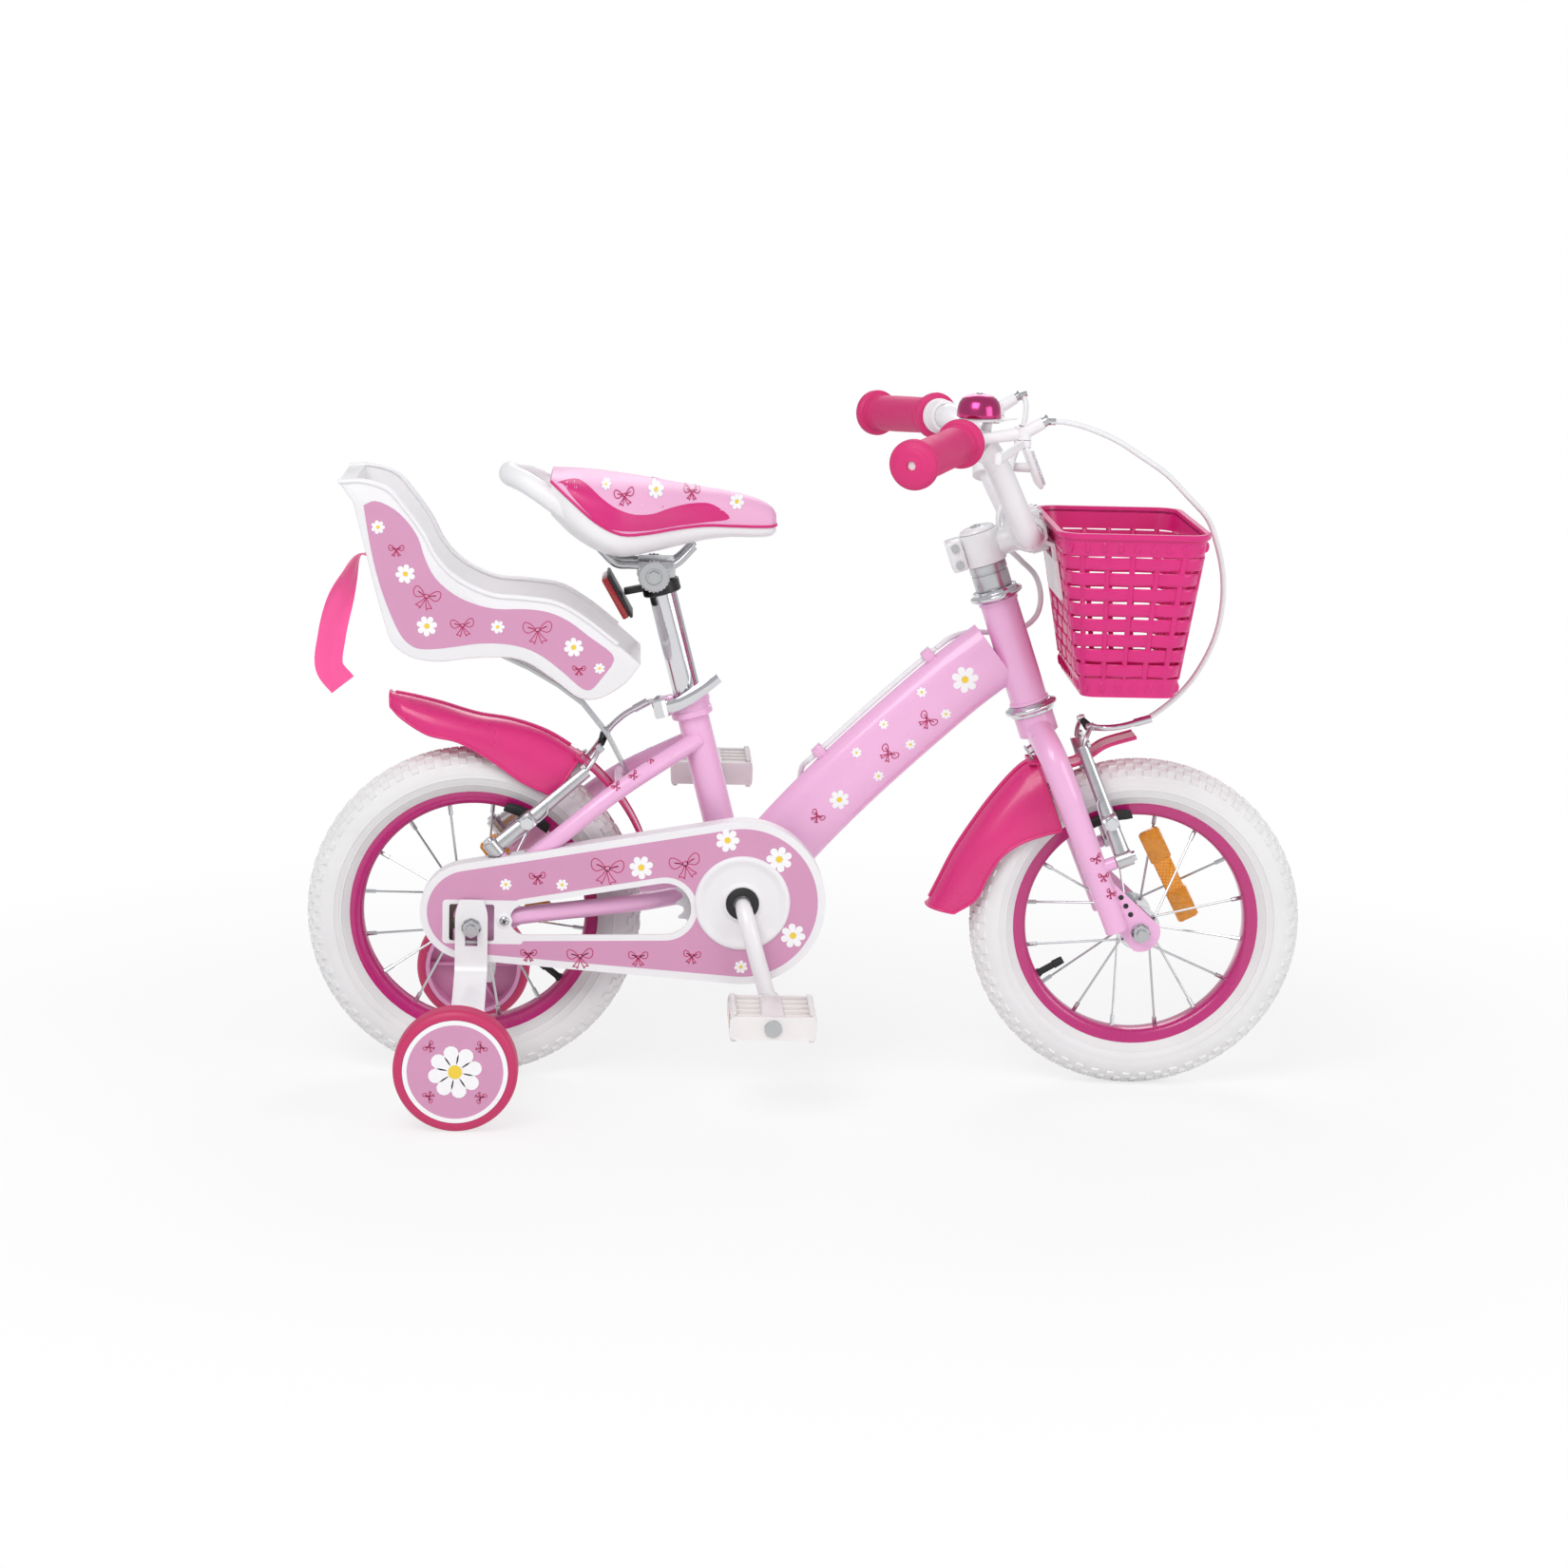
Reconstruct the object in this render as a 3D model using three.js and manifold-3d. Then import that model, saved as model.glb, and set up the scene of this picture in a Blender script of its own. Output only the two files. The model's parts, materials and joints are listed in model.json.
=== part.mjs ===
// Kids bike with training wheels: a 12 inch child's bicycle with a front basket and a doll seat.
// Millimetres. +X is forward, +Y is the rider's left, +Z is up. The origin is on the floor,
// midway between the two wheels.
import * as THREE from "three";
import { mergeVertices } from "three/addons/utils/BufferGeometryUtils.js";
import Module from "manifold-3d";

const wasm = await Module();
wasm.setup();

// General clearances and construction sizes
const seatGap = 0.3;
const runningGap = 1;
const overrun = 5;
const weldDistance = 1e-4;
const meshTolerance = 0.15;

// Wheels
const wheelbase = 602;
const tyreRadius = 151;
const tyreWidth = 46;
const rimRadius = 111;
const rimInnerRadius = 100;
const rimWidth = 27;
const rimWell = 5;
const rimWall = 3;
const hubFlangeRadius = 20;
const hubFlangeThickness = 3;
const hubBarrelRadius = 13;
const spokeCount = 16;
const spokeRadius = 1.1;
const valveLength = 26;
const valveRadius = 3.6;
const wheelSides = 28;

// Axles and fork ends
const frontHubWidth = 90;
const rearHubWidth = 104;
const axleRadius = 4.75;
const dropoutThickness = 4;
const nutWidth = 14;
const nutThickness = 7;
const washerThickness = 1.5;
const axleStub = 4;

// Frame tubes
const headTubeRadius = 17;
const headTubeLength = 98.8;
const headAngleDegrees = 19.08;
const headBottomX = 197.7;
const headBottomZ = 352.4;
const headBore = 14.5;
const crankX = -60;
const crankZ = 176;
const bracketShellRadius = 23;
const bracketShellWidth = 64;
const bracketBore = 16;
const downTubeHeight = 63;
const downTubeWidth = 33;
const seatTubeRadius = 14.3;
const seatTubeBore = 13.2;
const seatTubeTopZ = 334;
const seatTubeFootX = -64.5;
const seatAngleDegrees = 14.9;
const stayRadius = 8;
const stayOffset = 53;
const bossRadius = 6;
const brakeAxisRadius = 104.5;

// Steering stack
const cupRadius = 23;
const cupHeight = 10.5;
const steererRadius = 12.7;
const spacerRadius = 16.5;
const spacerHeight = 17;
const legRadius = 12.5;
const legFootRadius = 10.5;
const legOffset = 49;
const barRadius = 11.1;
const barHalfWidth = 245;
const gripRadius = 16.5;
const gripFlangeRadius = 21.5;

// Crank and drive
const chainPitch = 12.7;
const chainringTeeth = 28;
const sprocketTeeth = 16;
const chainLine = 40;
const chainHeight = 8.4;
const chainOuterWidth = 7.6;
const chainInnerWidth = 5;
const toothHeight = 2;
const toothThickness = 2.2;
const crankLength = 91;
const crankRadius = 7.6;
const crankTurnDegrees = 16.5;
const crankArmOffset = 86;
const pedalLength = 80;
const pedalDepth = 76;
const pedalHeight = 26;

// Chain guard
const guardFace = 66;
const guardWall = 2.5;
const guardFrontRadius = 74.5;
const guardRearRadius = 44;
const guardDepth = 20;

// Training wheels
const trainerRadius = 54;
const trainerWidth = 28;
const trainerOuterY = 205;
const trainerX = -308.5;
const bracketWidth = 29;
const bracketThickness = 3.5;

// Seat
const seatpostRadius = 12.7;
const saddleZ = 509;

const frontAxle = new THREE.Vector3(wheelbase / 2, 0, tyreRadius);
const rearAxle = new THREE.Vector3(-wheelbase / 2, 0, tyreRadius);
const crankAxle = new THREE.Vector3(crankX, 0, crankZ);
const sideways = new THREE.Vector3(0, 1, 0);
const radians = Math.PI / 180;
const turn = Math.PI * 2;

// Shape helpers

function at(x, y, z) {
  return new THREE.Vector3(x, y, z);
}

function mix(a, b, share) {
  return a.clone().lerp(b, share);
}

// Turns a closed three.js geometry into a solid whose faces point out.
function solidOf(geometry) {
  const bare = geometry.index ? geometry.toNonIndexed() : geometry.clone();
  bare.deleteAttribute("normal");
  bare.deleteAttribute("uv");
  const merged = mergeVertices(bare, weldDistance);
  const corners = merged.index.array;
  const kept = [];
  for (let i = 0; i < corners.length; i += 3) {
    const [a, b, c] = [corners[i], corners[i + 1], corners[i + 2]];
    if (a !== b && b !== c && c !== a) kept.push(a, b, c);
  }
  const vertProperties = merged.attributes.position.array;
  const build = (list) =>
    new wasm.Manifold(new wasm.Mesh({ numProp: 3, vertProperties, triVerts: new Uint32Array(list) }));
  const made = build(kept);
  if (made.volume() > 0) return made;
  for (let i = 0; i < kept.length; i += 3) [kept[i + 1], kept[i + 2]] = [kept[i + 2], kept[i + 1]];
  return build(kept);
}

function join(...solids) {
  return solids.flat().reduce((sum, next) => sum.add(next));
}

function cut(body, ...tools) {
  return tools.flat().reduce((rest, next) => rest.subtract(next), body);
}

// A round bar from one point to another, which may taper.
function rod(start, end, radius, sides = 10, endRadius = radius) {
  const along = end.clone().sub(start);
  const geometry = new THREE.CylinderGeometry(endRadius, radius, along.length(), sides);
  geometry.applyQuaternion(new THREE.Quaternion().setFromUnitVectors(sideways, along.clone().normalize()));
  const middle = mix(start, end, 1 / 2);
  geometry.translate(middle.x, middle.y, middle.z);
  return solidOf(geometry);
}

// A round bar that starts at a point and runs a length along a direction.
function pin(start, direction, length, radius, sides = 10) {
  return rod(start, start.clone().addScaledVector(direction, length), radius, sides);
}

// A box with its own axes: along, across and up, given by its centre and full sizes.
function block(centre, size, along = at(1, 0, 0), up = at(0, 0, 1)) {
  const across = up.clone().cross(along).normalize();
  const frame = new THREE.Matrix4().makeBasis(along, across, up).setPosition(centre);
  return solidOf(new THREE.BoxGeometry(size.x, size.y, size.z).applyMatrix4(frame));
}

// A profile of [radius, distance] pairs turned about an axis.
function turned(profile, origin, axis, sides = 20) {
  const points = profile.map(([radius, distance]) => new THREE.Vector2(radius, distance));
  const geometry = new THREE.LatheGeometry(points, sides);
  geometry.applyQuaternion(new THREE.Quaternion().setFromUnitVectors(sideways, axis.clone().normalize()));
  geometry.translate(origin.x, origin.y, origin.z);
  return solidOf(geometry);
}

// A ring with a square section, from one distance to another along its axis.
function ring(origin, axis, inner, outer, from, to, sides = 20) {
  const profile = [[inner, from], [outer, from], [outer, to], [inner, to], [inner, from]];
  return turned(profile, origin, axis, sides);
}

// A tube along a smooth path. Its section is an ellipse: halfWidth across the plane of the path.
function sweep(points, halfWidth, halfHeight = halfWidth, sides = 10, steps = 14) {
  const path = new THREE.CatmullRomCurve3(points, false, "centripetal");
  const section = new THREE.Shape();
  for (let i = 0; i < sides; i++) {
    const angle = (turn * (i + 1 / 2)) / sides;
    const [x, y] = [halfWidth * Math.cos(angle), halfHeight * Math.sin(angle)];
    if (i === 0) section.moveTo(x, y);
    else section.lineTo(x, y);
  }
  section.closePath();
  return solidOf(new THREE.ExtrudeGeometry(section, { extrudePath: path, steps, bevelEnabled: false }));
}

// A flat outline in the X and Z plane, thickened along Y.
function plate(shape, fromY, toY, curveSegments = 8) {
  const geometry = new THREE.ExtrudeGeometry(shape, {
    depth: Math.abs(toY - fromY),
    bevelEnabled: false,
    curveSegments,
  });
  const frame = new THREE.Matrix4().makeBasis(at(1, 0, 0), at(0, 0, 1), at(0, 1, 0));
  geometry.applyMatrix4(frame.setPosition(at(0, Math.min(fromY, toY), 0)));
  return solidOf(geometry);
}

function outline(points) {
  return new THREE.Shape(points.map(([x, z]) => new THREE.Vector2(x, z)));
}

function smoothOutline(points, steps) {
  const curve = new THREE.CatmullRomCurve3(points.map(([x, z]) => at(x, 0, z)), true, "centripetal");
  return outline(curve.getPoints(steps).slice(0, -1).map((p) => [p.x, p.z]));
}

function disc(x, z, radius) {
  const shape = new THREE.Shape();
  shape.absarc(x, z, radius, 0, turn);
  return shape;
}

// The belt-like outline round two circles.
function beltShape(a, radiusA, b, radiusB) {
  const slope = Math.atan2(b.z - a.z, b.x - a.x);
  const open = Math.acos((radiusA - radiusB) / Math.hypot(b.x - a.x, b.z - a.z));
  const shape = new THREE.Shape();
  shape.absarc(a.x, a.z, radiusA, slope + open, slope - open + turn, false);
  shape.absarc(b.x, b.z, radiusB, slope - open, slope + open, false);
  shape.closePath();
  return shape;
}

// A solid between two matching grids of points: an outer skin and an inner skin.
function shellBetween(outer, inner) {
  const rows = outer.length;
  const columns = outer[0].length;
  const positions = [];
  for (const grid of [outer, inner]) {
    for (const row of grid) for (const p of row) positions.push(p.x, p.y, p.z);
  }
  const index = [];
  const id = (side, row, column) => side * rows * columns + row * columns + column;
  const quad = (a, b, c, d) => index.push(a, b, c, a, c, d);
  for (let r = 0; r + 1 < rows; r++) {
    for (let c = 0; c + 1 < columns; c++) {
      quad(id(0, r, c), id(0, r + 1, c), id(0, r + 1, c + 1), id(0, r, c + 1));
      quad(id(1, r, c), id(1, r, c + 1), id(1, r + 1, c + 1), id(1, r + 1, c));
    }
    quad(id(0, r, 0), id(1, r, 0), id(1, r + 1, 0), id(0, r + 1, 0));
    const e = columns - 1;
    quad(id(0, r, e), id(0, r + 1, e), id(1, r + 1, e), id(1, r, e));
  }
  for (let c = 0; c + 1 < columns; c++) {
    quad(id(0, 0, c), id(0, 0, c + 1), id(1, 0, c + 1), id(1, 0, c));
    const e = rows - 1;
    quad(id(0, e, c), id(1, e, c), id(1, e, c + 1), id(0, e, c + 1));
  }
  const geometry = new THREE.BufferGeometry();
  geometry.setAttribute("position", new THREE.Float32BufferAttribute(positions, 3));
  return solidOf(geometry.setIndex(index));
}

// A solid through closed rings of points, with flat ends.
function loft(rings) {
  const count = rings[0].length;
  const positions = [];
  const ends = [rings[0], rings[rings.length - 1]];
  for (const row of rings) for (const p of row) positions.push(p.x, p.y, p.z);
  for (const row of ends) {
    const centre = row.reduce((sum, p) => sum.add(p), at(0, 0, 0)).divideScalar(count);
    positions.push(centre.x, centre.y, centre.z);
  }
  const index = [];
  const id = (row, column) => row * count + (column % count);
  for (let r = 0; r + 1 < rings.length; r++) {
    for (let c = 0; c < count; c++) {
      index.push(id(r, c), id(r + 1, c), id(r + 1, c + 1));
      index.push(id(r, c), id(r + 1, c + 1), id(r, c + 1));
    }
  }
  const first = rings.length * count;
  for (let c = 0; c < count; c++) {
    index.push(first, id(0, c), id(0, c + 1));
    index.push(first + 1, id(rings.length - 1, c + 1), id(rings.length - 1, c));
  }
  const geometry = new THREE.BufferGeometry();
  geometry.setAttribute("position", new THREE.Float32BufferAttribute(positions, 3));
  return solidOf(geometry.setIndex(index));
}

function mirrored(solid) {
  return solid.mirror([0, 1, 0]);
}

// Places on the steering axis: up along it, forward square to it, and to the left.
const steerUp = at(-Math.sin(headAngleDegrees * radians), 0, Math.cos(headAngleDegrees * radians));
const steerForward = at(Math.cos(headAngleDegrees * radians), 0, Math.sin(headAngleDegrees * radians));
const headBottom = at(headBottomX, 0, headBottomZ);

function onSteering(up, forward, left = 0) {
  return headBottom.clone().addScaledVector(steerUp, up).addScaledVector(steerForward, forward).add(at(0, left, 0));
}

// Places on the seat tube axis, measured from its foot.
const seatUp = at(-Math.sin(seatAngleDegrees * radians), 0, Math.cos(seatAngleDegrees * radians));
const seatFoot = at(seatTubeFootX, 0, crankZ);
const seatTubeLength = (seatTubeTopZ - crankZ) / seatUp.z;

function onSeatTube(up, forward = 0, left = 0) {
  return seatFoot.clone().addScaledVector(seatUp, up).add(at(forward, left, 0));
}

// Frame

const rearStay = {
  topUp: 143,
  topOffset: 9,
  bendX: -177,
  bendZ: 269,
  lowX: -222,
  lowZ: 233,
  endX: -288,
  endZ: 178,
};
const seatStayPath = [
  onSeatTube(rearStay.topUp, 0, rearStay.topOffset),
  at(rearStay.bendX, stayOffset - stayRadius, rearStay.bendZ),
  at(rearStay.lowX, stayOffset, rearStay.lowZ),
  at(rearStay.endX, stayOffset, rearStay.endZ),
];
const chainStay = {
  frontOffset: 23,
  neckX: -116,
  neckOffset: 26,
  neckZ: 173,
  bendX: -152,
  bendOffset: 38,
  bendZ: 169,
  rearX: -258,
  rearZ: 158.5,
  endX: -277,
  endZ: 155,
};
const chainStayPath = [
  at(crankX - bracketShellRadius / 2, chainStay.frontOffset, crankZ),
  at(chainStay.neckX, chainStay.neckOffset, chainStay.neckZ),
  at(chainStay.bendX, chainStay.bendOffset, chainStay.bendZ),
  at(chainStay.rearX, stayOffset, chainStay.rearZ),
  at(chainStay.endX, stayOffset, chainStay.endZ),
];
const dropout = { radius: 17, slotWidth: 10.2, length: 34, height: 42 };
const bridge = { x: -171, radius: 6 };
const brake = {
  bossLength: 20,
  studRadius: 3.8,
  studLength: 36,
  padSeat: 28,
  armLength: 108,
  armWidth: 9,
  armThickness: 5,
  sleeveRadius: 7.5,
  padGap: 2,
  padLength: 44,
  padHeight: 8,
  padThickness: 11,
  padBoltRadius: 3,
  frontTopOffset: 28,
  rearTopOffset: 35,
};
const stayDirection = at(rearStay.lowX - rearStay.endX, 0, rearStay.lowZ - rearStay.endZ).normalize();
const stayNormal = at(-stayDirection.z, 0, stayDirection.x);
const rearBossShare = 0.36;

function seatStayCentre(share) {
  return mix(at(rearStay.endX, stayOffset, rearStay.endZ), at(rearStay.lowX, stayOffset, rearStay.lowZ), share);
}

function rearDropout() {
  const face = rearHubWidth / 2;
  const shape = new THREE.Shape();
  shape.moveTo(rearAxle.x - dropout.radius, rearAxle.z - dropout.radius);
  shape.lineTo(rearAxle.x + dropout.radius, rearAxle.z - dropout.radius);
  shape.lineTo(chainStay.rearX, chainStay.rearZ - stayRadius);
  shape.lineTo(chainStay.rearX, chainStay.rearZ + stayRadius);
  shape.lineTo(rearStay.endX + dropout.radius, rearStay.endZ + dropout.radius);
  shape.lineTo(rearAxle.x - dropout.radius / 2, rearStay.endZ + stayRadius / 2);
  shape.lineTo(rearAxle.x - dropout.radius, rearAxle.z + dropout.radius / 2);
  shape.closePath();
  const body = plate(shape, face, face + dropoutThickness);
  const slot = block(
    at(rearAxle.x - dropout.length / 2, face + dropoutThickness / 2, rearAxle.z),
    at(dropout.length, dropoutThickness + overrun, dropout.slotWidth),
  );
  const seat = rod(
    at(rearAxle.x, face - overrun, rearAxle.z),
    at(rearAxle.x, face + dropoutThickness + overrun, rearAxle.z),
    dropout.slotWidth / 2,
    10,
  );
  return cut(body, slot, seat);
}

function seatStay() {
  return sweep(seatStayPath, stayRadius, stayRadius, 6, 5);
}

function chainStayTube() {
  return sweep(chainStayPath, stayRadius, stayRadius, 6, 5);
}

function brakeBoss(foot, direction) {
  return join(
    pin(foot, direction, brake.bossLength, bossRadius, 8),
    pin(foot, direction, brake.studLength, brake.studRadius, 6),
  );
}

function rearHalf() {
  const boss = brakeBoss(seatStayCentre(rearBossShare), stayNormal);
  return join(seatStay(), chainStayTube(), rearDropout(), boss);
}

const staySlope = stayDirection.z / stayDirection.x;
const bridgeCentre = at(bridge.x, 0, rearStay.bendZ + (bridge.x - rearStay.bendX) * staySlope);
const downTube = { startUp: 53, startBack: 16, bends: [[129, 368], [33.5, 278.6], [-22.6, 217.7], [-46, 186]] };
const downTubePoints = [
  onSteering(downTube.startUp, -downTube.startBack),
  ...downTube.bends.map(([x, z]) => at(x, 0, z)),
];
const cableClip = { placeShares: [0.255, 0.5], length: 10, width: 10, height: 11, bore: 3.4 };

function mainFrame() {
  const head = rod(onSteering(0, 0), onSteering(headTubeLength, 0), headTubeRadius, 14);
  const down = sweep(downTubePoints, downTubeWidth / 2, downTubeHeight / 2, 12, 5);
  const seat = rod(seatFoot, onSeatTube(seatTubeLength + collar.height - runningGap), seatTubeRadius, 12);
  const half = bracketShellWidth / 2;
  const shell = rod(at(crankX, -half, crankZ), at(crankX, half, crankZ), bracketShellRadius, 14);
  const stays = rearHalf();
  const reach = at(0, stayOffset - stayRadius, 0);
  const bridgeTube = rod(bridgeCentre.clone().sub(reach), bridgeCentre.clone().add(reach), bridge.radius, 8);
  const solid = join(head, down, seat, shell, stays, mirrored(stays), bridgeTube, cableClips());
  const headHole = rod(onSteering(-overrun, 0), onSteering(headTubeLength + overrun, 0), headBore, 12);
  const shellHole = rod(at(crankX, -half - overrun, crankZ), at(crankX, half + overrun, crankZ), bracketBore + 2 * seatGap, 12);
  const postHole = rod(onSeatTube(bracketShellRadius), onSeatTube(seatTubeLength + collar.height + overrun), seatTubeBore + seatGap, 12);
  return cut(solid, headHole, shellHole, postHole);
}

function downTubeTop(share) {
  const path = new THREE.CatmullRomCurve3(downTubePoints, false, "centripetal");
  const point = path.getPoint(share);
  const along = path.getTangent(share);
  const up = at(-along.z, 0, along.x).multiplyScalar(Math.sign(along.x) || 1);
  return { point: point.addScaledVector(up, downTubeHeight / 2), along, up };
}

function cableClips() {
  return cableClip.placeShares.map((share) => {
    const { point, along, up } = downTubeTop(share);
    const centre = point.clone().addScaledVector(up, cableClip.height / 2 - 2 * runningGap);
    const body = block(centre, at(cableClip.length, cableClip.width, cableClip.height), along, up);
    const hole = point.clone().addScaledVector(up, cableClip.bore + runningGap);
    const reach = cableClip.length / 2 + overrun;
    return cut(body, rod(
      hole.clone().addScaledVector(along, -reach),
      hole.clone().addScaledVector(along, reach),
      cableClip.bore,
      6,
    ));
  });
}

const material = (color, roughness, metalness = 0) => new THREE.MeshStandardMaterial({ color, roughness, metalness });
const finishes = {
  framePaint: material("#f2b6de", 0.3),
  hotPink: material("#e2287f", 0.35),
  dustyPink: material("#d6a0bb", 0.4),
  magenta: material("#c8277f", 0.3),
  white: material("#efedee", 0.4),
  tyreWhite: material("#e9e8e8", 0.7),
  steel: material("#c9cacc", 0.25, 1),
  black: material("#1c1c1e", 0.5),
  amber: material("#f5a30a", 0.25),
  clear: material("#e6e9ee", 0.15),
  red: material("#b3121d", 0.2),
  ribbonPink: material("#ff5fa2", 0.5),
};

const model = new THREE.Group();

function addPiece(name, solid, finish) {
  const mesh = solid.simplify(meshTolerance).getMesh();
  const geometry = new THREE.BufferGeometry();
  geometry.setAttribute("position", new THREE.BufferAttribute(Float32Array.from(mesh.vertProperties), 3));
  geometry.setIndex(new THREE.BufferAttribute(Uint32Array.from(mesh.triVerts), 1));
  geometry.computeVertexNormals();
  const piece = new THREE.Mesh(geometry, finishes[finish]);
  piece.name = name;
  model.add(piece);
}

// Headset and steering stack

const cup = { neckRadius: 20, flangeRadius: 24, flangeHeight: 4 };
const stem = {
  clampLow: 133,
  clampHigh: 163,
  clampRadius: 19,
  earBack: 31,
  earWidth: 30,
  barUp: 149.5,
  barForward: 42.6,
  clampWidth: 46,
  barClampRadius: 16.5,
  neckWidth: 30,
  capHeight: 4,
  boltRadius: 3.5,
  boltHead: 5.5,
  boltRise: 9,
};
const steererTop = stem.clampHigh - 3 * seatGap;

function headsetCup(outward) {
  const base = outward > 0 ? headTubeLength : 0;
  const inner = steererRadius + 3 * seatGap;
  const middle = seatGap + cup.flangeHeight / 2;
  const profile = [
    [inner, base + outward * seatGap],
    [cup.neckRadius, base + outward * seatGap],
    [cup.flangeRadius, base + outward * middle],
    [cup.flangeRadius, base + outward * (middle + cup.flangeHeight)],
    [cup.neckRadius, base + outward * cupHeight],
    [inner, base + outward * cupHeight],
    [inner, base + outward * seatGap],
  ];
  return turned(profile, headBottom, steerUp, 12);
}

function headsetSpacer() {
  const from = headTubeLength + cupHeight + seatGap;
  const inner = steererRadius + 2 * seatGap;
  return ring(headBottom, steerUp, inner, spacerRadius, from, stem.clampLow + seatGap, 12);
}

function stemBody() {
  const barCentre = onSteering(stem.barUp, stem.barForward);
  const half = stem.clampWidth / 2;
  const clamp = rod(onSteering(stem.clampLow, 0), onSteering(stem.clampHigh, 0), stem.clampRadius, 12);
  const height = stem.clampHigh - stem.clampLow;
  const middle = (stem.clampHigh + stem.clampLow) / 2;
  const ear = block(onSteering(middle, -stem.earBack / 2), at(stem.earBack, stem.earWidth, height), steerForward, steerUp);
  const neck = block(
    onSteering(middle, stem.barForward / 2),
    at(stem.barForward, stem.neckWidth, height),
    steerForward,
    steerUp,
  );
  const barClamp = rod(
    barCentre.clone().add(at(0, -half, 0)),
    barCentre.clone().add(at(0, half, 0)),
    stem.barClampRadius,
    12,
  );
  const bolts = [middle + stem.boltRise / 2, middle - stem.boltRise].map((up, i) => {
    const reach = stem.earWidth / 2 + (i === 0 ? stem.boltRadius : 0);
    return rod(
      onSteering(up, -stem.earBack + stem.boltHead * 2, -reach),
      onSteering(up, -stem.earBack + stem.boltHead * 2, reach),
      i === 0 ? stem.boltHead : stem.boltRadius,
      6,
    );
  });
  const steererHole = rod(
    onSteering(stem.clampLow - overrun, 0),
    onSteering(stem.clampHigh + overrun, 0),
    steererRadius + 2 * seatGap,
    14,
  );
  const barHole = rod(
    barCentre.clone().add(at(0, -half - overrun, 0)),
    barCentre.clone().add(at(0, half + overrun, 0)),
    barRadius + 2 * seatGap,
    12,
  );
  const split = block(
    onSteering(middle, -stem.earBack),
    at(stem.earBack, runningGap * 2, height + overrun),
    steerForward,
    steerUp,
  );
  return cut(join(clamp, ear, neck, barClamp, bolts[0]), steererHole, barHole, split, bolts[1]);
}

function stemCap() {
  const radius = stem.clampRadius - runningGap;
  const profile = [
    [0, stem.clampHigh - seatGap],
    [radius, stem.clampHigh - seatGap],
    [radius, stem.clampHigh + stem.capHeight / 2],
    [radius - stem.capHeight / 2, stem.clampHigh + stem.capHeight],
    [0, stem.clampHigh + stem.capHeight],
  ];
  return turned(profile, headBottom, steerUp, 12);
}

// Fork

const leg = {
  rootUp: -24.5,
  rootOffset: 7,
  shoulder: at(216, 42, 309),
  bend: at(230, 48, 276),
  foot: at(279.5, 50, 152.5),
};
const legDirection = leg.bend.clone().sub(leg.foot).normalize();
const legForward = at(legDirection.z, 0, -legDirection.x);
const frontBossShare = 0.45;
const forkEnd = { radius: 18, topShare: 0.36, topWidth: 12, holeRadius: 2.4, holeShares: [0.3, 0.47, 0.64] };

function forkEndPlate() {
  const y = frontHubWidth / 2;
  const top = mix(leg.foot, leg.bend, forkEnd.topShare);
  const low = leg.foot.clone();
  const shape = new THREE.Shape();
  const slope = Math.atan2(top.z - frontAxle.z, top.x - frontAxle.x + forkEnd.topWidth);
  shape.moveTo(low.x, low.z);
  shape.lineTo(top.x, top.z);
  shape.lineTo(top.x + forkEnd.topWidth, top.z);
  shape.absarc(frontAxle.x, frontAxle.z, forkEnd.radius, slope - Math.PI / 2, -Math.PI * 0.6, true);
  shape.closePath();
  const body = plate(shape, y, y + dropoutThickness);
  const through = (x, z, radius) => rod(at(x, y - overrun, z), at(x, y + dropoutThickness + overrun, z), radius, 6);
  const holes = forkEnd.holeShares.map((share) => {
    const place = mix(at(top.x + forkEnd.topWidth, 0, top.z), frontAxle, share);
    return through(place.x, place.z, forkEnd.holeRadius);
  });
  const slotLength = forkEnd.radius + overrun;
  const seat = rod(
    at(frontAxle.x, y - overrun, frontAxle.z),
    at(frontAxle.x, y + dropoutThickness + overrun, frontAxle.z),
    axleRadius + 2 * seatGap,
    12,
  );
  const slot = block(
    at(frontAxle.x - legDirection.x * slotLength / 2, y + dropoutThickness / 2, frontAxle.z - legDirection.z * slotLength / 2),
    at(slotLength, dropoutThickness + overrun, axleRadius * 2 + seatGap * 4),
    legDirection,
    legForward,
  );
  return cut(body, holes, slot, seat);
}

function forkHalf() {
  const root = onSteering(leg.rootUp, 0, leg.rootOffset);
  const upper = sweep([root, leg.shoulder, leg.bend, mix(leg.bend, leg.foot, 0.12)], legRadius, legRadius, 7, 4);
  const lower = rod(leg.foot, mix(leg.bend, leg.foot, 0.04), legFootRadius, 8, legRadius);
  const boss = brakeBoss(mix(leg.foot, leg.bend, frontBossShare), legForward);
  return join(upper, lower, forkEndPlate(), boss);
}

function fork() {
  const crownTop = -cupHeight - seatGap;
  const crown = rod(onSteering(leg.rootUp - cupHeight / 2, 0), onSteering(crownTop, 0), cup.neckRadius - runningGap * 2, 12);
  const steerer = rod(onSteering(leg.rootUp, 0), onSteering(steererTop, 0), steererRadius, 12);
  const half = forkHalf();
  return join(crown, steerer, half, mirrored(half));
}

// Wheels

function tyre(axle) {
  const bead = rimRadius + seatGap;
  const lip = rimWidth / 2 - rimWall - seatGap;
  const half = tyreWidth / 2;
  const side = (radiusShare, widthShare) => [rimRadius + (tyreRadius - rimRadius) * radiusShare, half * widthShare];
  const right = [
    [rimRadius - rimWell + seatGap, lip],
    [bead, rimWidth / 2 - seatGap * 3],
    side(0.45, 1),
    side(1, 0.36),
  ];
  const left = right.map(([radius, y]) => [radius, -y]).reverse();
  return turned([...right, ...left, right[0]], axle, sideways, wheelSides);
}

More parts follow.
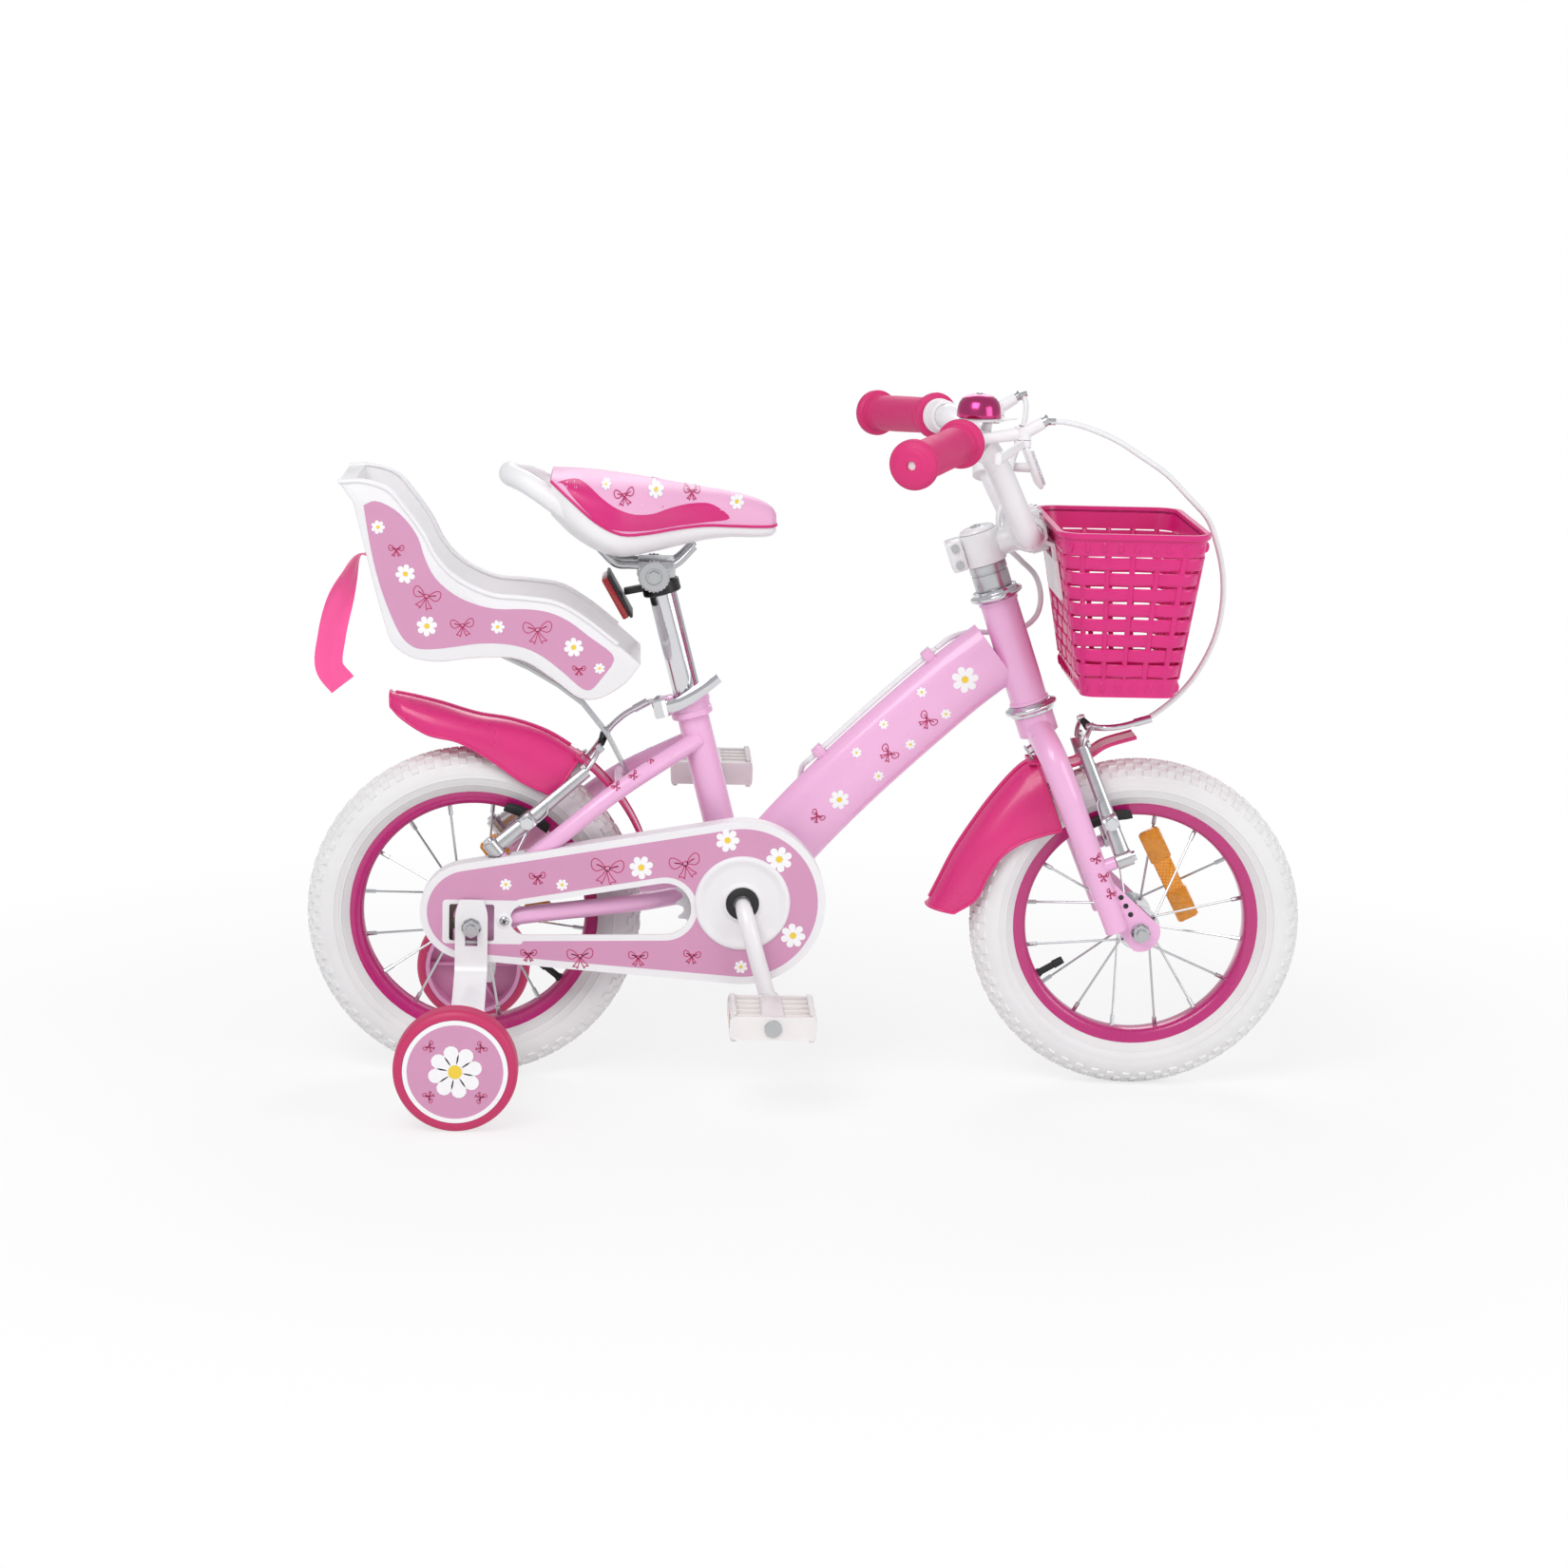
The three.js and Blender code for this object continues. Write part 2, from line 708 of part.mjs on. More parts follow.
function rim(axle) {
  const half = rimWidth / 2;
  const floor = rimRadius - rimWell;
  const profile = [
    [rimInnerRadius, half * 0.7],
    [rimRadius, half],
    [floor, half - rimWall],
  ];
  const other = profile.map(([radius, y]) => [radius, -y]).reverse();
  return turned([...profile, ...other, profile[0]], axle, sideways, wheelSides);
}

const spoke = { flangeRadius: 17, lead: 26 * radians, startAngle: 9 * radians };

const spokeReach = rimInnerRadius * Math.cos(Math.PI / wheelSides) - seatGap;

function spokeEnds(axle, index, flangeOffset) {
  const side = index % 2 === 0 ? 1 : -1;
  const sweepSide = index % 4 < 2 ? 1 : -1;
  const angle = spoke.startAngle + (index * turn) / spokeCount;
  const inner = angle + sweepSide * spoke.lead;
  const polar = (radius, a, y) => at(axle.x + radius * Math.sin(a), y, axle.z + radius * Math.cos(a));
  return [polar(spoke.flangeRadius, inner, side * flangeOffset), polar(spokeReach, angle, side * spokeRadius)];
}

function hubAndSpokes(axle, flangeOffset) {
  const bore = axleRadius + 3 * seatGap;
  const barrel = ring(axle, sideways, bore, hubBarrelRadius, -flangeOffset, flangeOffset, 8);
  const flanges = [-1, 1].map((side) => {
    const near = side * flangeOffset;
    const [from, to] = [near - hubFlangeThickness / 2, near + hubFlangeThickness / 2];
    return ring(axle, sideways, bore, hubFlangeRadius, from, to, 8);
  });
  const spokes = [];
  for (let i = 0; i < spokeCount; i++) {
    const [start, end] = spokeEnds(axle, i, flangeOffset);
    spokes.push(rod(start, end, spokeRadius, 3));
  }
  return join(barrel, flanges, spokes);
}

function valve(axle, angle) {
  const outward = at(Math.sin(angle), 0, Math.cos(angle));
  const start = axle.clone().addScaledVector(outward, rimInnerRadius - seatGap);
  return pin(start, outward, -valveLength, valveRadius, 8);
}

// Amber bar held between the two layers of spokes, by lugs that reach the spokes it passes.
const reflectorBar = { length: 94, width: 18, thickness: 6, lug: 7 };

function wheelReflector(axle, flangeOffset, centreX, centreZ, slopeDegrees) {
  const along = at(Math.cos(slopeDegrees * radians), 0, Math.sin(slopeDegrees * radians));
  const centre = axle.clone().add(at(centreX, 0, centreZ));
  const across = at(-along.z, 0, along.x);
  const bar = block(centre, at(reflectorBar.length, reflectorBar.thickness, reflectorBar.width), along, across);
  const lugs = [];
  for (let i = 0; i < spokeCount; i++) {
    const [start, end] = spokeEnds(axle, i, flangeOffset);
    const step = end.clone().sub(start);
    const share = centre.clone().sub(start).dot(across) / step.dot(across);
    const crossing = mix(start, end, share);
    const offAlong = crossing.clone().sub(centre).dot(along);
    const inside = Math.abs(offAlong) < reflectorBar.length / 2 - reflectorBar.lug;
    if (!inside || share < 0 || share > 1) continue;
    const side = Math.sign(crossing.y);
    const slant = Math.abs(step.y / step.dot(across)) * (reflectorBar.lug / 2);
    const reach = Math.abs(crossing.y) - spokeRadius - seatGap - slant;
    if (reach < reflectorBar.thickness / 2) continue;
    const middle = at(crossing.x, (side * reach) / 2, crossing.z);
    lugs.push(block(middle, at(reflectorBar.lug, reach, reflectorBar.lug), along, across));
  }
  return join(bar, lugs);
}

function nut(centre, direction, from) {
  const start = centre.clone().addScaledVector(direction, from);
  return pin(start, direction, nutThickness, nutWidth / Math.sqrt(3), 6);
}

function axleSet(axle, hubWidth, outer) {
  const shaft = rod(axle.clone().add(at(0, -outer, 0)), axle.clone().add(at(0, outer, 0)), axleRadius, 8);
  const parts = [shaft];
  for (const side of [-1, 1]) {
    const direction = at(0, side, 0);
    const nutFrom = outer - axleStub - nutThickness;
    parts.push(nut(axle, direction, nutFrom));
    const washerFrom = nutFrom - washerThickness;
    parts.push(pin(axle.clone().addScaledVector(direction, washerFrom), direction, washerThickness, nutWidth / 2 + 2 * runningGap, 8));
    const coneFrom = hubWidth / 2 - seatGap;
    parts.push(rod(
      axle.clone().addScaledVector(direction, coneFrom),
      axle.clone().addScaledVector(direction, coneFrom - nutThickness / 2),
      axleRadius + 2 * runningGap,
      6,
    ));
  }
  return join(parts);
}

const trainerFace = guardFace + guardWall;

function rearAxleSet() {
  const outer = trainerFace + bracketThickness + seatGap + washerThickness + nutThickness + axleStub;
  const base = axleSet(rearAxle, rearHubWidth, outer);
  const spacers = [-1, 1].map((side) => {
    const from = rearHubWidth / 2 + dropoutThickness + seatGap;
    const direction = at(0, side, 0);
    return pin(rearAxle.clone().addScaledVector(direction, from), direction, trainerFace - seatGap - from, nutWidth / 2 + runningGap, 8);
  });
  return join(base, spacers);
}

// Drive

function pitchRadius(teeth) {
  return chainPitch / (2 * Math.sin(Math.PI / teeth));
}

function toothedDisc(axle, teeth, bore) {
  const tip = pitchRadius(teeth) + toothHeight;
  const root = pitchRadius(teeth) - chainHeight / 2 - seatGap;
  const points = [];
  const step = turn / teeth;
  for (let i = 0; i < teeth; i++) {
    for (const [share, radius] of [[0, root], [0.5, tip]]) {
      const angle = (i + share) * step;
      points.push([axle.x + radius * Math.cos(angle), axle.z + radius * Math.sin(angle)]);
    }
  }
  const hub = rod(at(axle.x, -chainLine - overrun, axle.z), at(axle.x, -chainLine + overrun, axle.z), bore, 10);
  const body = plate(outline(points), -chainLine - toothThickness / 2, -chainLine + toothThickness / 2);
  return cut(body, hub);
}

const chainringHole = { count: 5, radius: 10, ringRadius: 31 };

function chainring() {
  const holes = [];
  for (let i = 0; i < chainringHole.count; i++) {
    const angle = (i * turn) / chainringHole.count;
    const x = crankAxle.x + chainringHole.ringRadius * Math.cos(angle);
    const z = crankAxle.z + chainringHole.ringRadius * Math.sin(angle);
    holes.push(rod(at(x, -chainLine - overrun, z), at(x, -chainLine + overrun, z), chainringHole.radius, 8));
  }
  return cut(toothedDisc(crankAxle, chainringTeeth, crankRadius + 3 * seatGap), holes);
}

const freewheel = { bodyRadius: 19, bodyWidth: 12 };

function rearSprocket() {
  const bore = axleRadius + 3 * runningGap;
  const body = ring(
    rearAxle,
    sideways,
    bore,
    freewheel.bodyRadius,
    -chainLine - toothThickness / 2,
    -chainLine - toothThickness / 2 + freewheel.bodyWidth,
    14,
  );
  return join(toothedDisc(rearAxle, sprocketTeeth, bore), body);
}

function chain() {
  const half = chainHeight / 2;
  const [big, small] = [pitchRadius(chainringTeeth), pitchRadius(sprocketTeeth)];
  const width = chainOuterWidth / 2;
  const loop = (offset, reach) => plate(
    beltShape(rearAxle, small + offset, crankAxle, big + offset),
    -chainLine - reach,
    -chainLine + reach,
    9,
  );
  const grooves = [[crankAxle, big], [rearAxle, small]].map(([axle, radius]) => {
    const side = toothThickness / 2 + seatGap;
    const reach = radius + toothHeight + seatGap * 3;
    return rod(at(axle.x, -chainLine - side, axle.z), at(axle.x, -chainLine + side, axle.z), reach, 20);
  });
  return cut(loop(half, width), loop(-half, width + overrun), grooves);
}

const crankDown = at(Math.sin(crankTurnDegrees * radians), 0, -Math.cos(crankTurnDegrees * radians));
const crankShape = { elbow: 22, elbowOffset: 81, eyeRadius: 11, eyeHalf: 7 };
const pedalSpindleRadius = 4.8;

function crankEye(side) {
  const sign = side < 0 ? 1 : -1;
  return crankAxle.clone().addScaledVector(crankDown, sign * crankLength).setY(side * crankArmOffset);
}

function crank() {
  const shell = bracketShellWidth / 2;
  const points = [];
  for (const side of [-1, 1]) {
    const sign = side < 0 ? 1 : -1;
    const half = [
      crankEye(side),
      crankAxle.clone().addScaledVector(crankDown, sign * crankShape.elbow).setY(side * crankShape.elbowOffset),
      crankAxle.clone().setY(side * guardFace),
      crankAxle.clone().setY(side * (guardFace - guardDepth)),
      crankAxle.clone().setY(side * (shell - overrun)),
    ];
    points.push(...(side < 0 ? half : half.reverse()));
  }
  const body = sweep(points, crankRadius, crankRadius, 7, 18);
  const eyes = [-1, 1].map((side) => {
    const centre = crankEye(side);
    const reach = at(0, crankShape.eyeHalf, 0);
    return rod(centre.clone().sub(reach), centre.clone().add(reach), crankShape.eyeRadius, 8);
  });
  const holes = [-1, 1].map((side) => {
    const centre = crankEye(side);
    const reach = at(0, crankShape.eyeHalf + overrun, 0);
    return rod(centre.clone().sub(reach), centre.clone().add(reach), pedalSpindleRadius + 2 * seatGap, 8);
  });
  return cut(join(body, eyes), holes);
}

function bearingCup(side) {
  const shell = bracketShellWidth / 2;
  const inner = crankRadius + runningGap;
  const profile = [
    [inner, side * (shell - overrun)],
    [bracketBore - seatGap, side * (shell - overrun)],
    [bracketBore - seatGap, side * (shell + seatGap)],
    [bracketShellRadius - runningGap, side * (shell + seatGap)],
    [bracketShellRadius - runningGap * 2, side * (shell + overrun / 2)],
    [inner, side * (shell + overrun / 2)],
    [inner, side * (shell - overrun)],
  ];
  return turned(profile, crankAxle, sideways, 12);
}

const pedal = { gap: 2, wall: 5, bossRadius: 9, ribCount: 2, noseShare: 0.62, reflectorLength: 30, reflectorHeight: 12 };

function pedalBody(side) {
  const centre = crankEye(side);
  const from = crankArmOffset + crankShape.eyeHalf + pedal.gap;
  const middle = centre.clone().setY(side * (from + pedalLength / 2));
  const [depth, height, length] = [pedalDepth / 2, pedalHeight / 2, pedalLength];
  const shares = [[-1, -0.4], [-1, 0.4], [-pedal.noseShare, 1], [pedal.noseShare, 1], [1, 0.4], [1, -0.4]];
  shares.push([pedal.noseShare, -1], [-pedal.noseShare, -1]);
  const section = outline(shares.map(([x, z]) => [middle.x + x * depth, middle.z + z * height]));
  const body = plate(section, side * from, side * (from + length));
  const window = at((depth * 2 - pedal.wall * 4 - pedal.bossRadius * 2) / 2, length - pedal.wall * 3, pedalHeight + overrun);
  const windows = [];
  for (const x of [-1, 1]) {
    windows.push(block(middle.clone().add(at(x * (pedal.bossRadius + window.x / 2), 0, 0)), window));
  }
  const bar = block(middle, at(depth * 2 - pedal.wall * 2, length - pedal.wall * 2, pedalHeight));
  const spindle = rod(
    centre.clone().setY(side * (crankArmOffset - crankShape.eyeHalf)),
    centre.clone().setY(side * (from + pedal.wall)),
    pedalSpindleRadius,
    8,
  );
  return join(cut(join(body, bar), windows), spindle);
}

// Chain guard

const guardRear = { back: 2.3, lift: 13 };
const guardWindow = { left: 20, right: 20, top: 20, bottom: 13.5 };
const guardSlot = { rearX: -253, rearZ: 157.5, rearRadius: 14, frontX: -129, frontZ: 169.5, frontRadius: 23.5 };
const guardDish = { hole: 13, innerRadius: 35, outerRadius: 42, height: 2.5 };
const guardBoss = { x: -270, z: 156.5, radius: 4 };

function guardCentres() {
  return [at(rearAxle.x - guardRear.back, 0, rearAxle.z + guardRear.lift), crankAxle];
}

function chainGuard() {
  const [rear, front] = guardCentres();
  const outside = beltShape(rear, guardRearRadius, front, guardFrontRadius);
  const inside = beltShape(rear, guardRearRadius - guardWall, front, guardFrontRadius - guardWall);
  const body = plate(outside, -guardFace, -guardFace + guardDepth, 8);
  const hollow = plate(inside, -guardFace + guardWall, -guardFace + guardDepth + overrun, 8);
  const axleWindow = block(
    at(rearAxle.x + (guardWindow.right - guardWindow.left) / 2, -guardFace, rearAxle.z + (guardWindow.top - guardWindow.bottom) / 2),
    at(guardWindow.left + guardWindow.right, guardWall * 3, guardWindow.top + guardWindow.bottom),
  );
  const slot = plate(
    beltShape(
      at(guardSlot.rearX, 0, guardSlot.rearZ),
      guardSlot.rearRadius,
      at(guardSlot.frontX, 0, guardSlot.frontZ),
      guardSlot.frontRadius,
    ),
    -guardFace - overrun,
    -guardFace + overrun,
    5,
  );
  const dish = ring(
    crankAxle,
    sideways,
    guardDish.innerRadius,
    guardDish.outerRadius,
    -guardFace - guardDish.height,
    -guardFace + guardWall / 2,
    14,
  );
  const crankHole = rod(crankAxle.clone().setY(-guardFace - overrun), crankAxle.clone().setY(-guardFace + overrun), guardDish.hole, 14);
  const bossFrom = -stayOffset - stayRadius - seatGap;
  const boss = rod(
    at(guardBoss.x, bossFrom, guardBoss.z),
    at(guardBoss.x, -guardFace - runningGap, guardBoss.z),
    guardBoss.radius,
    8,
  );
  const clearance = stayRadius + runningGap;
  const bossFoot = mirrorPoint(seatStayCentre(rearBossShare));
  const stays = [
    pin(bossFoot, stayNormal, brake.studLength + runningGap, brake.sleeveRadius + runningGap * 2, 8),
    sweep(seatStayPath.map((p) => p.clone().setY(-p.y)), clearance, clearance, 6, 5),
    sweep(chainStayPath.map((p) => p.clone().setY(-p.y)), clearance, clearance, 6, 5),
  ];
  const shell = cut(body, hollow, axleWindow, slot, crankHole, stays);
  return join(shell, dish, boss);
}

// Fenders: a row is [x, z of the crown, x, z of the edge, half width], in shares of the fender's size.

function fenderShell(rows, wall, columns) {
  const outer = [];
  const inner = [];
  for (const { top, edge, halfWidth } of rows) {
    const row = [];
    const rowInner = [];
    for (let c = 0; c <= columns; c++) {
      const angle = Math.PI * (c / columns);
      const across = Math.cos(angle);
      const rise = Math.sin(angle) ** 0.7;
      const point = mix(edge, top, rise).setY(halfWidth * across);
      const innerPoint = mix(edge, top, rise * (1 - wall / Math.max(wall * 3, edge.distanceTo(top))));
      row.push(point);
      rowInner.push(innerPoint.setY((halfWidth - wall) * across));
    }
    outer.push(row);
    inner.push(rowInner);
  }
  return shellBetween(outer, inner);
}

// A curved strip that follows a circle about an axle.
function tongue(axle, [radius, endRadius], wall, halfWidth, [fromDegrees, toDegrees], steps) {
  const rowAt = (r, angle) => [-1, 1].map((side) =>
    at(axle.x + r * Math.cos(angle), side * halfWidth, axle.z + r * Math.sin(angle)));
  const outer = [];
  const inner = [];
  for (let i = 0; i <= steps; i++) {
    const angle = (fromDegrees + ((toDegrees - fromDegrees) * i) / steps) * radians;
    const reach = THREE.MathUtils.lerp(radius, endRadius, i / steps);
    outer.push(rowAt(reach, angle));
    inner.push(rowAt(reach - wall, angle));
  }
  return shellBetween(outer, inner);
}

const rearFender = {
  wall: 2.2,
  length: 172,
  height: 88,
  back: 378,
  low: 263,
  halfWidth: 30,
  tongueRadius: 174,
  tongueEndRadius: 168,
  tongueHalfWidth: 18,
  tongueFrom: 58.5,
  tongueTo: 22,
  rowShares: [
    [0, 1, 0.005, 0.87, 0.5],
    [0.08, 0.975, 0.06, 0.78, 0.8],
    [0.25, 0.9, 0.2, 0.62, 0.97],
    [0.45, 0.79, 0.36, 0.55, 1],
    [0.64, 0.73, 0.53, 0.37, 1],
    [0.82, 0.61, 0.7, 0.14, 0.97],
    [1, 0.4, 0.86, 0, 0.93],
  ],
};

function fenderRows(spec, place) {
  return spec.rowShares.map(([topX, topZ, edgeX, edgeZ, width]) => ({
    top: place(topX, topZ),
    edge: place(edgeX, edgeZ),
    halfWidth: spec.halfWidth * width,
  }));
}

function rearFenderSolid() {
  const place = (x, z) => at(-rearFender.back + x * rearFender.length, 0, rearFender.low + z * rearFender.height);
  const shell = fenderShell(fenderRows(rearFender, place), rearFender.wall, 5);
  const strip = tongue(
    rearAxle,
    [rearFender.tongueRadius, rearFender.tongueEndRadius],
    rearFender.wall,
    rearFender.tongueHalfWidth,
    [rearFender.tongueFrom, rearFender.tongueTo],
    6,
  );
  const outward = bridgeCentre.clone().sub(rearAxle).normalize();
  const from = rearAxle.clone().addScaledVector(outward, rearFender.tongueEndRadius);
  const to = bridgeCentre.clone().addScaledVector(outward, -bridge.radius - seatGap);
  return join(shell, strip, rod(from, to, brake.padBoltRadius, 8));
}

const frontFender = {
  wall: 2.2,
  length: 118,
  height: 142,
  back: 110,
  low: 160,
  halfWidth: 30,
  tongueHalfWidth: 17,
  tongueShares: [[0.74, 0.989], [0.92, 0.98], [1.08, 0.977], [1.2, 1.03], [1.32, 1.1], [1.556, 1.165]],
  mountRadius: 5,
  postLow: -58,
  postHigh: -37.3,
  rowShares: [
    [0, 0.03, 0.2, 0, 0.72],
    [0.08, 0.17, 0.36, 0.1, 0.86],
    [0.2, 0.38, 0.45, 0.26, 0.95],
    [0.34, 0.57, 0.56, 0.4, 1],
    [0.5, 0.76, 0.7, 0.48, 1],
    [0.68, 0.93, 0.86, 0.53, 1],
    [0.8, 1, 1, 0.56, 0.98],
  ],
};

function frontFenderSolid() {
  const place = (x, z) => at(frontFender.back + x * frontFender.length, 0, frontFender.low + z * frontFender.height);
  const shell = fenderShell(fenderRows(frontFender, place), frontFender.wall, 5);
  const points = frontFender.tongueShares.map(([x, z]) => place(x, z)).map((p) => [p.x, p.z]);
  const half = frontFender.tongueHalfWidth;
  const strip = plate(bentStripShape(points, frontFender.wall), -half, half);
  const post = rod(
    onSteering(frontFender.postLow, 0),
    onSteering(frontFender.postHigh, 0),
    frontFender.mountRadius,
    8,
  );
  return join(shell, strip, post);
}

// Brakes: the arm stands on a stud, with its pad at the rim and its top above the tyre.

function padRise(pivot, up, axle) {
  const offset = pivot.clone().sub(axle).setY(0);
  const along = offset.dot(up);
  return -along + Math.sqrt(along ** 2 - offset.lengthSq() + brakeAxisRadius ** 2);
}

function brakeArm(foot, up, forward, axle, topOffset) {
  const pivot = foot.clone().addScaledVector(forward, brake.padSeat);
  const rise = padRise(pivot, up, axle);
  const padPoint = pivot.clone().addScaledVector(up, rise);
  const sleeveFrom = foot.clone().addScaledVector(forward, brake.bossLength + seatGap);
  const sleeveLength = brake.studLength - brake.bossLength - seatGap * 2;
  const sleeve = pin(sleeveFrom, forward, sleeveLength, brake.sleeveRadius, 8);
  const top = pivot.clone().addScaledVector(up, brake.armLength).setY(topOffset);
  const knee = padPoint.clone().setY(mix(pivot, top, 0.3).y);
  const bar = (from, to) => {
    const along = to.clone().sub(from);
    const across = forward.clone().cross(along.clone().normalize()).normalize();
    const size = at(along.length() + brake.armThickness / 2, brake.armThickness, brake.armWidth);
    return solidOf(new THREE.BoxGeometry(size.x, size.y, size.z).applyMatrix4(
      new THREE.Matrix4().makeBasis(along.clone().normalize(), across, along.clone().normalize().cross(across))
        .setPosition(mix(from, to, 1 / 2)),
    ));
  };
  const inner = rimWidth / 2 + brake.padGap;
  const padCentre = padPoint.clone().setY(inner + brake.padThickness / 2);
  const outward = padPoint.clone().sub(axle).setY(0).normalize();
  const tangent = at(outward.z, 0, -outward.x);
  const pad = block(padCentre, at(brake.padLength, brake.padThickness, brake.padHeight), tangent, outward);
  const bolt = rod(padCentre, knee.clone().add(at(0, brake.armThickness * 2, 0)), brake.padBoltRadius, 6);
  const hole = rod(
    foot.clone().addScaledVector(forward, brake.bossLength - overrun),
    foot.clone().addScaledVector(forward, brake.studLength + overrun),
    brake.studRadius + seatGap * 2,
    8,
  );
  return cut(join(sleeve, bar(pivot, knee), bar(knee, top), pad, bolt), hole);
}

function frontArm() {
  const foot = mix(leg.foot, leg.bend, frontBossShare);
  return brakeArm(foot, at(legDirection.x, 0, legDirection.z).normalize(), legForward, frontAxle, brake.frontTopOffset);
}

function rearArm() {
  return brakeArm(seatStayCentre(rearBossShare), stayDirection, stayNormal, rearAxle, brake.rearTopOffset);
}

// Handlebar, grips and levers

const barPath = {
  clampHalf: 40,
  elbow: at(184, 64, 510),
  riserLow: at(172, 78, 533),
  riserHigh: at(144, 93, 586),
  bend: at(127, 106, 599),
  end: at(65.4, barHalfWidth, 588.8),
  straightFromShare: 0.05,
};
const gripDirection = barPath.end.clone().sub(barPath.bend).normalize();
const gripLength = 126;
const gripEndCap = 6;
const barEnd = barPath.end.clone().addScaledVector(gripDirection, -gripEndCap);

function barPoints() {
  const centre = onSteering(stem.barUp, stem.barForward);
  const half = [
    centre.clone().setY(stem.clampWidth / 2 + runningGap),
    centre.clone().setY(barPath.clampHalf),
    barPath.elbow,
    barPath.riserLow,
    barPath.riserHigh,
    barPath.bend,
    mix(barPath.bend, barEnd, barPath.straightFromShare),
    mix(barPath.bend, barEnd, 1 / 2),
    barEnd,
  ];
  return [...half.map((p) => p.clone().setY(-p.y)).reverse(), centre, ...half];
}

function handlebar() {
  return sweep(barPoints(), barRadius, barRadius, 9, 32);
}

// The place and direction of the bar's centre line at a distance to the left of the middle, above the elbow.
function onBar(left) {
  const path = new THREE.CatmullRomCurve3(barPoints(), false, "centripetal");
  let [low, high] = [0, 1];
  for (let i = 0; i < 30; i++) {
    const middle = (low + high) / 2;
    if (path.getPoint(middle).y < left) low = middle;
    else high = middle;
  }
  return { point: path.getPoint(low), along: path.getTangent(low) };
}

function grip() {
  const inner = barRadius + 2 * seatGap;
  const gripStart = barPath.end.clone().addScaledVector(gripDirection, -gripLength);
  const lip = gripFlangeRadius;
  const neck = gripRadius;
  const profile = [
    [inner, 0],
    [lip, lip * 0.1],
    [lip * 0.92, lip * 0.5],
    [neck, lip * 0.85],
    [neck, gripLength - lip * 0.95],
    [lip, gripLength - lip * 0.45],
    [lip * 0.7, gripLength],
    [0, gripLength + lip * 0.16],
    [0, gripLength - gripEndCap + seatGap],
    [inner, gripLength - gripEndCap + seatGap],
    [inner, 0],
  ];
  return turned(profile, gripStart, gripDirection, 12);
}

const perch = {
  along: 15.5,
  halfWidth: 5.5,
  wall: 3.5,
  pivot: at(170, 118, 606),
  barrel: at(187, 121, 616),
  height: 11,
  width: 8,
  headRadius: 7,
  barrelRadius: 6,
  cableBore: 2.9,
};
const leverShape = { radius: 7.5, thickness: 6, gap: 0.4, pinRadius: 2.5, bladeRadius: 5 };
const leverPath = [at(166, 140, 597), at(156, 166, 595), at(147, 186, 592), at(141, 199, 591)];

function leverPerch() {
  const seat = barPath.bend.clone().addScaledVector(gripDirection, perch.along);
  const outer = barRadius + perch.wall;
  const clamp = turned(
    [
      [barRadius + runningGap, -perch.halfWidth],
      [outer, -perch.halfWidth],
      [outer, perch.halfWidth],
      [barRadius + runningGap, perch.halfWidth],
      [barRadius + runningGap, -perch.halfWidth],
    ],
    seat,
    gripDirection,
    12,
  );
  const reach = perch.pivot.clone().sub(seat);
  const forward = reach.clone().normalize();
  const from = seat.clone().addScaledVector(forward, outer - perch.wall / 4);
  const middle = mix(from, perch.pivot, 1 / 2);
  const across = forward.clone().cross(gripDirection).normalize();
  const arm = block(middle, at(from.distanceTo(perch.pivot), perch.width, perch.height * 0.7), forward, across);
  const head = pin(perch.pivot.clone().add(at(0, 0, -perch.height / 2)), at(0, 0, 1), perch.height, perch.headRadius, 8);
  const barrel = rod(perch.pivot, perch.barrel, perch.barrelRadius, 8);
  const pivotPin = pin(perch.pivot, at(0, 0, -1), perch.height / 2 + leverShape.gap + leverShape.thickness, leverShape.pinRadius, 6);
  const bore = rod(
    seat.clone().addScaledVector(gripDirection, -perch.halfWidth * 3),
    seat.clone().addScaledVector(gripDirection, perch.halfWidth * 3),
    barRadius + runningGap,
    12,
  );
  return join(clamp, cut(arm, bore), head, barrel, pivotPin);
}

function brakeLever() {
  const top = perch.pivot.z - perch.height / 2 - leverShape.gap;
  const disk = pin(at(perch.pivot.x, perch.pivot.y, top), at(0, 0, -1), leverShape.thickness, leverShape.radius, 10);
  const root = at(perch.pivot.x, perch.pivot.y + leverShape.radius / 2, top - leverShape.thickness / 2);
  const blade = sweep([root, ...leverPath], leverShape.thickness / 2, leverShape.bladeRadius, 6, 7);
  const hole = pin(perch.pivot, at(0, 0, -1), perch.height + leverShape.thickness * 2, leverShape.pinRadius + 2 * seatGap, 6);
  return cut(join(disk, blade), hole);
}

const bell = {
  centre: at(133, -102, 614.5),
  seatLeft: -98,
  footX: 144,
  footY: -93,
  domeRadius: 19,
  domeHeight: 20,
  wall: 1.5,
  baseRadius: 17,
  baseThickness: 3,
  lift: seatGap,
  stemRadius: 4,
  clampHalf: 4,
  leverLength: 15,
  leverWidth: 8,
  leverThickness: 3,
};

// The bar's own path, a little wider, that a clamp is bored with.
function barBore() {
  return sweep(barPoints(), barRadius + seatGap, barRadius + seatGap, 9, 32);
}

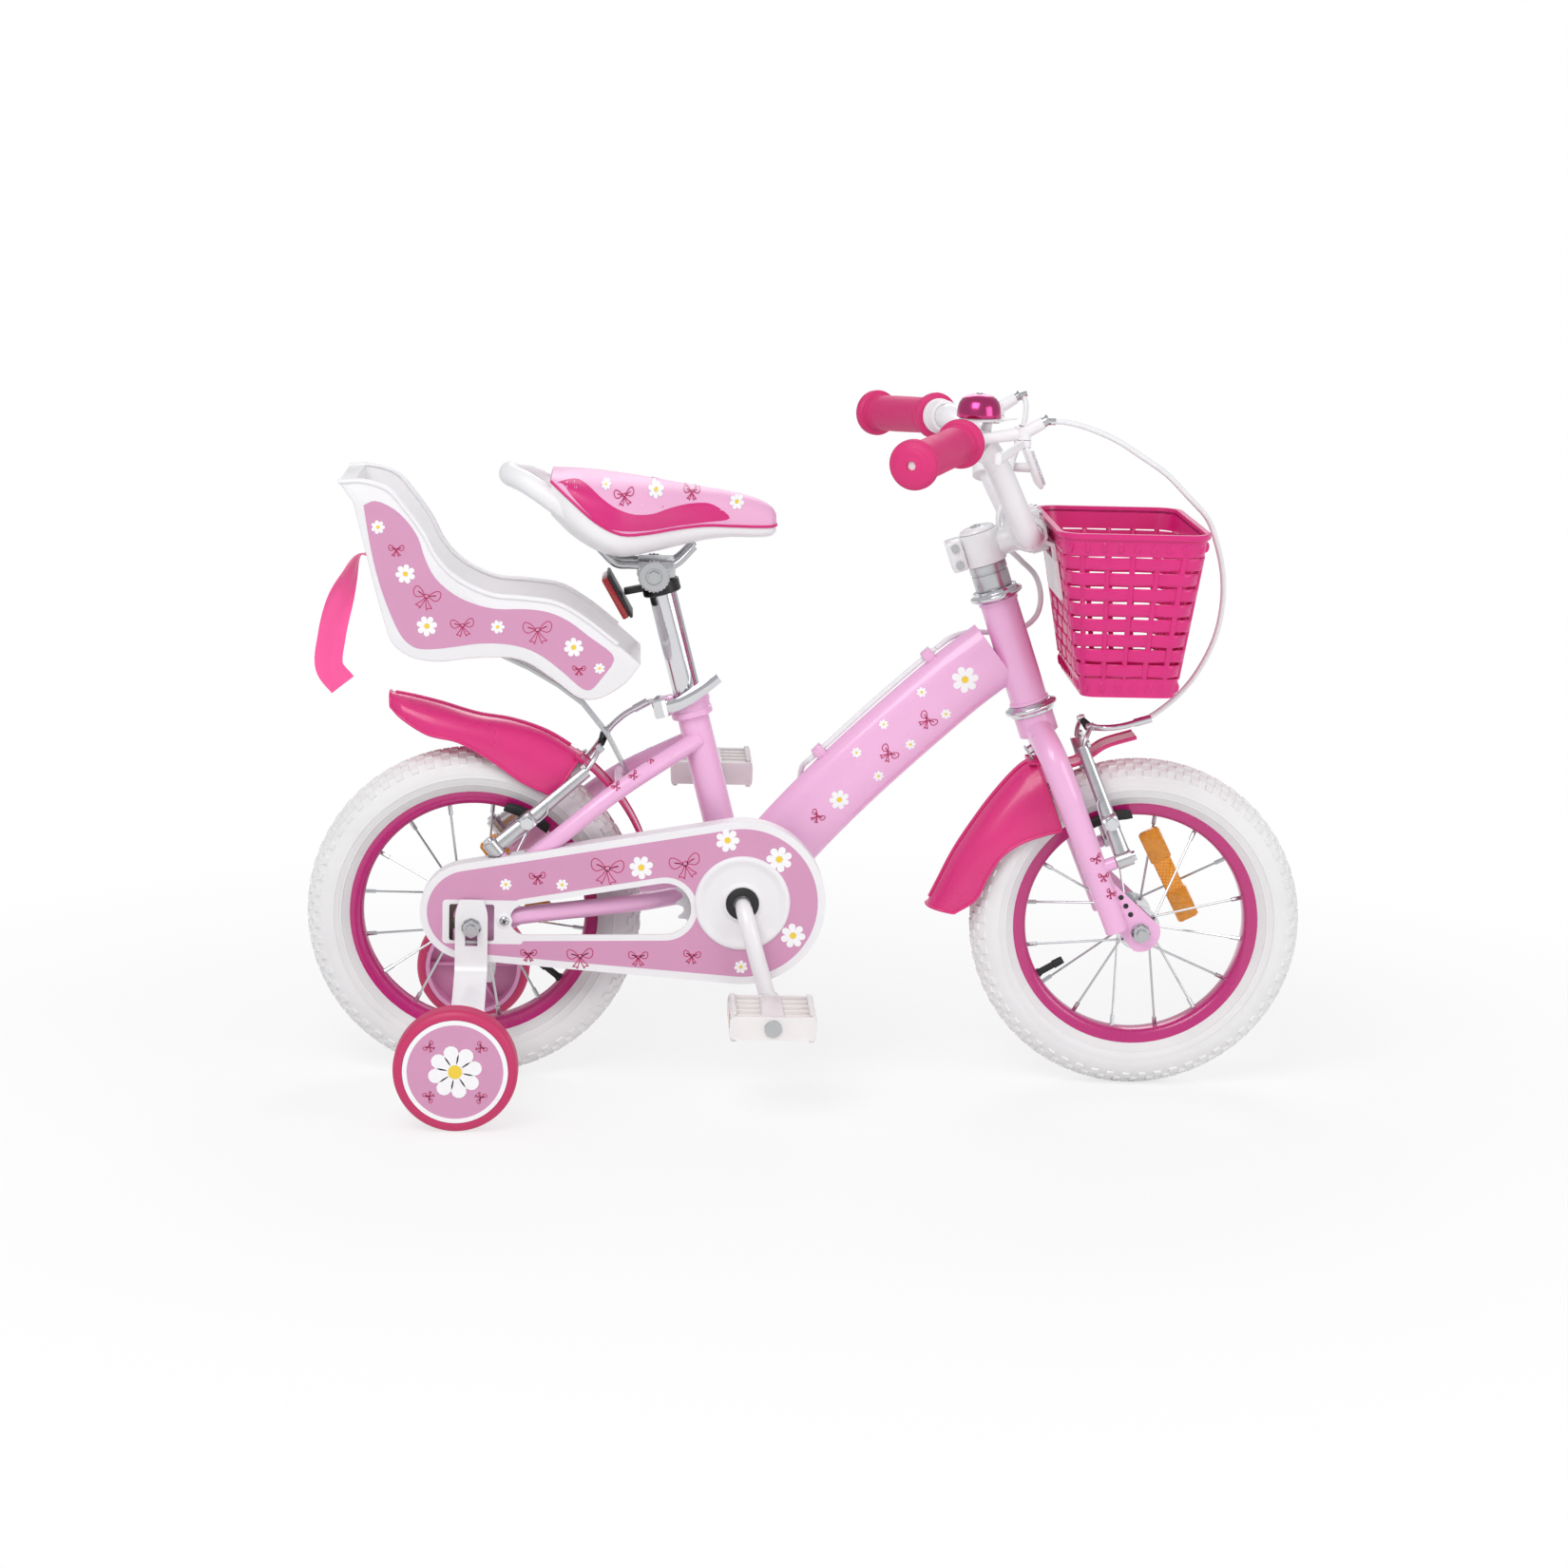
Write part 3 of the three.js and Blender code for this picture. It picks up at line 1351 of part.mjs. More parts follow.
function bellBase() {
  const seat = onBar(bell.seatLeft);
  const up = at(0, 0, 1);
  const outer = barRadius + perch.wall;
  const clamp = rod(
    seat.point.clone().addScaledVector(seat.along, -bell.clampHalf),
    seat.point.clone().addScaledVector(seat.along, bell.clampHalf),
    outer,
    12,
  );
  const outward = up.clone().addScaledVector(seat.along, -seat.along.z).normalize();
  const side = seat.point.clone().addScaledVector(outward, outer - perch.wall / 2);
  const foot = rod(side, at(bell.footX, bell.footY, bell.centre.z + bell.baseThickness / 2), bell.stemRadius, 8);
  const base = pin(bell.centre, up, bell.baseThickness, bell.baseRadius, 12);
  const post = pin(bell.centre, up, bell.domeHeight, bell.stemRadius, 6);
  return cut(join(clamp, foot, base, post), barBore());
}

function mirrorPoint(p) {
  return p.clone().setY(-p.y);
}

function bellDome() {
  const { domeRadius: r, domeHeight: h, wall } = bell;
  const base = bell.centre.clone().add(at(0, 0, bell.baseThickness + bell.lift));
  const profile = [
    [r, 0],
    [r, h * 0.62],
    [r * 0.66, h * 0.96],
    [0, h],
    [0, h - wall],
    [r * 0.6, h * 0.96 - wall],
    [r - wall, h * 0.6],
    [r - wall, 0],
    [r, 0],
  ];
  return turned(profile, base, at(0, 0, 1), 12);
}

// Front reflector on the left riser

const frontReflector = { seatLeft: 85, armRadius: 4, width: 44, height: 36, depth: 7, tiltDegrees: 22, clampHalf: 5, reach: 42 };

function frontReflectorBracket() {
  const seat = onBar(frontReflector.seatLeft);
  const onRiser = seat.point;
  const outer = barRadius + perch.wall;
  const clamp = rod(
    onRiser.clone().addScaledVector(seat.along, -frontReflector.clampHalf),
    onRiser.clone().addScaledVector(seat.along, frontReflector.clampHalf),
    outer,
    12,
  );
  const forward = at(1, 0, 0);
  const arm = pin(onRiser.clone().addScaledVector(forward, outer - perch.wall / 2), forward, frontReflector.reach - outer - frontReflector.depth, frontReflector.armRadius, 8);
  const tilt = frontReflector.tiltDegrees * radians;
  const face = at(Math.cos(tilt), 0, Math.sin(tilt));
  const centre = onRiser.clone().addScaledVector(forward, frontReflector.reach);
  const lens = block(centre, at(frontReflector.depth, frontReflector.width, frontReflector.height), face, at(-face.z, 0, face.x));
  const joinBlock = rod(onRiser.clone().addScaledVector(forward, frontReflector.reach - frontReflector.depth * 2), centre, frontReflector.armRadius, 8);
  return cut(join(clamp, arm, joinBlock, lens), barBore());
}

// Basket

const basket = {
  topBack: 208,
  topFront: 340,
  topHalf: 108,
  topZ: 519,
  bottomBack: 234,
  bottomFront: 318,
  bottomHalf: 88,
  bottomZ: 372,
  wall: 3,
  cornerShare: 0.16,
  slotRows: 4,
  slotHeight: 14,
  rimBand: 22,
  baseBand: 20,
  postWidth: 12,
  rimLip: 2,
};

function basketRing(share, inset) {
  const back = THREE.MathUtils.lerp(basket.bottomBack, basket.topBack, share) + inset;
  const front = THREE.MathUtils.lerp(basket.bottomFront, basket.topFront, share) - inset;
  const half = THREE.MathUtils.lerp(basket.bottomHalf, basket.topHalf, share) - inset;
  const z = THREE.MathUtils.lerp(basket.bottomZ, basket.topZ, share);
  const corner = (front - back) * basket.cornerShare;
  const ringPoints = [];
  const corners = [[front, -half, 0], [front, half, 1], [back, half, 2], [back, -half, 3]];
  for (const [x, y, index] of corners) {
    const centreX = x - Math.sign(x - (front + back) / 2) * corner;
    const centreY = y - Math.sign(y) * corner;
    for (const step of [0, 1, 2]) {
      const angle = ((index - 1) * Math.PI) / 2 + (step * Math.PI) / 4;
      ringPoints.push(at(centreX + corner * Math.cos(angle), centreY + corner * Math.sin(angle), z));
    }
  }
  return ringPoints;
}

function basketSlots() {
  const cutters = [];
  const height = basket.topZ - basket.bottomZ;
  const field = height - basket.rimBand - basket.baseBand;
  for (let row = 0; row < basket.slotRows; row++) {
    const z = basket.bottomZ + basket.baseBand + (field * (row + 1 / 2)) / basket.slotRows;
    const share = (z - basket.bottomZ) / height;
    const back = THREE.MathUtils.lerp(basket.bottomBack, basket.topBack, share);
    const front = THREE.MathUtils.lerp(basket.bottomFront, basket.topFront, share);
    const half = THREE.MathUtils.lerp(basket.bottomHalf, basket.topHalf, share);
    const corner = (front - back) * basket.cornerShare;
    const sideCount = 2;
    const sideWidth = (front - back - 2 * corner) / sideCount - basket.postWidth / 2;
    for (let i = 0; i < sideCount; i++) {
      const x = back + corner + ((front - back - 2 * corner) * (i + 1 / 2)) / sideCount;
      cutters.push(block(at(x, 0, z), at(sideWidth, half * 2 + overrun, basket.slotHeight)));
    }
    const faceCount = 3;
    const faceWidth = (2 * half - 2 * corner) / faceCount - basket.postWidth / 2;
    for (let i = 0; i < faceCount; i++) {
      const y = -half + corner + ((2 * half - 2 * corner) * (i + 1 / 2)) / faceCount;
      cutters.push(block(at((front + back) / 2, y, z), at(front - back + overrun, faceWidth, basket.slotHeight)));
    }
  }
  return cutters;
}

function basketSolid() {
  const outer = loft([basketRing(0, 0), basketRing(1, 0)]);
  const floorShare = basket.wall / (basket.topZ - basket.bottomZ);
  const above = 1 + overrun / (basket.topZ - basket.bottomZ);
  const inner = loft([basketRing(floorShare, basket.wall), basketRing(above, basket.wall)]);
  const bandShare = 1 - basket.rimBand / 3 / (basket.topZ - basket.bottomZ);
  const lip = loft([basketRing(bandShare, -basket.rimLip), basketRing(1, -basket.rimLip)]);
  return cut(join(outer, lip), inner, basketSlots());
}

const hook = {
  offset: 33,
  halfWidth: 6,
  wall: 3.5,
  boardLow: 452,
  boardHigh: 487,
  boardHalfWidth: 45,
  thickness: 3,
  armReach: 8,
};

function basketBracket() {
  const barCentre = onSteering(stem.barUp, stem.barForward);
  const wallUp = at(basket.topBack - basket.bottomBack, 0, basket.topZ - basket.bottomZ).normalize();
  const outward = at(-wallUp.z, 0, wallUp.x);
  const onWall = (z) => {
    const share = (z - basket.bottomZ) / (basket.topZ - basket.bottomZ);
    const x = THREE.MathUtils.lerp(basket.bottomBack, basket.topBack, share);
    return at(x, 0, z).addScaledVector(outward, seatGap * 1.5 + hook.thickness / 2);
  };
  const strip = (low, high, y, halfWidth) => block(
    mix(onWall(low), onWall(high), 1 / 2).setY(y),
    at(hook.thickness, halfWidth * 2, onWall(low).distanceTo(onWall(high))),
    outward,
    wallUp,
  );
  const inner = barRadius + 2 * seatGap;
  const board = strip(hook.boardLow, hook.boardHigh, 0, hook.boardHalfWidth);
  const arms = [-1, 1].map((side) => {
    const y = side * hook.offset;
    const [from, to] = [y - hook.halfWidth, y + hook.halfWidth];
    const clamp = ring(barCentre, sideways, inner, inner + hook.wall, from, to, 12);
    const low = hook.boardHigh - hook.thickness;
    const high = barCentre.z - hook.armReach;
    const foot = onWall(high).setY(y);
    const rim = barCentre.clone().setY(y).addScaledVector(onWall(high).sub(barCentre).normalize(), inner + hook.wall / 2);
    const link = block(mix(foot, rim, 1 / 2), at(foot.distanceTo(rim), hook.halfWidth * 2, hook.wall), foot.clone().sub(rim).normalize(), foot.clone().sub(rim).normalize().cross(sideways));
    return join(clamp, strip(low, high + hook.thickness / 2, y, hook.halfWidth), link);
  });
  const bore = rod(
    barCentre.clone().setY(-hook.boardHalfWidth - overrun),
    barCentre.clone().setY(hook.boardHalfWidth + overrun),
    inner,
    12,
  );
  return cut(join(board, arms), bore);
}

// Doll seat

const dollSeat = {
  back: 422,
  low: 357,
  length: 267.6,
  height: 190,
  halfWidth: 70,
  wall: 3.5,
  floorShare: 0.86,
  lipHalf: 3.5,
  bowlShares: [
    [0.053, 0.9], [0.154, 0.353], [0.184, 0.242], [0.24, 0.184], [0.326, 0.163],
    [0.457, 0.184], [0.602, 0.179], [0.711, 0.09], [0.804, 0], [0.868, 0.005], [0.95, 0.079], [0.999, 0.169],
  ],
  rimShares: [
    [0.92, 0.263], [0.812, 0.379], [0.722, 0.448], [0.621, 0.469], [0.502, 0.484], [0.389, 0.558],
    [0.326, 0.648], [0.281, 0.764], [0.221, 0.879], [0.165, 0.964], [0.083, 1], [0.005, 0.995],
  ],
};

function dollPoint([x, z]) {
  return [-dollSeat.back + x * dollSeat.length, dollSeat.low + z * dollSeat.height];
}

// Extrudes an outline across the seat, drawn in a little towards the floor.
function flared(points, half) {
  const depth = half * 2;
  const geometry = new THREE.ExtrudeGeometry(outline(points), { depth, bevelEnabled: false });
  const frame = new THREE.Matrix4().makeBasis(at(1, 0, 0), at(0, 0, 1), at(0, 1, 0)).setPosition(at(0, -half, 0));
  geometry.applyMatrix4(frame);
  const place = geometry.getAttribute("position");
  for (let i = 0; i < place.count; i++) {
    const rise = (place.getZ(i) - dollSeat.low) / dollSeat.height;
    place.setY(i, place.getY(i) * (dollSeat.floorShare + (1 - dollSeat.floorShare) * rise));
  }
  return solidOf(geometry);
}

function insetPath(points, distance) {
  return points.map(([x, z], i) => {
    const before = points[Math.max(i - 1, 0)];
    const after = points[Math.min(i + 1, points.length - 1)];
    const along = new THREE.Vector2(after[0] - before[0], after[1] - before[1]).normalize();
    return [x - along.y * distance, z + along.x * distance];
  });
}

function dollSeatSolid() {
  const bowl = dollSeat.bowlShares.map(dollPoint);
  const rimLine = dollSeat.rimShares.map(dollPoint);
  const body = flared([...bowl, ...rimLine], dollSeat.halfWidth);
  const floor = insetPath(bowl, dollSeat.wall);
  const lifted = rimLine.slice(0, -1).map(([x, z]) => [x + dollSeat.lipHalf, z + dollSeat.height / 4]);
  const hollow = flared([...floor, ...lifted], dollSeat.halfWidth - dollSeat.wall);
  const lips = [-1, 1].map((side) => {
    const points = rimLine.map(([x, z]) => {
      const rise = (z - dollSeat.low) / dollSeat.height;
      const half = dollSeat.halfWidth * (dollSeat.floorShare + (1 - dollSeat.floorShare) * rise);
      return at(x, side * (half - dollSeat.wall / 2), z);
    });
    return sweep(points, dollSeat.lipHalf, dollSeat.lipHalf * 0.6, 4, 8);
  });
  return join(cut(body, hollow), lips);
}

// A flat strip bent along a path in the X and Z plane, given by [x, z] pairs.
function bentStripShape(points, thickness) {
  const upper = insetPath(points, thickness / 2);
  const lower = insetPath(points, -thickness / 2);
  return outline([...lower, ...upper.reverse()]);
}

const dollStrip = {
  thickness: 3,
  halfWidth: 10,
  points: [[-162.6, 272.5], [-164.6, 281], [-184, 317], [-206, 344], [-228, 360], [-254, 375], [-283, 388], [-318, 388]],
};

function dollBracket() {
  const strip = plate(bentStripShape(dollStrip.points, dollStrip.thickness), -dollStrip.halfWidth, dollStrip.halfWidth);
  return strip;
}

// Training wheels

const trainer = {
  stripTop: 176,
  elbowZ: 113,
  kneeZ: 76,
  bottomZ: 42,
  boltRadius: 4,
  boltLength: 18,
  slotWidth: 11,
  slotLow: 134,
  discRadius: 45.7,
  tyreInner: 46,
  hubRadius: 12,
  webThickness: 3,
  rimThickness: 4,
  ribCount: 6,
  ribThickness: 2.5,
  sides: 16,
  headRadius: 7,
  headHeight: 5,
};

function trainerBracket() {
  const inner = trainerOuterY - trainerWidth - bracketThickness - trainer.headHeight;
  const y0 = trainerFace + bracketThickness / 2;
  const y1 = inner + bracketThickness / 2;
  const points = [[y0, trainer.stripTop], [y0, trainer.elbowZ], [y1, trainer.kneeZ], [y1, trainer.bottomZ]];
  const shape = bentStripShape(points, bracketThickness);
  const geometry = new THREE.ExtrudeGeometry(shape, { depth: bracketWidth, bevelEnabled: false });
  geometry.applyMatrix4(
    new THREE.Matrix4().makeBasis(at(0, 1, 0), at(0, 0, 1), at(1, 0, 0)).setPosition(at(trainerX - bracketWidth / 2 + (rearAxle.x - trainerX), 0, 0)),
  );
  const strip = solidOf(geometry);
  const slotTop = rod(
    rearAxle.clone().setY(trainerFace - overrun),
    rearAxle.clone().setY(trainerFace + bracketThickness + overrun),
    trainer.slotWidth / 2,
    8,
  );
  const slot = block(
    at(rearAxle.x, trainerFace + bracketThickness / 2, (rearAxle.z + trainer.slotLow) / 2),
    at(trainer.slotWidth, bracketThickness * 3, rearAxle.z - trainer.slotLow),
  );
  const wheelInner = trainerOuterY - trainerWidth;
  const axlePoint = at(trainerX, 0, trainerRadius);
  const bolt = rod(
    axlePoint.clone().setY(inner - trainer.headHeight),
    axlePoint.clone().setY(wheelInner + trainer.boltLength),
    trainer.boltRadius,
    8,
  );
  const head = rod(axlePoint.clone().setY(inner - trainer.headHeight), axlePoint.clone().setY(inner + bracketThickness / 2), trainer.headRadius, 6);
  const collar = rod(axlePoint.clone().setY(inner + bracketThickness / 2), axlePoint.clone().setY(wheelInner - seatGap), trainer.headRadius, 8);
  return join(cut(strip, slotTop, slot), bolt, head, collar);
}

function trainerTyre() {
  const [inner, outer] = [trainerOuterY - trainerWidth, trainerOuterY];
  const shoulder = (trainerRadius - trainer.tyreInner) / 2;
  const profile = [
    [trainer.tyreInner, inner],
    [trainerRadius, inner + shoulder / 2],
    [trainerRadius, outer - shoulder / 2],
    [trainer.tyreInner, outer],
    [trainer.tyreInner, inner],
  ];
  return turned(profile, at(trainerX, 0, trainerRadius), sideways, trainer.sides);
}

function trainerDisc() {
  const [inner, outer] = [trainerOuterY - trainerWidth, trainerOuterY - runningGap];
  const origin = at(trainerX, 0, trainerRadius);
  const bore = trainer.boltRadius + seatGap;
  const boreEnd = inner + trainer.boltLength + seatGap;
  const outerRadius = trainer.discRadius;
  const profile = [
    [0, boreEnd],
    [bore, boreEnd],
    [bore, inner],
    [trainer.hubRadius, inner],
    [trainer.hubRadius, outer - trainer.webThickness],
    [outerRadius - trainer.rimThickness, outer - trainer.webThickness],
    [outerRadius - trainer.rimThickness, inner + runningGap],
    [outerRadius, inner + runningGap],
    [outerRadius, outer],
    [0, outer],
  ];
  const body = turned(profile, origin, sideways, trainer.sides);
  const ribs = [];
  for (let i = 0; i < trainer.ribCount; i++) {
    const angle = (i * turn) / trainer.ribCount;
    const outward = at(Math.cos(angle), 0, Math.sin(angle));
    const from = trainer.hubRadius - runningGap;
    const length = outerRadius - trainer.rimThickness - from + runningGap;
    const depth = trainerWidth / 2;
    const centre = origin.clone().addScaledVector(outward, from + length / 2).setY(outer - depth / 2);
    const across = at(-outward.z, 0, outward.x);
    ribs.push(block(centre, at(length, depth, trainer.ribThickness), outward, across));
  }
  return join(body, ribs);
}

// Saddle

const saddle = {
  back: 236,
  length: 200,
  halfWidth: 68,
  low: 479,
  height: 75,
  ringPoints: 6,
  handleRadius: 9.5,
  // [distance forward, half width, underside, seam, crown]
  rowShares: [
    [0, 0.74, 0.46, 0.92, 0.99],
    [0.09, 0.93, 0.24, 0.72, 1],
    [0.2, 1, 0.07, 0.48, 0.99],
    [0.31, 0.96, 0, 0.34, 0.96],
    [0.43, 0.78, 0.05, 0.34, 0.92],
    [0.55, 0.58, 0.12, 0.38, 0.87],
    [0.68, 0.43, 0.2, 0.41, 0.82],
    [0.8, 0.34, 0.24, 0.4, 0.77],
    [0.91, 0.27, 0.24, 0.39, 0.7],
    [0.98, 0.2, 0.26, 0.39, 0.6],
    [1, 0.12, 0.31, 0.4, 0.52],
  ],
};

function halfRing(x, halfWidth, seam, reach, power) {
  const points = [];
  for (let i = 0; i < saddle.ringPoints; i++) {
    const angle = (Math.PI * i) / (saddle.ringPoints - 1);
    points.push(at(x, halfWidth * Math.cos(angle), seam + (reach - seam) * Math.sin(angle) ** power));
  }
  return points;
}

function saddleBody(pick) {
  return loft(saddle.rowShares.map((row) => {
    const [forward, width, under, seam, crown] = row;
    const x = -saddle.back + forward * saddle.length;
    const z = (share) => saddle.low + share * saddle.height;
    return pick(x, width * saddle.halfWidth, z(under), z(seam), z(crown));
  }));
}

function saddlePad() {
  return saddleBody((x, half, under, seam, crown) => halfRing(x, half, seam + seatGap, crown, 0.62));
}

const seatTop = { railRadius: 3.5, railOffset: 20, clampLow: 460, clampHigh: 477.5, railZ: 472, railSpan: 52, railX: -152, clampHalf: 24, clampLength: 34, postTop: 474, earRadius: 8.5 };

// The two rails under the saddle, which run through the clamp on the seatpost.
function rails(radius) {
  const middle = seatTop.railX;
  return [-1, 1].map((side) => {
    const y = side * seatTop.railOffset;
    const half = seatTop.railSpan / 2;
    const rise = seatTop.railSpan / 3;
    const low = [at(middle - half, y, seatTop.railZ), at(middle + half, y, seatTop.railZ)];
    const high = [at(middle - half - rise, y, seatTop.railZ + rise), at(middle + half + rise, y, seatTop.railZ + rise)];
    return join(rod(low[0], low[1], radius, 5), rod(high[0], low[0], radius, 5), rod(low[1], high[1], radius, 5));
  });
}

function saddleBase() {
  const body = saddleBody((x, half, under, seam) => halfRing(x, half, seam, under, 0.5));
  const handle = [
    at(-206, -50, 510),
    at(-232, -46, 529),
    at(-258, -36, 545),
    at(-272, -16, 549),
    at(-274, 0, 549.5),
  ];
  const loop = [...handle, ...handle.slice(0, -1).map((p) => p.clone().setY(-p.y)).reverse()];
  return join(body, sweep(loop, saddle.handleRadius, saddle.handleRadius, 7, 8), rails(seatTop.railRadius));
}

function seatpost() {
  const topUp = (seatTop.postTop - crankZ) / seatUp.z;
  const post = rod(onSeatTube(seatTubeLength - 90), onSeatTube(topUp), seatpostRadius, 14);
  const top = onSeatTube(topUp);
  const clampMiddle = at(top.x - seatTop.clampLength / 8, 0, (seatTop.clampLow + seatTop.clampHigh) / 2);
  const clamp = block(clampMiddle, at(seatTop.clampLength, seatTop.clampHalf * 2, seatTop.clampHigh - seatTop.clampLow));
  const ear = rod(
    clampMiddle.clone().add(at(-seatTop.clampLength / 2, -seatTop.clampHalf - seatTop.railRadius, 0)),
    clampMiddle.clone().add(at(-seatTop.clampLength / 2, seatTop.clampHalf + seatTop.railRadius, 0)),
    seatTop.earRadius,
    8,
  );
  return cut(join(post, clamp, ear), rails(seatTop.railRadius + 2 * seatGap));
}

const collar = { height: 18, wall: 4.5, earLength: 16, earHalf: 11, boltRadius: 5 };

function seatCollar() {
  const from = seatTubeLength;
  const outer = seatTubeRadius + collar.wall;
  const body = ring(seatFoot, seatUp, seatTubeRadius + 2 * seatGap, outer, from, from + collar.height, 12);
  const middle = onSeatTube(seatTubeLength + collar.height / 2, -outer - collar.earLength / 2 + collar.wall);
  const forward = at(seatUp.z, 0, -seatUp.x);
  const ear = block(middle, at(collar.earLength, collar.earHalf * 2, collar.height * 0.9), forward, seatUp);
  const bore = rod(onSeatTube(from - overrun), onSeatTube(from + collar.height + overrun), seatTubeRadius + 2 * seatGap, 12);
  return cut(join(body, ear), bore);
}

const lever = { barrelRadius: 7, barrelHeight: 15, thickness: 4, bladeWidth: 12, offset: 21, reach: 52 };

function quickRelease() {
  const outer = seatTubeRadius + collar.wall;
  const pivot = onSeatTube(seatTubeLength + collar.height / 2, -outer - collar.earLength / 2, -collar.earHalf - lever.barrelRadius - seatGap);
  const half = lever.barrelHeight / 2;
  const barrel = rod(pivot.clone().addScaledVector(seatUp, -half), pivot.clone().addScaledVector(seatUp, half), lever.barrelRadius, 10);
  const forward = at(seatUp.z, 0, -seatUp.x);
  const points = [
    pivot.clone(),
    pivot.clone().addScaledVector(forward, lever.reach * 0.3).add(at(0, -lever.barrelRadius * 0.7, 1)),
    pivot.clone().addScaledVector(forward, lever.reach * 0.7).add(at(0, -lever.barrelRadius * 0.7, 9)),
    pivot.clone().addScaledVector(forward, lever.reach).add(at(0, -lever.barrelRadius * 0.2, 17)),
  ];
  return join(barrel, sweep(points, lever.thickness / 2, lever.bladeWidth / 2, 6, 6));
}

const rearReflector = {
  up: 278,
  height: 12,
  wall: 3,
  armRadius: 4,
  lensWidth: 48,
  lensHeight: 42,
  lensDepth: 8,
  lensX: -178,
  lensZ: 442,
  tiltDegrees: 30,
};

function rearReflectorSolid() {
  const inner = seatpostRadius + 2 * seatGap;
  const top = rearReflector.up + rearReflector.height;
  const clamp = ring(seatFoot, seatUp, inner, inner + rearReflector.wall, rearReflector.up, top, 12);
  const middle = onSeatTube((rearReflector.up + top) / 2);
  const tilt = rearReflector.tiltDegrees * radians;
  const back = at(-Math.cos(tilt), 0, -Math.sin(tilt));
  const centre = at(rearReflector.lensX, 0, rearReflector.lensZ);
  const reach = centre.clone().sub(middle).normalize();
  const arm = rod(middle.clone().addScaledVector(reach, inner + rearReflector.wall / 2), centre, rearReflector.armRadius, 8);
  const size = at(rearReflector.lensDepth, rearReflector.lensWidth, rearReflector.lensHeight);
  const lens = block(centre, size, back.clone().negate(), at(-back.z, 0, back.x).negate());
  return join(clamp, arm, lens);
}

// Cables. Their routes are lists of places chosen by hand along the real cable.

const cableRadius = 2.5;
const frontCablePoints = [
  at(188.5, -121.2, 617), at(206, -120, 616.5), at(225, -117, 612), at(252, -112, 601), at(275, -105, 587),
  at(299, -97, 571), at(320, -89, 551), at(340, -79, 530), at(350, -70, 508), at(358, -59, 482),
  at(361, -50, 455), at(358, -43, 425), at(349, -38, 399), at(335, -34, 375), at(316, -31, 355),
  at(297, -30, 342), at(277, -29, 336), at(262, -26, 334), at(250, -14, 333),
];
const rearCableFrontPoints = [
  at(189.3, 121.5, 617.5), at(193.5, 122, 618.5), at(197, 119, 611), at(192, 100, 585), at(182, 76, 561), at(174, 58, 534),
  at(168, 47, 512), at(173, 42, 492), at(188, 36, 477), at(202, 29, 463), at(207, 26, 445),
  at(204, 25.5, 428), at(192, 26, 416), at(175, 24, 412), at(158, 20.5, 412), at(146, 16.5, 413),
  at(134, 11, 411.5), at(123, 6, 407.5), at(115, 1.8, 402.2), at(111.2, 0.2, 399.4),
];
const rearCableBackPoints = [
  at(110.2, 0, 398.7), at(105.7, 0, 394.7), at(101.2, 0, 390.7), at(84.7, 0, 376), at(68.5, 0, 361.1),
  at(47.5, 0, 341.5), at(28, 0, 322.5), at(8.3, 0, 303.5), at(3.6, 0, 298.9), at(-0.5, 0.8, 295), at(-6, 8, 287.5),
  at(-8.5, 16.5, 269), at(-15, 19.6, 251), at(-25, 19.5, 238), at(-41, 20.5, 228), at(-60, 20.5, 226),
  at(-76, 20, 236), at(-86, 19.5, 258), at(-93, 21.5, 288), at(-101, 24, 312), at(-112, 24, 334),
  at(-128, 24, 344), at(-142, 24.5, 342.5), at(-154, 26, 337.5), at(-168, 27, 329), at(-180, 27, 318),
  at(-186, 26, 311),
];

function cable(points, steps) {
  return sweep(points, cableRadius, cableRadius, 5, steps);
}

const ribbon = {
  thickness: 1,
  halfWidth: 12.5,
  points: [
    [-396, 474, 0], [-407, 474, 0.15], [-417, 452, 0.45], [-426, 424, 0.8],
    [-431, 400, 1], [-433, 372, 1], [-421, 356, 1],
  ],
};

function ribbonSolid() {
  const outer = [];
  const inner = [];
  ribbon.points.forEach(([x, z, twist], i, all) => {
    const before = all[Math.max(i - 1, 0)];
    const after = all[Math.min(i + 1, all.length - 1)];
    const along = at(after[0] - before[0], 0, after[1] - before[1]).normalize();
    const normal = at(-along.z, 0, along.x);
    const wide = sideways.clone().lerp(normal, twist).normalize().multiplyScalar(ribbon.halfWidth);
    const thin = wide.clone().normalize().cross(along).multiplyScalar(ribbon.thickness / 2);
    const centre = at(x, 0, z);
    outer.push([centre.clone().add(wide).add(thin), centre.clone().sub(wide).add(thin)]);
    inner.push([centre.clone().add(wide).sub(thin), centre.clone().sub(wide).sub(thin)]);
  });
  return shellBetween(outer, inner);
}

// Assembly

addPiece("main_frame", mainFrame(), "framePaint");
addPiece("headset_upper_cup", headsetCup(1), "steel");
addPiece("headset_lower_cup", headsetCup(-1), "steel");
addPiece("seat_collar", seatCollar(), "framePaint");
addPiece("chain_guard", chainGuard(), "dustyPink");
addPiece("rear_fender", rearFenderSolid(), "hotPink");
addPiece("doll_seat", dollSeatSolid(), "white");
addPiece("doll_seat_bracket", dollBracket(), "steel");
addPiece("doll_ribbon", ribbonSolid(), "ribbonPink");
addPiece("rear_axle", rearAxleSet(), "steel");
addPiece("bearing_cup_right", bearingCup(-1), "steel");
addPiece("bearing_cup_left", bearingCup(1), "steel");
addPiece("rear_brake_cable", cable(rearCableBackPoints, 34), "white");
addPiece("chain", chain(), "steel");

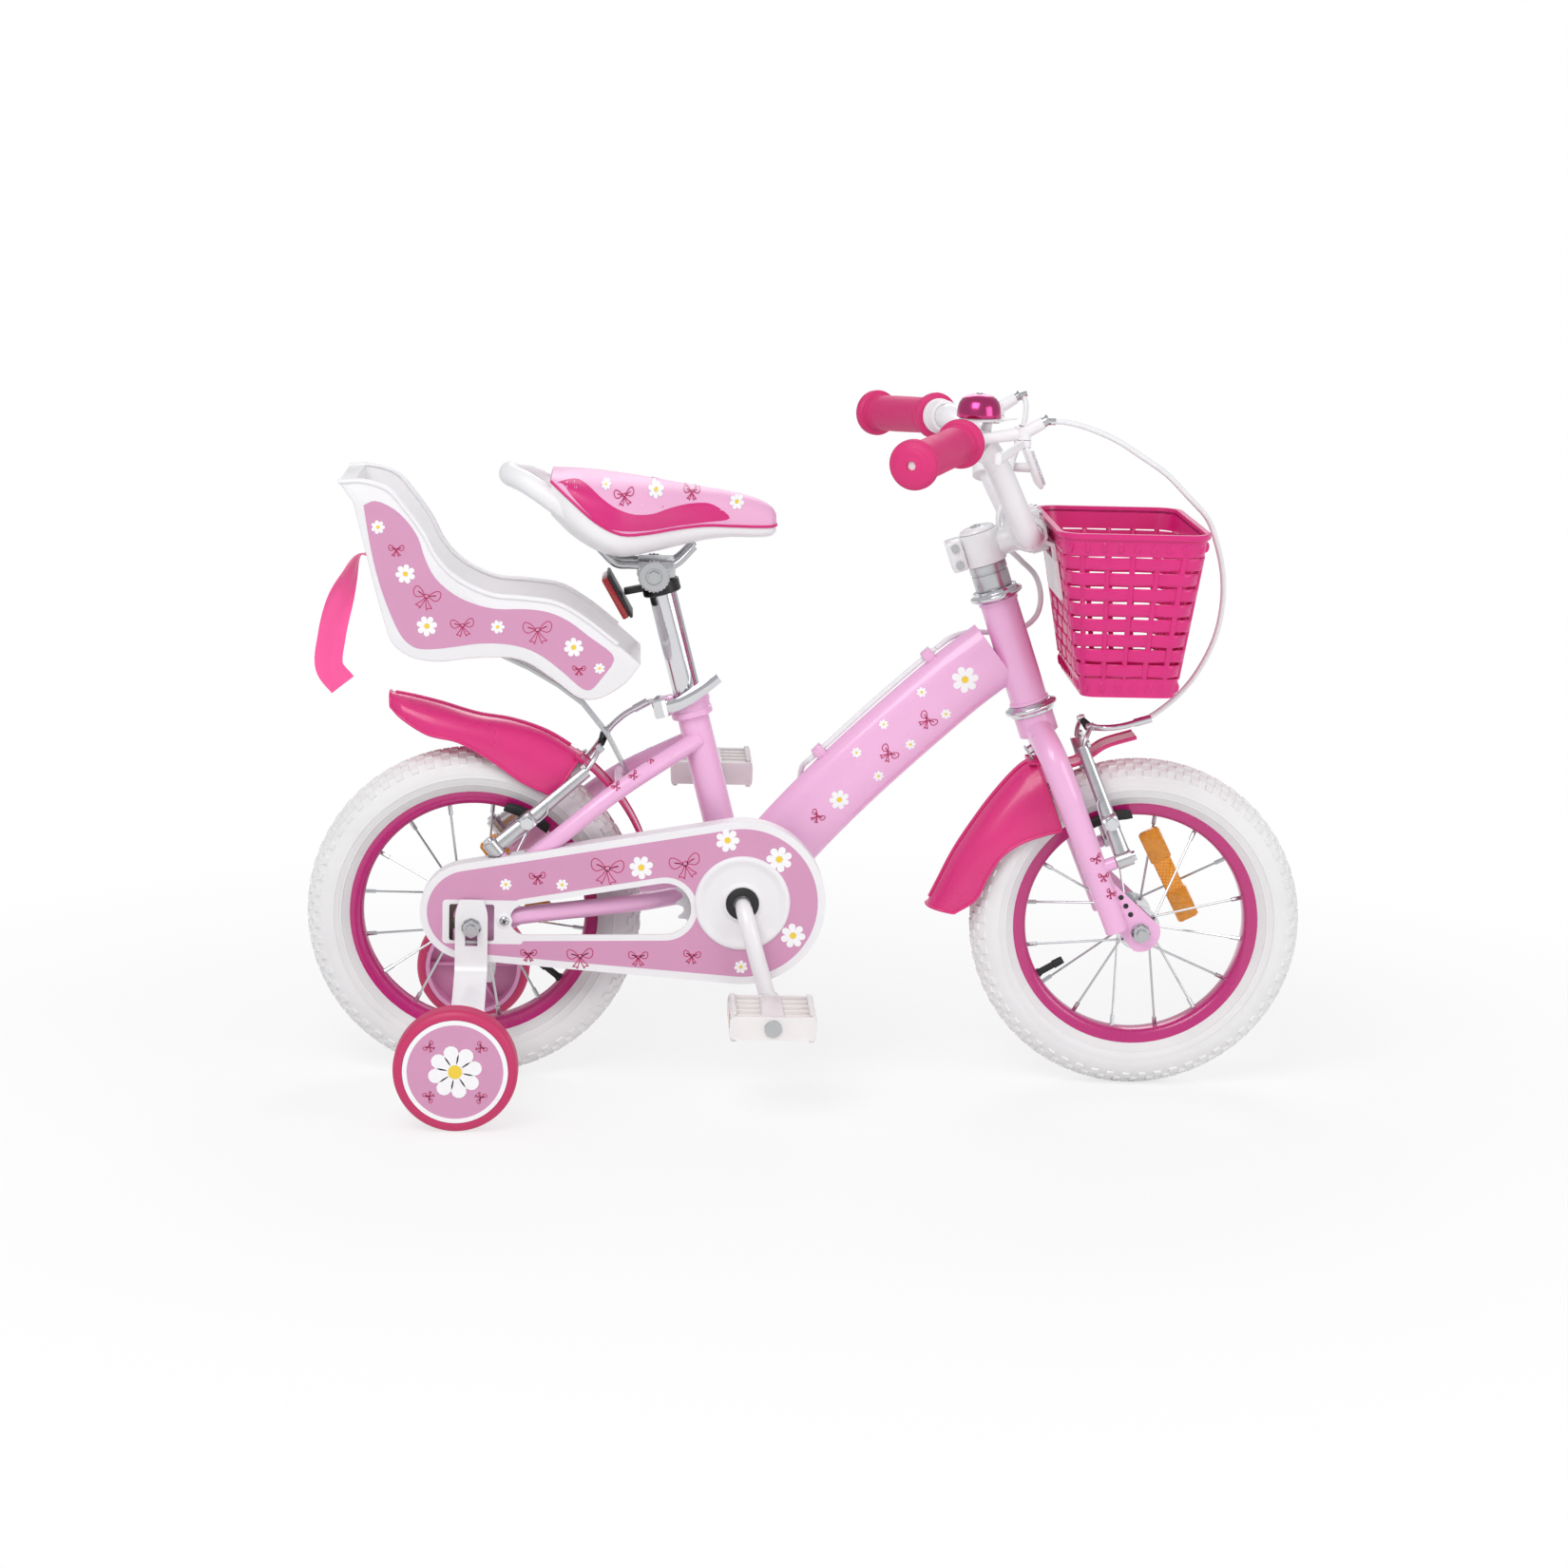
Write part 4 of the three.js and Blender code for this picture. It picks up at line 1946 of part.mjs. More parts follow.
const trainerStrip = trainerBracket();
const trainerRing = trainerTyre();
const trainerPlate = trainerDisc();
addPiece("trainer_bracket_left", trainerStrip, "white");
addPiece("trainer_bracket_right", mirrored(trainerStrip), "white");
addPiece("trainer_tyre_left", trainerRing, "hotPink");
addPiece("trainer_tyre_right", mirrored(trainerRing), "hotPink");
addPiece("trainer_disc_left", trainerPlate, "white");
addPiece("trainer_disc_right", mirrored(trainerPlate), "white");

addPiece("fork", fork(), "framePaint");
addPiece("stem", join(stemBody(), stemCap(), headsetSpacer()), "white");
addPiece("handlebar", handlebar(), "white");
addPiece("grip_left", grip(), "hotPink");
addPiece("grip_right", mirrored(grip()), "hotPink");
addPiece("lever_perch_left", leverPerch(), "white");
addPiece("lever_perch_right", mirrored(leverPerch()), "white");
addPiece("brake_lever_left", brakeLever(), "white");
addPiece("brake_lever_right", mirrored(brakeLever()), "white");
addPiece("bell_base", bellBase(), "white");
addPiece("bell_dome", bellDome(), "magenta");
addPiece("front_reflector", frontReflectorBracket(), "clear");
addPiece("basket", basketSolid(), "hotPink");
addPiece("basket_bracket", basketBracket(), "white");
addPiece("front_fender", frontFenderSolid(), "hotPink");
addPiece("front_axle", axleSet(frontAxle, frontHubWidth, frontHubWidth / 2 + dropoutThickness + seatGap + washerThickness + nutThickness + axleStub), "steel");
addPiece("front_brake_cable", cable(frontCablePoints, 32), "white");
addPiece("rear_brake_cable_front", cable(rearCableFrontPoints, 24), "white");

const hubOffset = { front: 30, rear: 26 };
addPiece("front_tyre", tyre(frontAxle), "tyreWhite");
addPiece("rear_tyre", tyre(rearAxle), "tyreWhite");
addPiece("front_rim", rim(frontAxle), "magenta");
addPiece("rear_rim", rim(rearAxle), "magenta");
addPiece("front_hub_spokes", hubAndSpokes(frontAxle, hubOffset.front), "steel");
addPiece("rear_hub_spokes", hubAndSpokes(rearAxle, hubOffset.rear), "steel");
addPiece("front_wheel_reflector", wheelReflector(frontAxle, hubOffset.front, 30, 44, -63), "amber");
addPiece("rear_wheel_reflector", wheelReflector(rearAxle, hubOffset.rear, 39, 30, -52), "amber");
addPiece("rear_sprocket", rearSprocket(), "steel");
addPiece("crank", crank(), "white");
addPiece("chainring", chainring(), "white");
addPiece("pedal_right", pedalBody(-1), "white");
addPiece("pedal_left", pedalBody(1), "white");

addPiece("front_brake_arm_left", frontArm(), "steel");
addPiece("front_brake_arm_right", mirrored(frontArm()), "steel");
addPiece("rear_brake_arm_left", rearArm(), "steel");
addPiece("rear_brake_arm_right", mirrored(rearArm()), "steel");

addPiece("seatpost", seatpost(), "steel");
addPiece("saddle_base", saddleBase(), "white");
addPiece("saddle_pad", saddlePad(), "framePaint");
addPiece("rear_reflector", rearReflectorSolid(), "red");
addPiece("quick_release_lever", quickRelease(), "steel");

export default model;
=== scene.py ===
"""Dresses a small child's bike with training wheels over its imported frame.

Lengths are written in millimetres and turned to metres by MM. +X is forward,
+Y the bike's left and +Z up; the chain is on the right, at negative Y.
"""

from __future__ import annotations

import json
import logging
import math
from dataclasses import dataclass, field
from enum import Enum
from typing import Iterable, Iterator, Sequence

import bmesh
import bpy
from mathutils import Matrix, Vector
from mathutils.bvhtree import BVHTree

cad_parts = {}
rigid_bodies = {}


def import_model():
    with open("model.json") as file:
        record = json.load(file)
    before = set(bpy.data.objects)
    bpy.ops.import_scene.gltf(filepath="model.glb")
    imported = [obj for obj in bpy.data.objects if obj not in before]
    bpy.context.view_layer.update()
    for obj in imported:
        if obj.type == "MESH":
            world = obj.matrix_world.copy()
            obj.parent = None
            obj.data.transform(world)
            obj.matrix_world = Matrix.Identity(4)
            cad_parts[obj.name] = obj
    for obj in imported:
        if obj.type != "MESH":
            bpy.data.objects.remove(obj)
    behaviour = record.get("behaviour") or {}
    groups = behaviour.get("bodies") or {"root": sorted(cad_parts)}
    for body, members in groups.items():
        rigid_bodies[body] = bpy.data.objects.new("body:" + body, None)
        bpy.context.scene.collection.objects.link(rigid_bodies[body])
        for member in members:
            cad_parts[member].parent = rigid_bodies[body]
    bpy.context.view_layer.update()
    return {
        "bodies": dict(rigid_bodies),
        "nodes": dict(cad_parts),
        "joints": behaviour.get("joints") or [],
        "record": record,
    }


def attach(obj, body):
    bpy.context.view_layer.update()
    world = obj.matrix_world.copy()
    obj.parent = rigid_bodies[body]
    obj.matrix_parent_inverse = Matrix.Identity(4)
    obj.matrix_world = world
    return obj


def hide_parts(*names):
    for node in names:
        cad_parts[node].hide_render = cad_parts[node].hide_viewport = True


Tree, Node, Socket = bpy.types.NodeTree, bpy.types.Node, bpy.types.NodeSocket
LOG = logging.getLogger("kids_bike")
MM = 0.001
FULL_TURN = math.tau
SIDEWAYS = Vector((0, 1, 0))
UPWARDS = Vector((0, 0, 1))
FORWARDS = Vector((1, 0, 0))


class Body(Enum):
    """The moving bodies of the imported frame."""

    FRAME = "frame"
    FRONT_END = "front_end"
    FRONT_WHEEL = "front_wheel"
    REAR_WHEEL = "rear_wheel"
    FREEWHEEL = "rear_freewheel"
    CRANK_SET = "crank_set"
    PEDAL_RIGHT = "pedal_right"
    PEDAL_LEFT = "pedal_left"
    TRAINER_LEFT = "trainer_wheel_left"
    TRAINER_RIGHT = "trainer_wheel_right"
    LEVER_LEFT = "brake_lever_left"
    LEVER_RIGHT = "brake_lever_right"
    FRONT_ARM_LEFT = "front_brake_arm_left"
    FRONT_ARM_RIGHT = "front_brake_arm_right"
    REAR_ARM_LEFT = "rear_brake_arm_left"
    REAR_ARM_RIGHT = "rear_brake_arm_right"
    SADDLE = "saddle"
    QUICK_RELEASE = "quick_release"


class Side(Enum):
    """The two sides of the bike, as signs of Y."""

    RIGHT = -1
    LEFT = 1

    @property
    def label(self) -> str:
        """Returns the side's name as the pieces spell it."""
        return self.name.lower()

    def pick(self, right, left):
        """Returns the first of two things on the right side and the second on the left."""
        return left if self is Side.LEFT else right


def mm(x: float, y: float, z: float) -> Vector:
    """Returns a place given in millimetres as one in metres."""
    return Vector((x, y, z)) * MM


def mirrored(point: Vector) -> Vector:
    """Returns the same place on the bike's other side."""
    return Vector((point.x, -point.y, point.z))


def heading(angle: float) -> Vector:
    """Returns the direction at an angle in the side view, from ahead towards up."""
    return Vector((math.cos(angle), 0, math.sin(angle)))


def upright(along: Vector) -> Vector:
    """Returns the side view's direction a quarter turn on from another one."""
    return Vector((-along.z, 0, along.x))


def neighbours(line: Sequence) -> Iterator[tuple]:
    """Gives each place of a line with the place before it and the one after it."""
    for i, place in enumerate(line):
        yield place, line[max(i - 1, 0)], line[min(i + 1, len(line) - 1)]


def linear(hex_code: str) -> tuple[float, float, float, float]:
    """Turns six hex digits of sRGB into linear red, green and blue with an alpha of 1."""
    parts = [int(hex_code[i : i + 2], 16) / 255 for i in (0, 2, 4)]
    red, green, blue = (p / 12.92 if p <= 0.04045 else ((p + 0.055) / 1.055) ** 2.4 for p in parts)
    return (red, green, blue, 1.0)


def add_node(tree: Tree, kind: str, inputs: dict | None = None, **settings) -> Node:
    """Adds one shader node with its settings and links.

    Args:
        tree: the material's or world's node tree.
        kind: the node's type name.
        inputs: socket name or number to a value, or to the output socket that feeds it.
        **settings: attributes of the node.

    Returns:
        The new node.
    """
    made = tree.nodes.new(kind)
    for name, value in settings.items():
        setattr(made, name, value)
    for socket, value in (inputs or {}).items():
        if isinstance(value, Socket):
            tree.links.new(value, made.inputs[socket])
        else:
            made.inputs[socket].default_value = value
    return made


def calc(tree: Tree, operation: str, *values) -> Socket:
    """Adds a Math node over numbers or sockets and returns its result."""
    made = add_node(tree, "ShaderNodeMath", dict(enumerate(values)), operation=operation)
    return made.outputs[0]


def remap(tree: Tree, value: Socket, low: tuple, high: tuple) -> Socket:
    """Adds a Map Range node.

    Args:
        tree: the node tree.
        value: the socket that feeds it.
        low: the least value that comes in, and what it is turned to.
        high: the same for the greatest.

    Returns:
        The result.
    """
    inputs = {
        "Value": value, "From Min": low[0], "From Max": high[0], "To Min": low[1], "To Max": high[1]
    }
    return add_node(tree, "ShaderNodeMapRange", inputs).outputs[0]


# Finishes


@dataclass(frozen=True)
class Finish:
    """A material: what it is made of, and how its surface was made.

    Grain is the fine relief, in millimetres from crest to crest.
    Tone is how much the colour wanders.
    """

    title: str
    slot: str
    colour: str
    roughness: float = 0.4
    metallic: float = 0.0
    ior: float = 1.5
    coat: float = 0.0
    grain: float = 0.6
    relief: float = 0.02
    tone: float = 0.03
    tone_size: float = 40.0
    sheen: float = 0.0
    glow_in: float = 0.0

    def material(self) -> bpy.types.Material:
        """Returns the material, made once and then shared."""
        found = bpy.data.materials.get(self.title)
        if found:
            return found
        made = bpy.data.materials.new(self.title)
        made.use_nodes = True
        tree = made.node_tree
        shader = tree.nodes["Principled BSDF"]
        values = {
            "Base Color": linear(self.colour),
            "Roughness": self.roughness,
            "Metallic": self.metallic,
            "Coat Weight": self.coat,
            "Coat Roughness": 0.04,
            "Sheen Weight": self.sheen,
            "Subsurface Weight": self.glow_in,
            "Subsurface Scale": 0.004,
            "Subsurface Radius": (1.0, 1.0, 1.0),
        }
        if not self.metallic:
            values["IOR"] = self.ior
        for socket, value in values.items():
            shader.inputs[socket].default_value = value
        self.dress(tree, shader, add_node(tree, "ShaderNodeTexCoord").outputs["Object"])
        return made

    def dress(self, tree: Tree, shader: Node, place: Socket) -> None:
        """Adds the tone and the relief.

        Args:
            tree: the material's node tree.
            shader: its Principled shader.
            place: Object coordinates.
        """
        self.toned(tree, shader, place)
        relief = add_node(
            tree,
            "ShaderNodeTexNoise",
            {"Vector": place, "Scale": 1 / (self.grain * MM), "Detail": 3.0, "Roughness": 0.6},
        )
        self.bumped(tree, shader, relief.outputs["Fac"])

    def toned(self, tree: Tree, shader: Node, place: Socket) -> None:
        """Lets the colour and the gloss wander a little over the surface.

        Args:
            tree: the material's node tree.
            shader: its Principled shader.
            place: Object coordinates.
        """
        wander = add_node(
            tree, "ShaderNodeTexNoise",
            {"Vector": place, "Scale": 1 / (self.tone_size * MM), "Detail": 4.0}
        )
        value = remap(tree, wander.outputs["Fac"], (0.3, 1 - self.tone), (0.7, 1 + self.tone))
        hue = add_node(
            tree, "ShaderNodeHueSaturation", {"Value": value, "Color": linear(self.colour)}
        )
        tree.links.new(hue.outputs["Color"], shader.inputs["Base Color"])
        dull, bright = self.roughness * 0.85, self.roughness * 1.15
        gloss = remap(tree, wander.outputs["Fac"], (0.3, dull), (0.7, bright))
        tree.links.new(gloss, shader.inputs["Roughness"])

    def bumped(self, tree: Tree, shader: Node, height: Socket) -> None:
        """Turns a height pattern into relief as deep as the finish says.

        Args:
            tree: the material's node tree.
            shader: its Principled shader.
            height: the pattern.
        """
        bump = add_node(
            tree, "ShaderNodeBump",
            {
                "Strength": min(1.0, self.relief * 10),
                "Distance": self.grain * MM * self.relief * 4, "Height": height
            }
        )
        tree.links.new(bump.outputs["Normal"], shader.inputs["Normal"])


@dataclass(frozen=True)
class DiamondRubber(Finish):
    """Soft rubber moulded with a net of small diamonds round a slanted axis."""

    axis: tuple[float, float, float] = (0.0, 1.0, 0.0)
    centre: tuple[float, float, float] = (0.0, 0.0, 0.0)
    radius: float = 16.5
    pitch: float = 3.4

    def dress(self, tree: Tree, shader: Node, place: Socket) -> None:
        """Adds two families of helical grooves that cross.

        Args:
            tree: the material's node tree.
            shader: its Principled shader.
            place: Object coordinates.
        """
        self.toned(tree, shader, place)
        turn = Vector(self.axis).to_track_quat("Z", "Y").to_euler()
        local = add_node(
            tree,
            "ShaderNodeMapping",
            {"Vector": place, "Location": Vector(self.centre) * MM, "Rotation": turn},
            vector_type="TEXTURE",
        )
        parts = add_node(tree, "ShaderNodeSeparateXYZ", {"Vector": local.outputs[0]})
        angle = calc(tree, "ARCTAN2", parts.outputs["Y"], parts.outputs["X"])
        count = round(FULL_TURN * self.radius / self.pitch)
        along = calc(tree, "MULTIPLY", parts.outputs["Z"], FULL_TURN / (self.pitch * MM))
        waves = []
        for sign in (1, -1):
            phase = calc(tree, "MULTIPLY_ADD", angle, float(sign * count), along)
            waves.append(calc(tree, "SINE", phase))
        self.bumped(tree, shader, calc(tree, "MAXIMUM", *waves))


@dataclass(frozen=True)
class PrismLens(Finish):
    """Clear or coloured acrylic whose back is moulded into small prisms that throw light back."""

    pitch: float = 3.0

    def dress(self, tree: Tree, shader: Node, place: Socket) -> None:
        """Adds the prisms as cells with sharp relief, and a painted reflection in each cell:
        lighter in its middle, darker at its edges.

        Args:
            tree: the material's node tree.
            shader: its Principled shader.
            place: Object coordinates.
        """
        cells = add_node(
            tree, "ShaderNodeTexVoronoi",
            {"Vector": place, "Scale": 1 / (self.pitch * MM), "Randomness": 0.15},
            distance="CHEBYCHEV"
        )
        # Painted reflection: each cell's colour is lighter in its middle and darker at its edges.
        value = remap(tree, cells.outputs["Distance"], (0.0, 1.25), (0.6, 0.6))
        hue = add_node(
            tree, "ShaderNodeHueSaturation", {"Value": value, "Color": linear(self.colour)}
        )
        tree.links.new(hue.outputs["Color"], shader.inputs["Base Color"])
        self.bumped(tree, shader, cells.outputs["Distance"])


@dataclass(frozen=True)
class BrushedMetal(Finish):
    """Metal with fine lines left by the tool, drawn along one axis."""

    stretch: tuple[float, float, float] = (1.0, 1.0, 12.0)

    def dress(self, tree: Tree, shader: Node, place: Socket) -> None:
        """Adds lines that run across the stretch.

        Args:
            tree: the material's node tree.
            shader: its Principled shader.
            place: Object coordinates.
        """
        self.toned(tree, shader, place)
        drawn = add_node(tree, "ShaderNodeMapping", {"Vector": place, "Scale": self.stretch})
        lines = add_node(
            tree, "ShaderNodeTexNoise",
            {"Vector": drawn.outputs[0], "Scale": 1 / (self.grain * MM), "Detail": 4.0}
        )
        self.bumped(tree, shader, lines.outputs["Fac"])


# Baked gloss enamel over steel: clear reflections over a slight orange peel of about 2 mm.
FRAME_PAINT = Finish(
    "baked enamel, light pink", "frame_paint", "F3B7DF", 0.3, coat=0.6, grain=2.2, relief=0.006,
    tone=0.015
)
WHITE_PAINT = Finish(
    "baked enamel, white", "white_paint", "F1EFF0", 0.32, coat=0.5, grain=2.2, relief=0.006,
    tone=0.015
)
# Steel rim, enamelled: a deeper pink with a wet look.
RIM_PAINT = Finish(
    "baked enamel, magenta", "magenta_metal", "BE1F74", 0.28, coat=0.7, grain=2.0, relief=0.006,
    tone=0.02
)
# Injection-moulded polypropylene: even colour, soft highlights, a trace of mould grain.
FENDER_PLASTIC = Finish(
    "moulded polypropylene, hot pink", "pink_plastic", "DD2E7C", 0.3, ior=1.49, coat=0.2, grain=0.9,
    relief=0.01
)
BASKET_PLASTIC = Finish(
    "moulded polypropylene, deep pink", "pink_plastic", "DC1F7C", 0.33, ior=1.49, coat=0.1,
    grain=0.8, relief=0.015, glow_in=0.08
)
WHITE_PLASTIC = Finish(
    "moulded polypropylene, white", "white_plastic", "F2F0F1", 0.38, ior=1.49, grain=0.7,
    relief=0.015, tone=0.012
)
# Natural polypropylene: milky, lets a little light in.
DISC_PLASTIC = Finish(
    "moulded polypropylene, light pink", "disc_plastic", "EFAAD3", 0.34, ior=1.49, coat=0.15,
    grain=0.9, relief=0.01
)
MILKY_PLASTIC = Finish(
    "natural polypropylene, milky", "milky_plastic", "F1ECEA", 0.35, ior=1.49, grain=0.9,
    relief=0.02, glow_in=0.35
)
# Printed vinyl film on plastic: flat colour under a satin laminate.
PANEL_FILM = Finish(
    "printed vinyl film, dusty pink", "dusty_plastic", "D697BA", 0.42, coat=0.25, grain=1.6,
    relief=0.008, tone=0.012
)
INK = {"coat": 0.2, "grain": 1.5, "relief": 0.008}
PRINT_WHITE = Finish("printed ink, white", "white_plastic", "FBFAFA", 0.4, tone=0.01, **INK)
PRINT_YELLOW = Finish("printed ink, yellow", "amber_lens", "F6D33C", 0.4, tone=0.02, **INK)
PRINT_ROSE = Finish("printed ink, dark rose", "magenta_metal", "C2336B", 0.4, tone=0.02, **INK)
# White tyre compound: matt, slightly warm, with a dry skin.
TYRE_RUBBER = Finish(
    "tyre rubber, white", "white_rubber", "ECEBEA", 0.72, ior=1.52, grain=0.8, relief=0.05,
    tone=0.02, sheen=0.1
)
TRAINER_RUBBER = Finish(
    "soft polyvinyl, raspberry", "trainer_rubber", "CB3066", 0.45, ior=1.52, grain=0.8, relief=0.02,
    tone=0.02
)
BLACK_RUBBER = Finish(
    "brake rubber, black", "black_plastic", "1B1B1C", 0.62, ior=1.52, grain=0.5, relief=0.04,
    tone=0.06
)
# Black nylon of the rear reflector's bracket; the same black is painted shade in the fork ends'
# holes, the stem bolts' sockets and the guard screw's cross slot.
BLACK_NYLON_AND_SHADE = Finish(
    "moulded nylon, black", "black_plastic", "17171A", 0.4, ior=1.53, grain=0.5, relief=0.03,
    tone=0.05
)
CABLE_SLEEVE = Finish(
    "extruded cable sleeve, white", "cable_plastic", "EEEDEE", 0.36, ior=1.5, grain=0.8,
    relief=0.01, tone=0.01
)
# Bright plating over polished steel: mirror gloss, a trace of polishing lines.
CHROME = BrushedMetal(
    "chromium plate on steel", "bright_steel", "D9D9DC", 0.1, 1.0, grain=0.5, relief=0.004,
    tone=0.03
)
ZINC = BrushedMetal(
    "bright zinc plate", "bright_steel", "C3C4C6", 0.28, 1.0, grain=0.5, relief=0.02, tone=0.06
)
# Cast and tumbled aluminium: soft grey gloss with a fine skin.
ALLOY = Finish(
    "tumbled aluminium", "arm_alloy", "CFCFD0", 0.3, 1.0, grain=0.5, relief=0.03, tone=0.05,
    tone_size=12
)
OILED_STEEL = Finish(
    "oiled chain steel", "dark_steel", "8A8378", 0.34, 1.0, grain=0.6, relief=0.03, tone=0.15,
    tone_size=6
)
# Anodised aluminium, dyed pink.
BELL_METAL = Finish(
    "anodised aluminium, pink", "magenta_metal", "C9467F", 0.2, 1.0, grain=0.8, relief=0.008,
    tone=0.04
)
AMBER = PrismLens(
    "reflector acrylic, amber", "amber_lens", "F59A0C", 0.14, ior=1.49, coat=0.6, relief=0.04,
    grain=2.0
)
CLEAR = PrismLens(
    "reflector acrylic, clear", "clear_lens", "D9DCE2", 0.12, ior=1.49, coat=0.6, relief=0.04,
    grain=2.0
)
RED = PrismLens(
    "reflector acrylic, red", "red_lens", "A80F1C", 0.14, ior=1.49, coat=0.6, relief=0.04, grain=2.0
)
# Woven satin: threads too fine to show, drawn as ribs of 0.8 mm.
SATIN = BrushedMetal(
    "satin ribbon, pink", "ribbon_cloth", "FF57A0", 0.38, 0.0, grain=0.8, relief=0.03, tone=0.03,
    sheen=0.5, stretch=(1.0, 1.0, 0.1)
)
# Vinyl skin over foam: soft highlights and a leather-like grain of about 1 mm.
SKIN_LIGHT = Finish(
    "saddle vinyl, light pink", "seat_cover", "F2B4D8", 0.42, ior=1.5, grain=1.3, relief=0.03,
    tone=0.015
)
SKIN_DEEP = Finish(
    "saddle vinyl, deep pink", "seat_cover", "D8287B", 0.38, ior=1.5, grain=1.3, relief=0.03,
    tone=0.02
)


# Paths and places


def flowing(points: Sequence[Vector], per_span: int = 8) -> list[Vector]:
    """Draws a smooth curve through places, tight at close ones and easy at wide ones.

    Args:
        points: places in metres.
        per_span: how many steps go between two of them.

    Returns:
        The places along the curve.
    """
    ends = [points[0] * 2 - points[1], *points, points[-1] * 2 - points[-2]]
    route: list[Vector] = []
    for before, start, end, after in zip(ends, ends[1:], ends[2:], ends[3:]):
        gap = [
            max((b - a).length, 1e-7) ** 0.5 for a,
            b in ((before, start), (start, end), (end, after))
        ]
        leave = (start - before) / gap[0] - (end - before) / (
            gap[0] + gap[1]
        ) + (end - start) / gap[1]
        arrive = (end - start) / gap[1] - (after - start) / (
            gap[1] + gap[2]
        ) + (after - end) / gap[2]
        for step in range(per_span):
            t = step / per_span
            weights = (
                2 * t**3 - 3 * t**2 + 1, t**3 - 2 * t**2 + t, 3 * t**2 - 2 * t**3, t**3 - t**2
            )
            route.append(
                start * weights[0]
                + leave * gap[1] * weights[1] + end * weights[2] + arrive * gap[1] * weights[3]
            )
    route.append(points[-1].copy())
    return route


def flowing_outline(
    points: Sequence[tuple[float, float]], per_span: int = 6
) -> list[tuple[float, float]]:
    """Rounds an open or closed list of [x, z] pairs in millimetres and returns the rounded list."""
    return [(p.x / MM, p.z / MM) for p in flowing([mm(x, 0, z) for x, z in points], per_span)]


HEAD_ANGLE = math.radians(19.08)
SEAT_ANGLE = math.radians(14.9)
CRANK_ANGLE = math.radians(16.5)
HEAD_TUBE_LENGTH = 98.8
BAR_HEIGHT, BAR_AHEAD = 149.5, 42.6


def evenly(line: Sequence[Vector], count: int) -> list[Vector]:
    """Spaces places evenly round a closed line.

    Args:
        line: the line's places, in metres; its last one is its first again.
        count: how many places are wanted.

    Returns:
        The places, from the line's first one on.
    """
    lengths = [0.0]
    for a, b in zip(line, line[1:]):
        lengths.append(lengths[-1] + (b - a).length)
    places, span = [], 0
    for i in range(count):
        wanted = lengths[-1] * i / count
        while lengths[span + 1] < wanted:
            span += 1
        share = (wanted - lengths[span]) / max(lengths[span + 1] - lengths[span], 1e-9)
        places.append(line[span].lerp(line[span + 1], share))
    return places


def steering_place(up: float, forward: float, left: float = 0.0) -> Vector:
    """Returns a place along the steering axis, measured from the head tube's foot."""
    axis = Vector((-math.sin(HEAD_ANGLE), 0, math.cos(HEAD_ANGLE)))
    ahead = heading(HEAD_ANGLE)
    return mm(197.7, left, 352.4) + axis * up * MM + ahead * forward * MM


STEER_UP = (steering_place(1, 0) - steering_place(0, 0)).normalized()
STEER_AHEAD = (steering_place(0, 1) - steering_place(0, 0)).normalized()
TRAINER_AXLE = mm(-308.5, 0, 54)
SEAT_UP = Vector((-math.sin(SEAT_ANGLE), 0, math.cos(SEAT_ANGLE)))
SEAT_FOOT = mm(-64.5, 0, 176)
SEAT_TUBE_LENGTH = (334 - 176) / SEAT_UP.z
FRONT_AXLE = mm(301, 0, 151)
REAR_AXLE = mm(-301, 0, 151)
CRANK_AXLE = mm(-60, 0, 176)
CRANK_DOWN = Vector((math.sin(CRANK_ANGLE), 0, -math.cos(CRANK_ANGLE)))
# The left seat stay's foot and bend, the left fork leg's, and where the brake arms stand on them.
STAY_FOOT, STAY_BEND = mm(-288, 53, 178), mm(-222, 53, 233)
STAY_UP = (STAY_BEND - STAY_FOOT).normalized()
STAY_BOSS = STAY_FOOT.lerp(STAY_BEND, 0.36)
FORK_FOOT, FORK_BEND = mm(279.5, 50, 152.5), mm(230, 48, 276)
FORK_BOSS = FORK_FOOT.lerp(FORK_BEND, 0.45)


def seat_place(up: float, forward: float = 0.0, left: float = 0.0) -> Vector:
    """Returns a place measured up the seat tube from its foot, in millimetres."""
    return SEAT_FOOT + SEAT_UP * up * MM + mm(forward, left, 0)


# Shapes


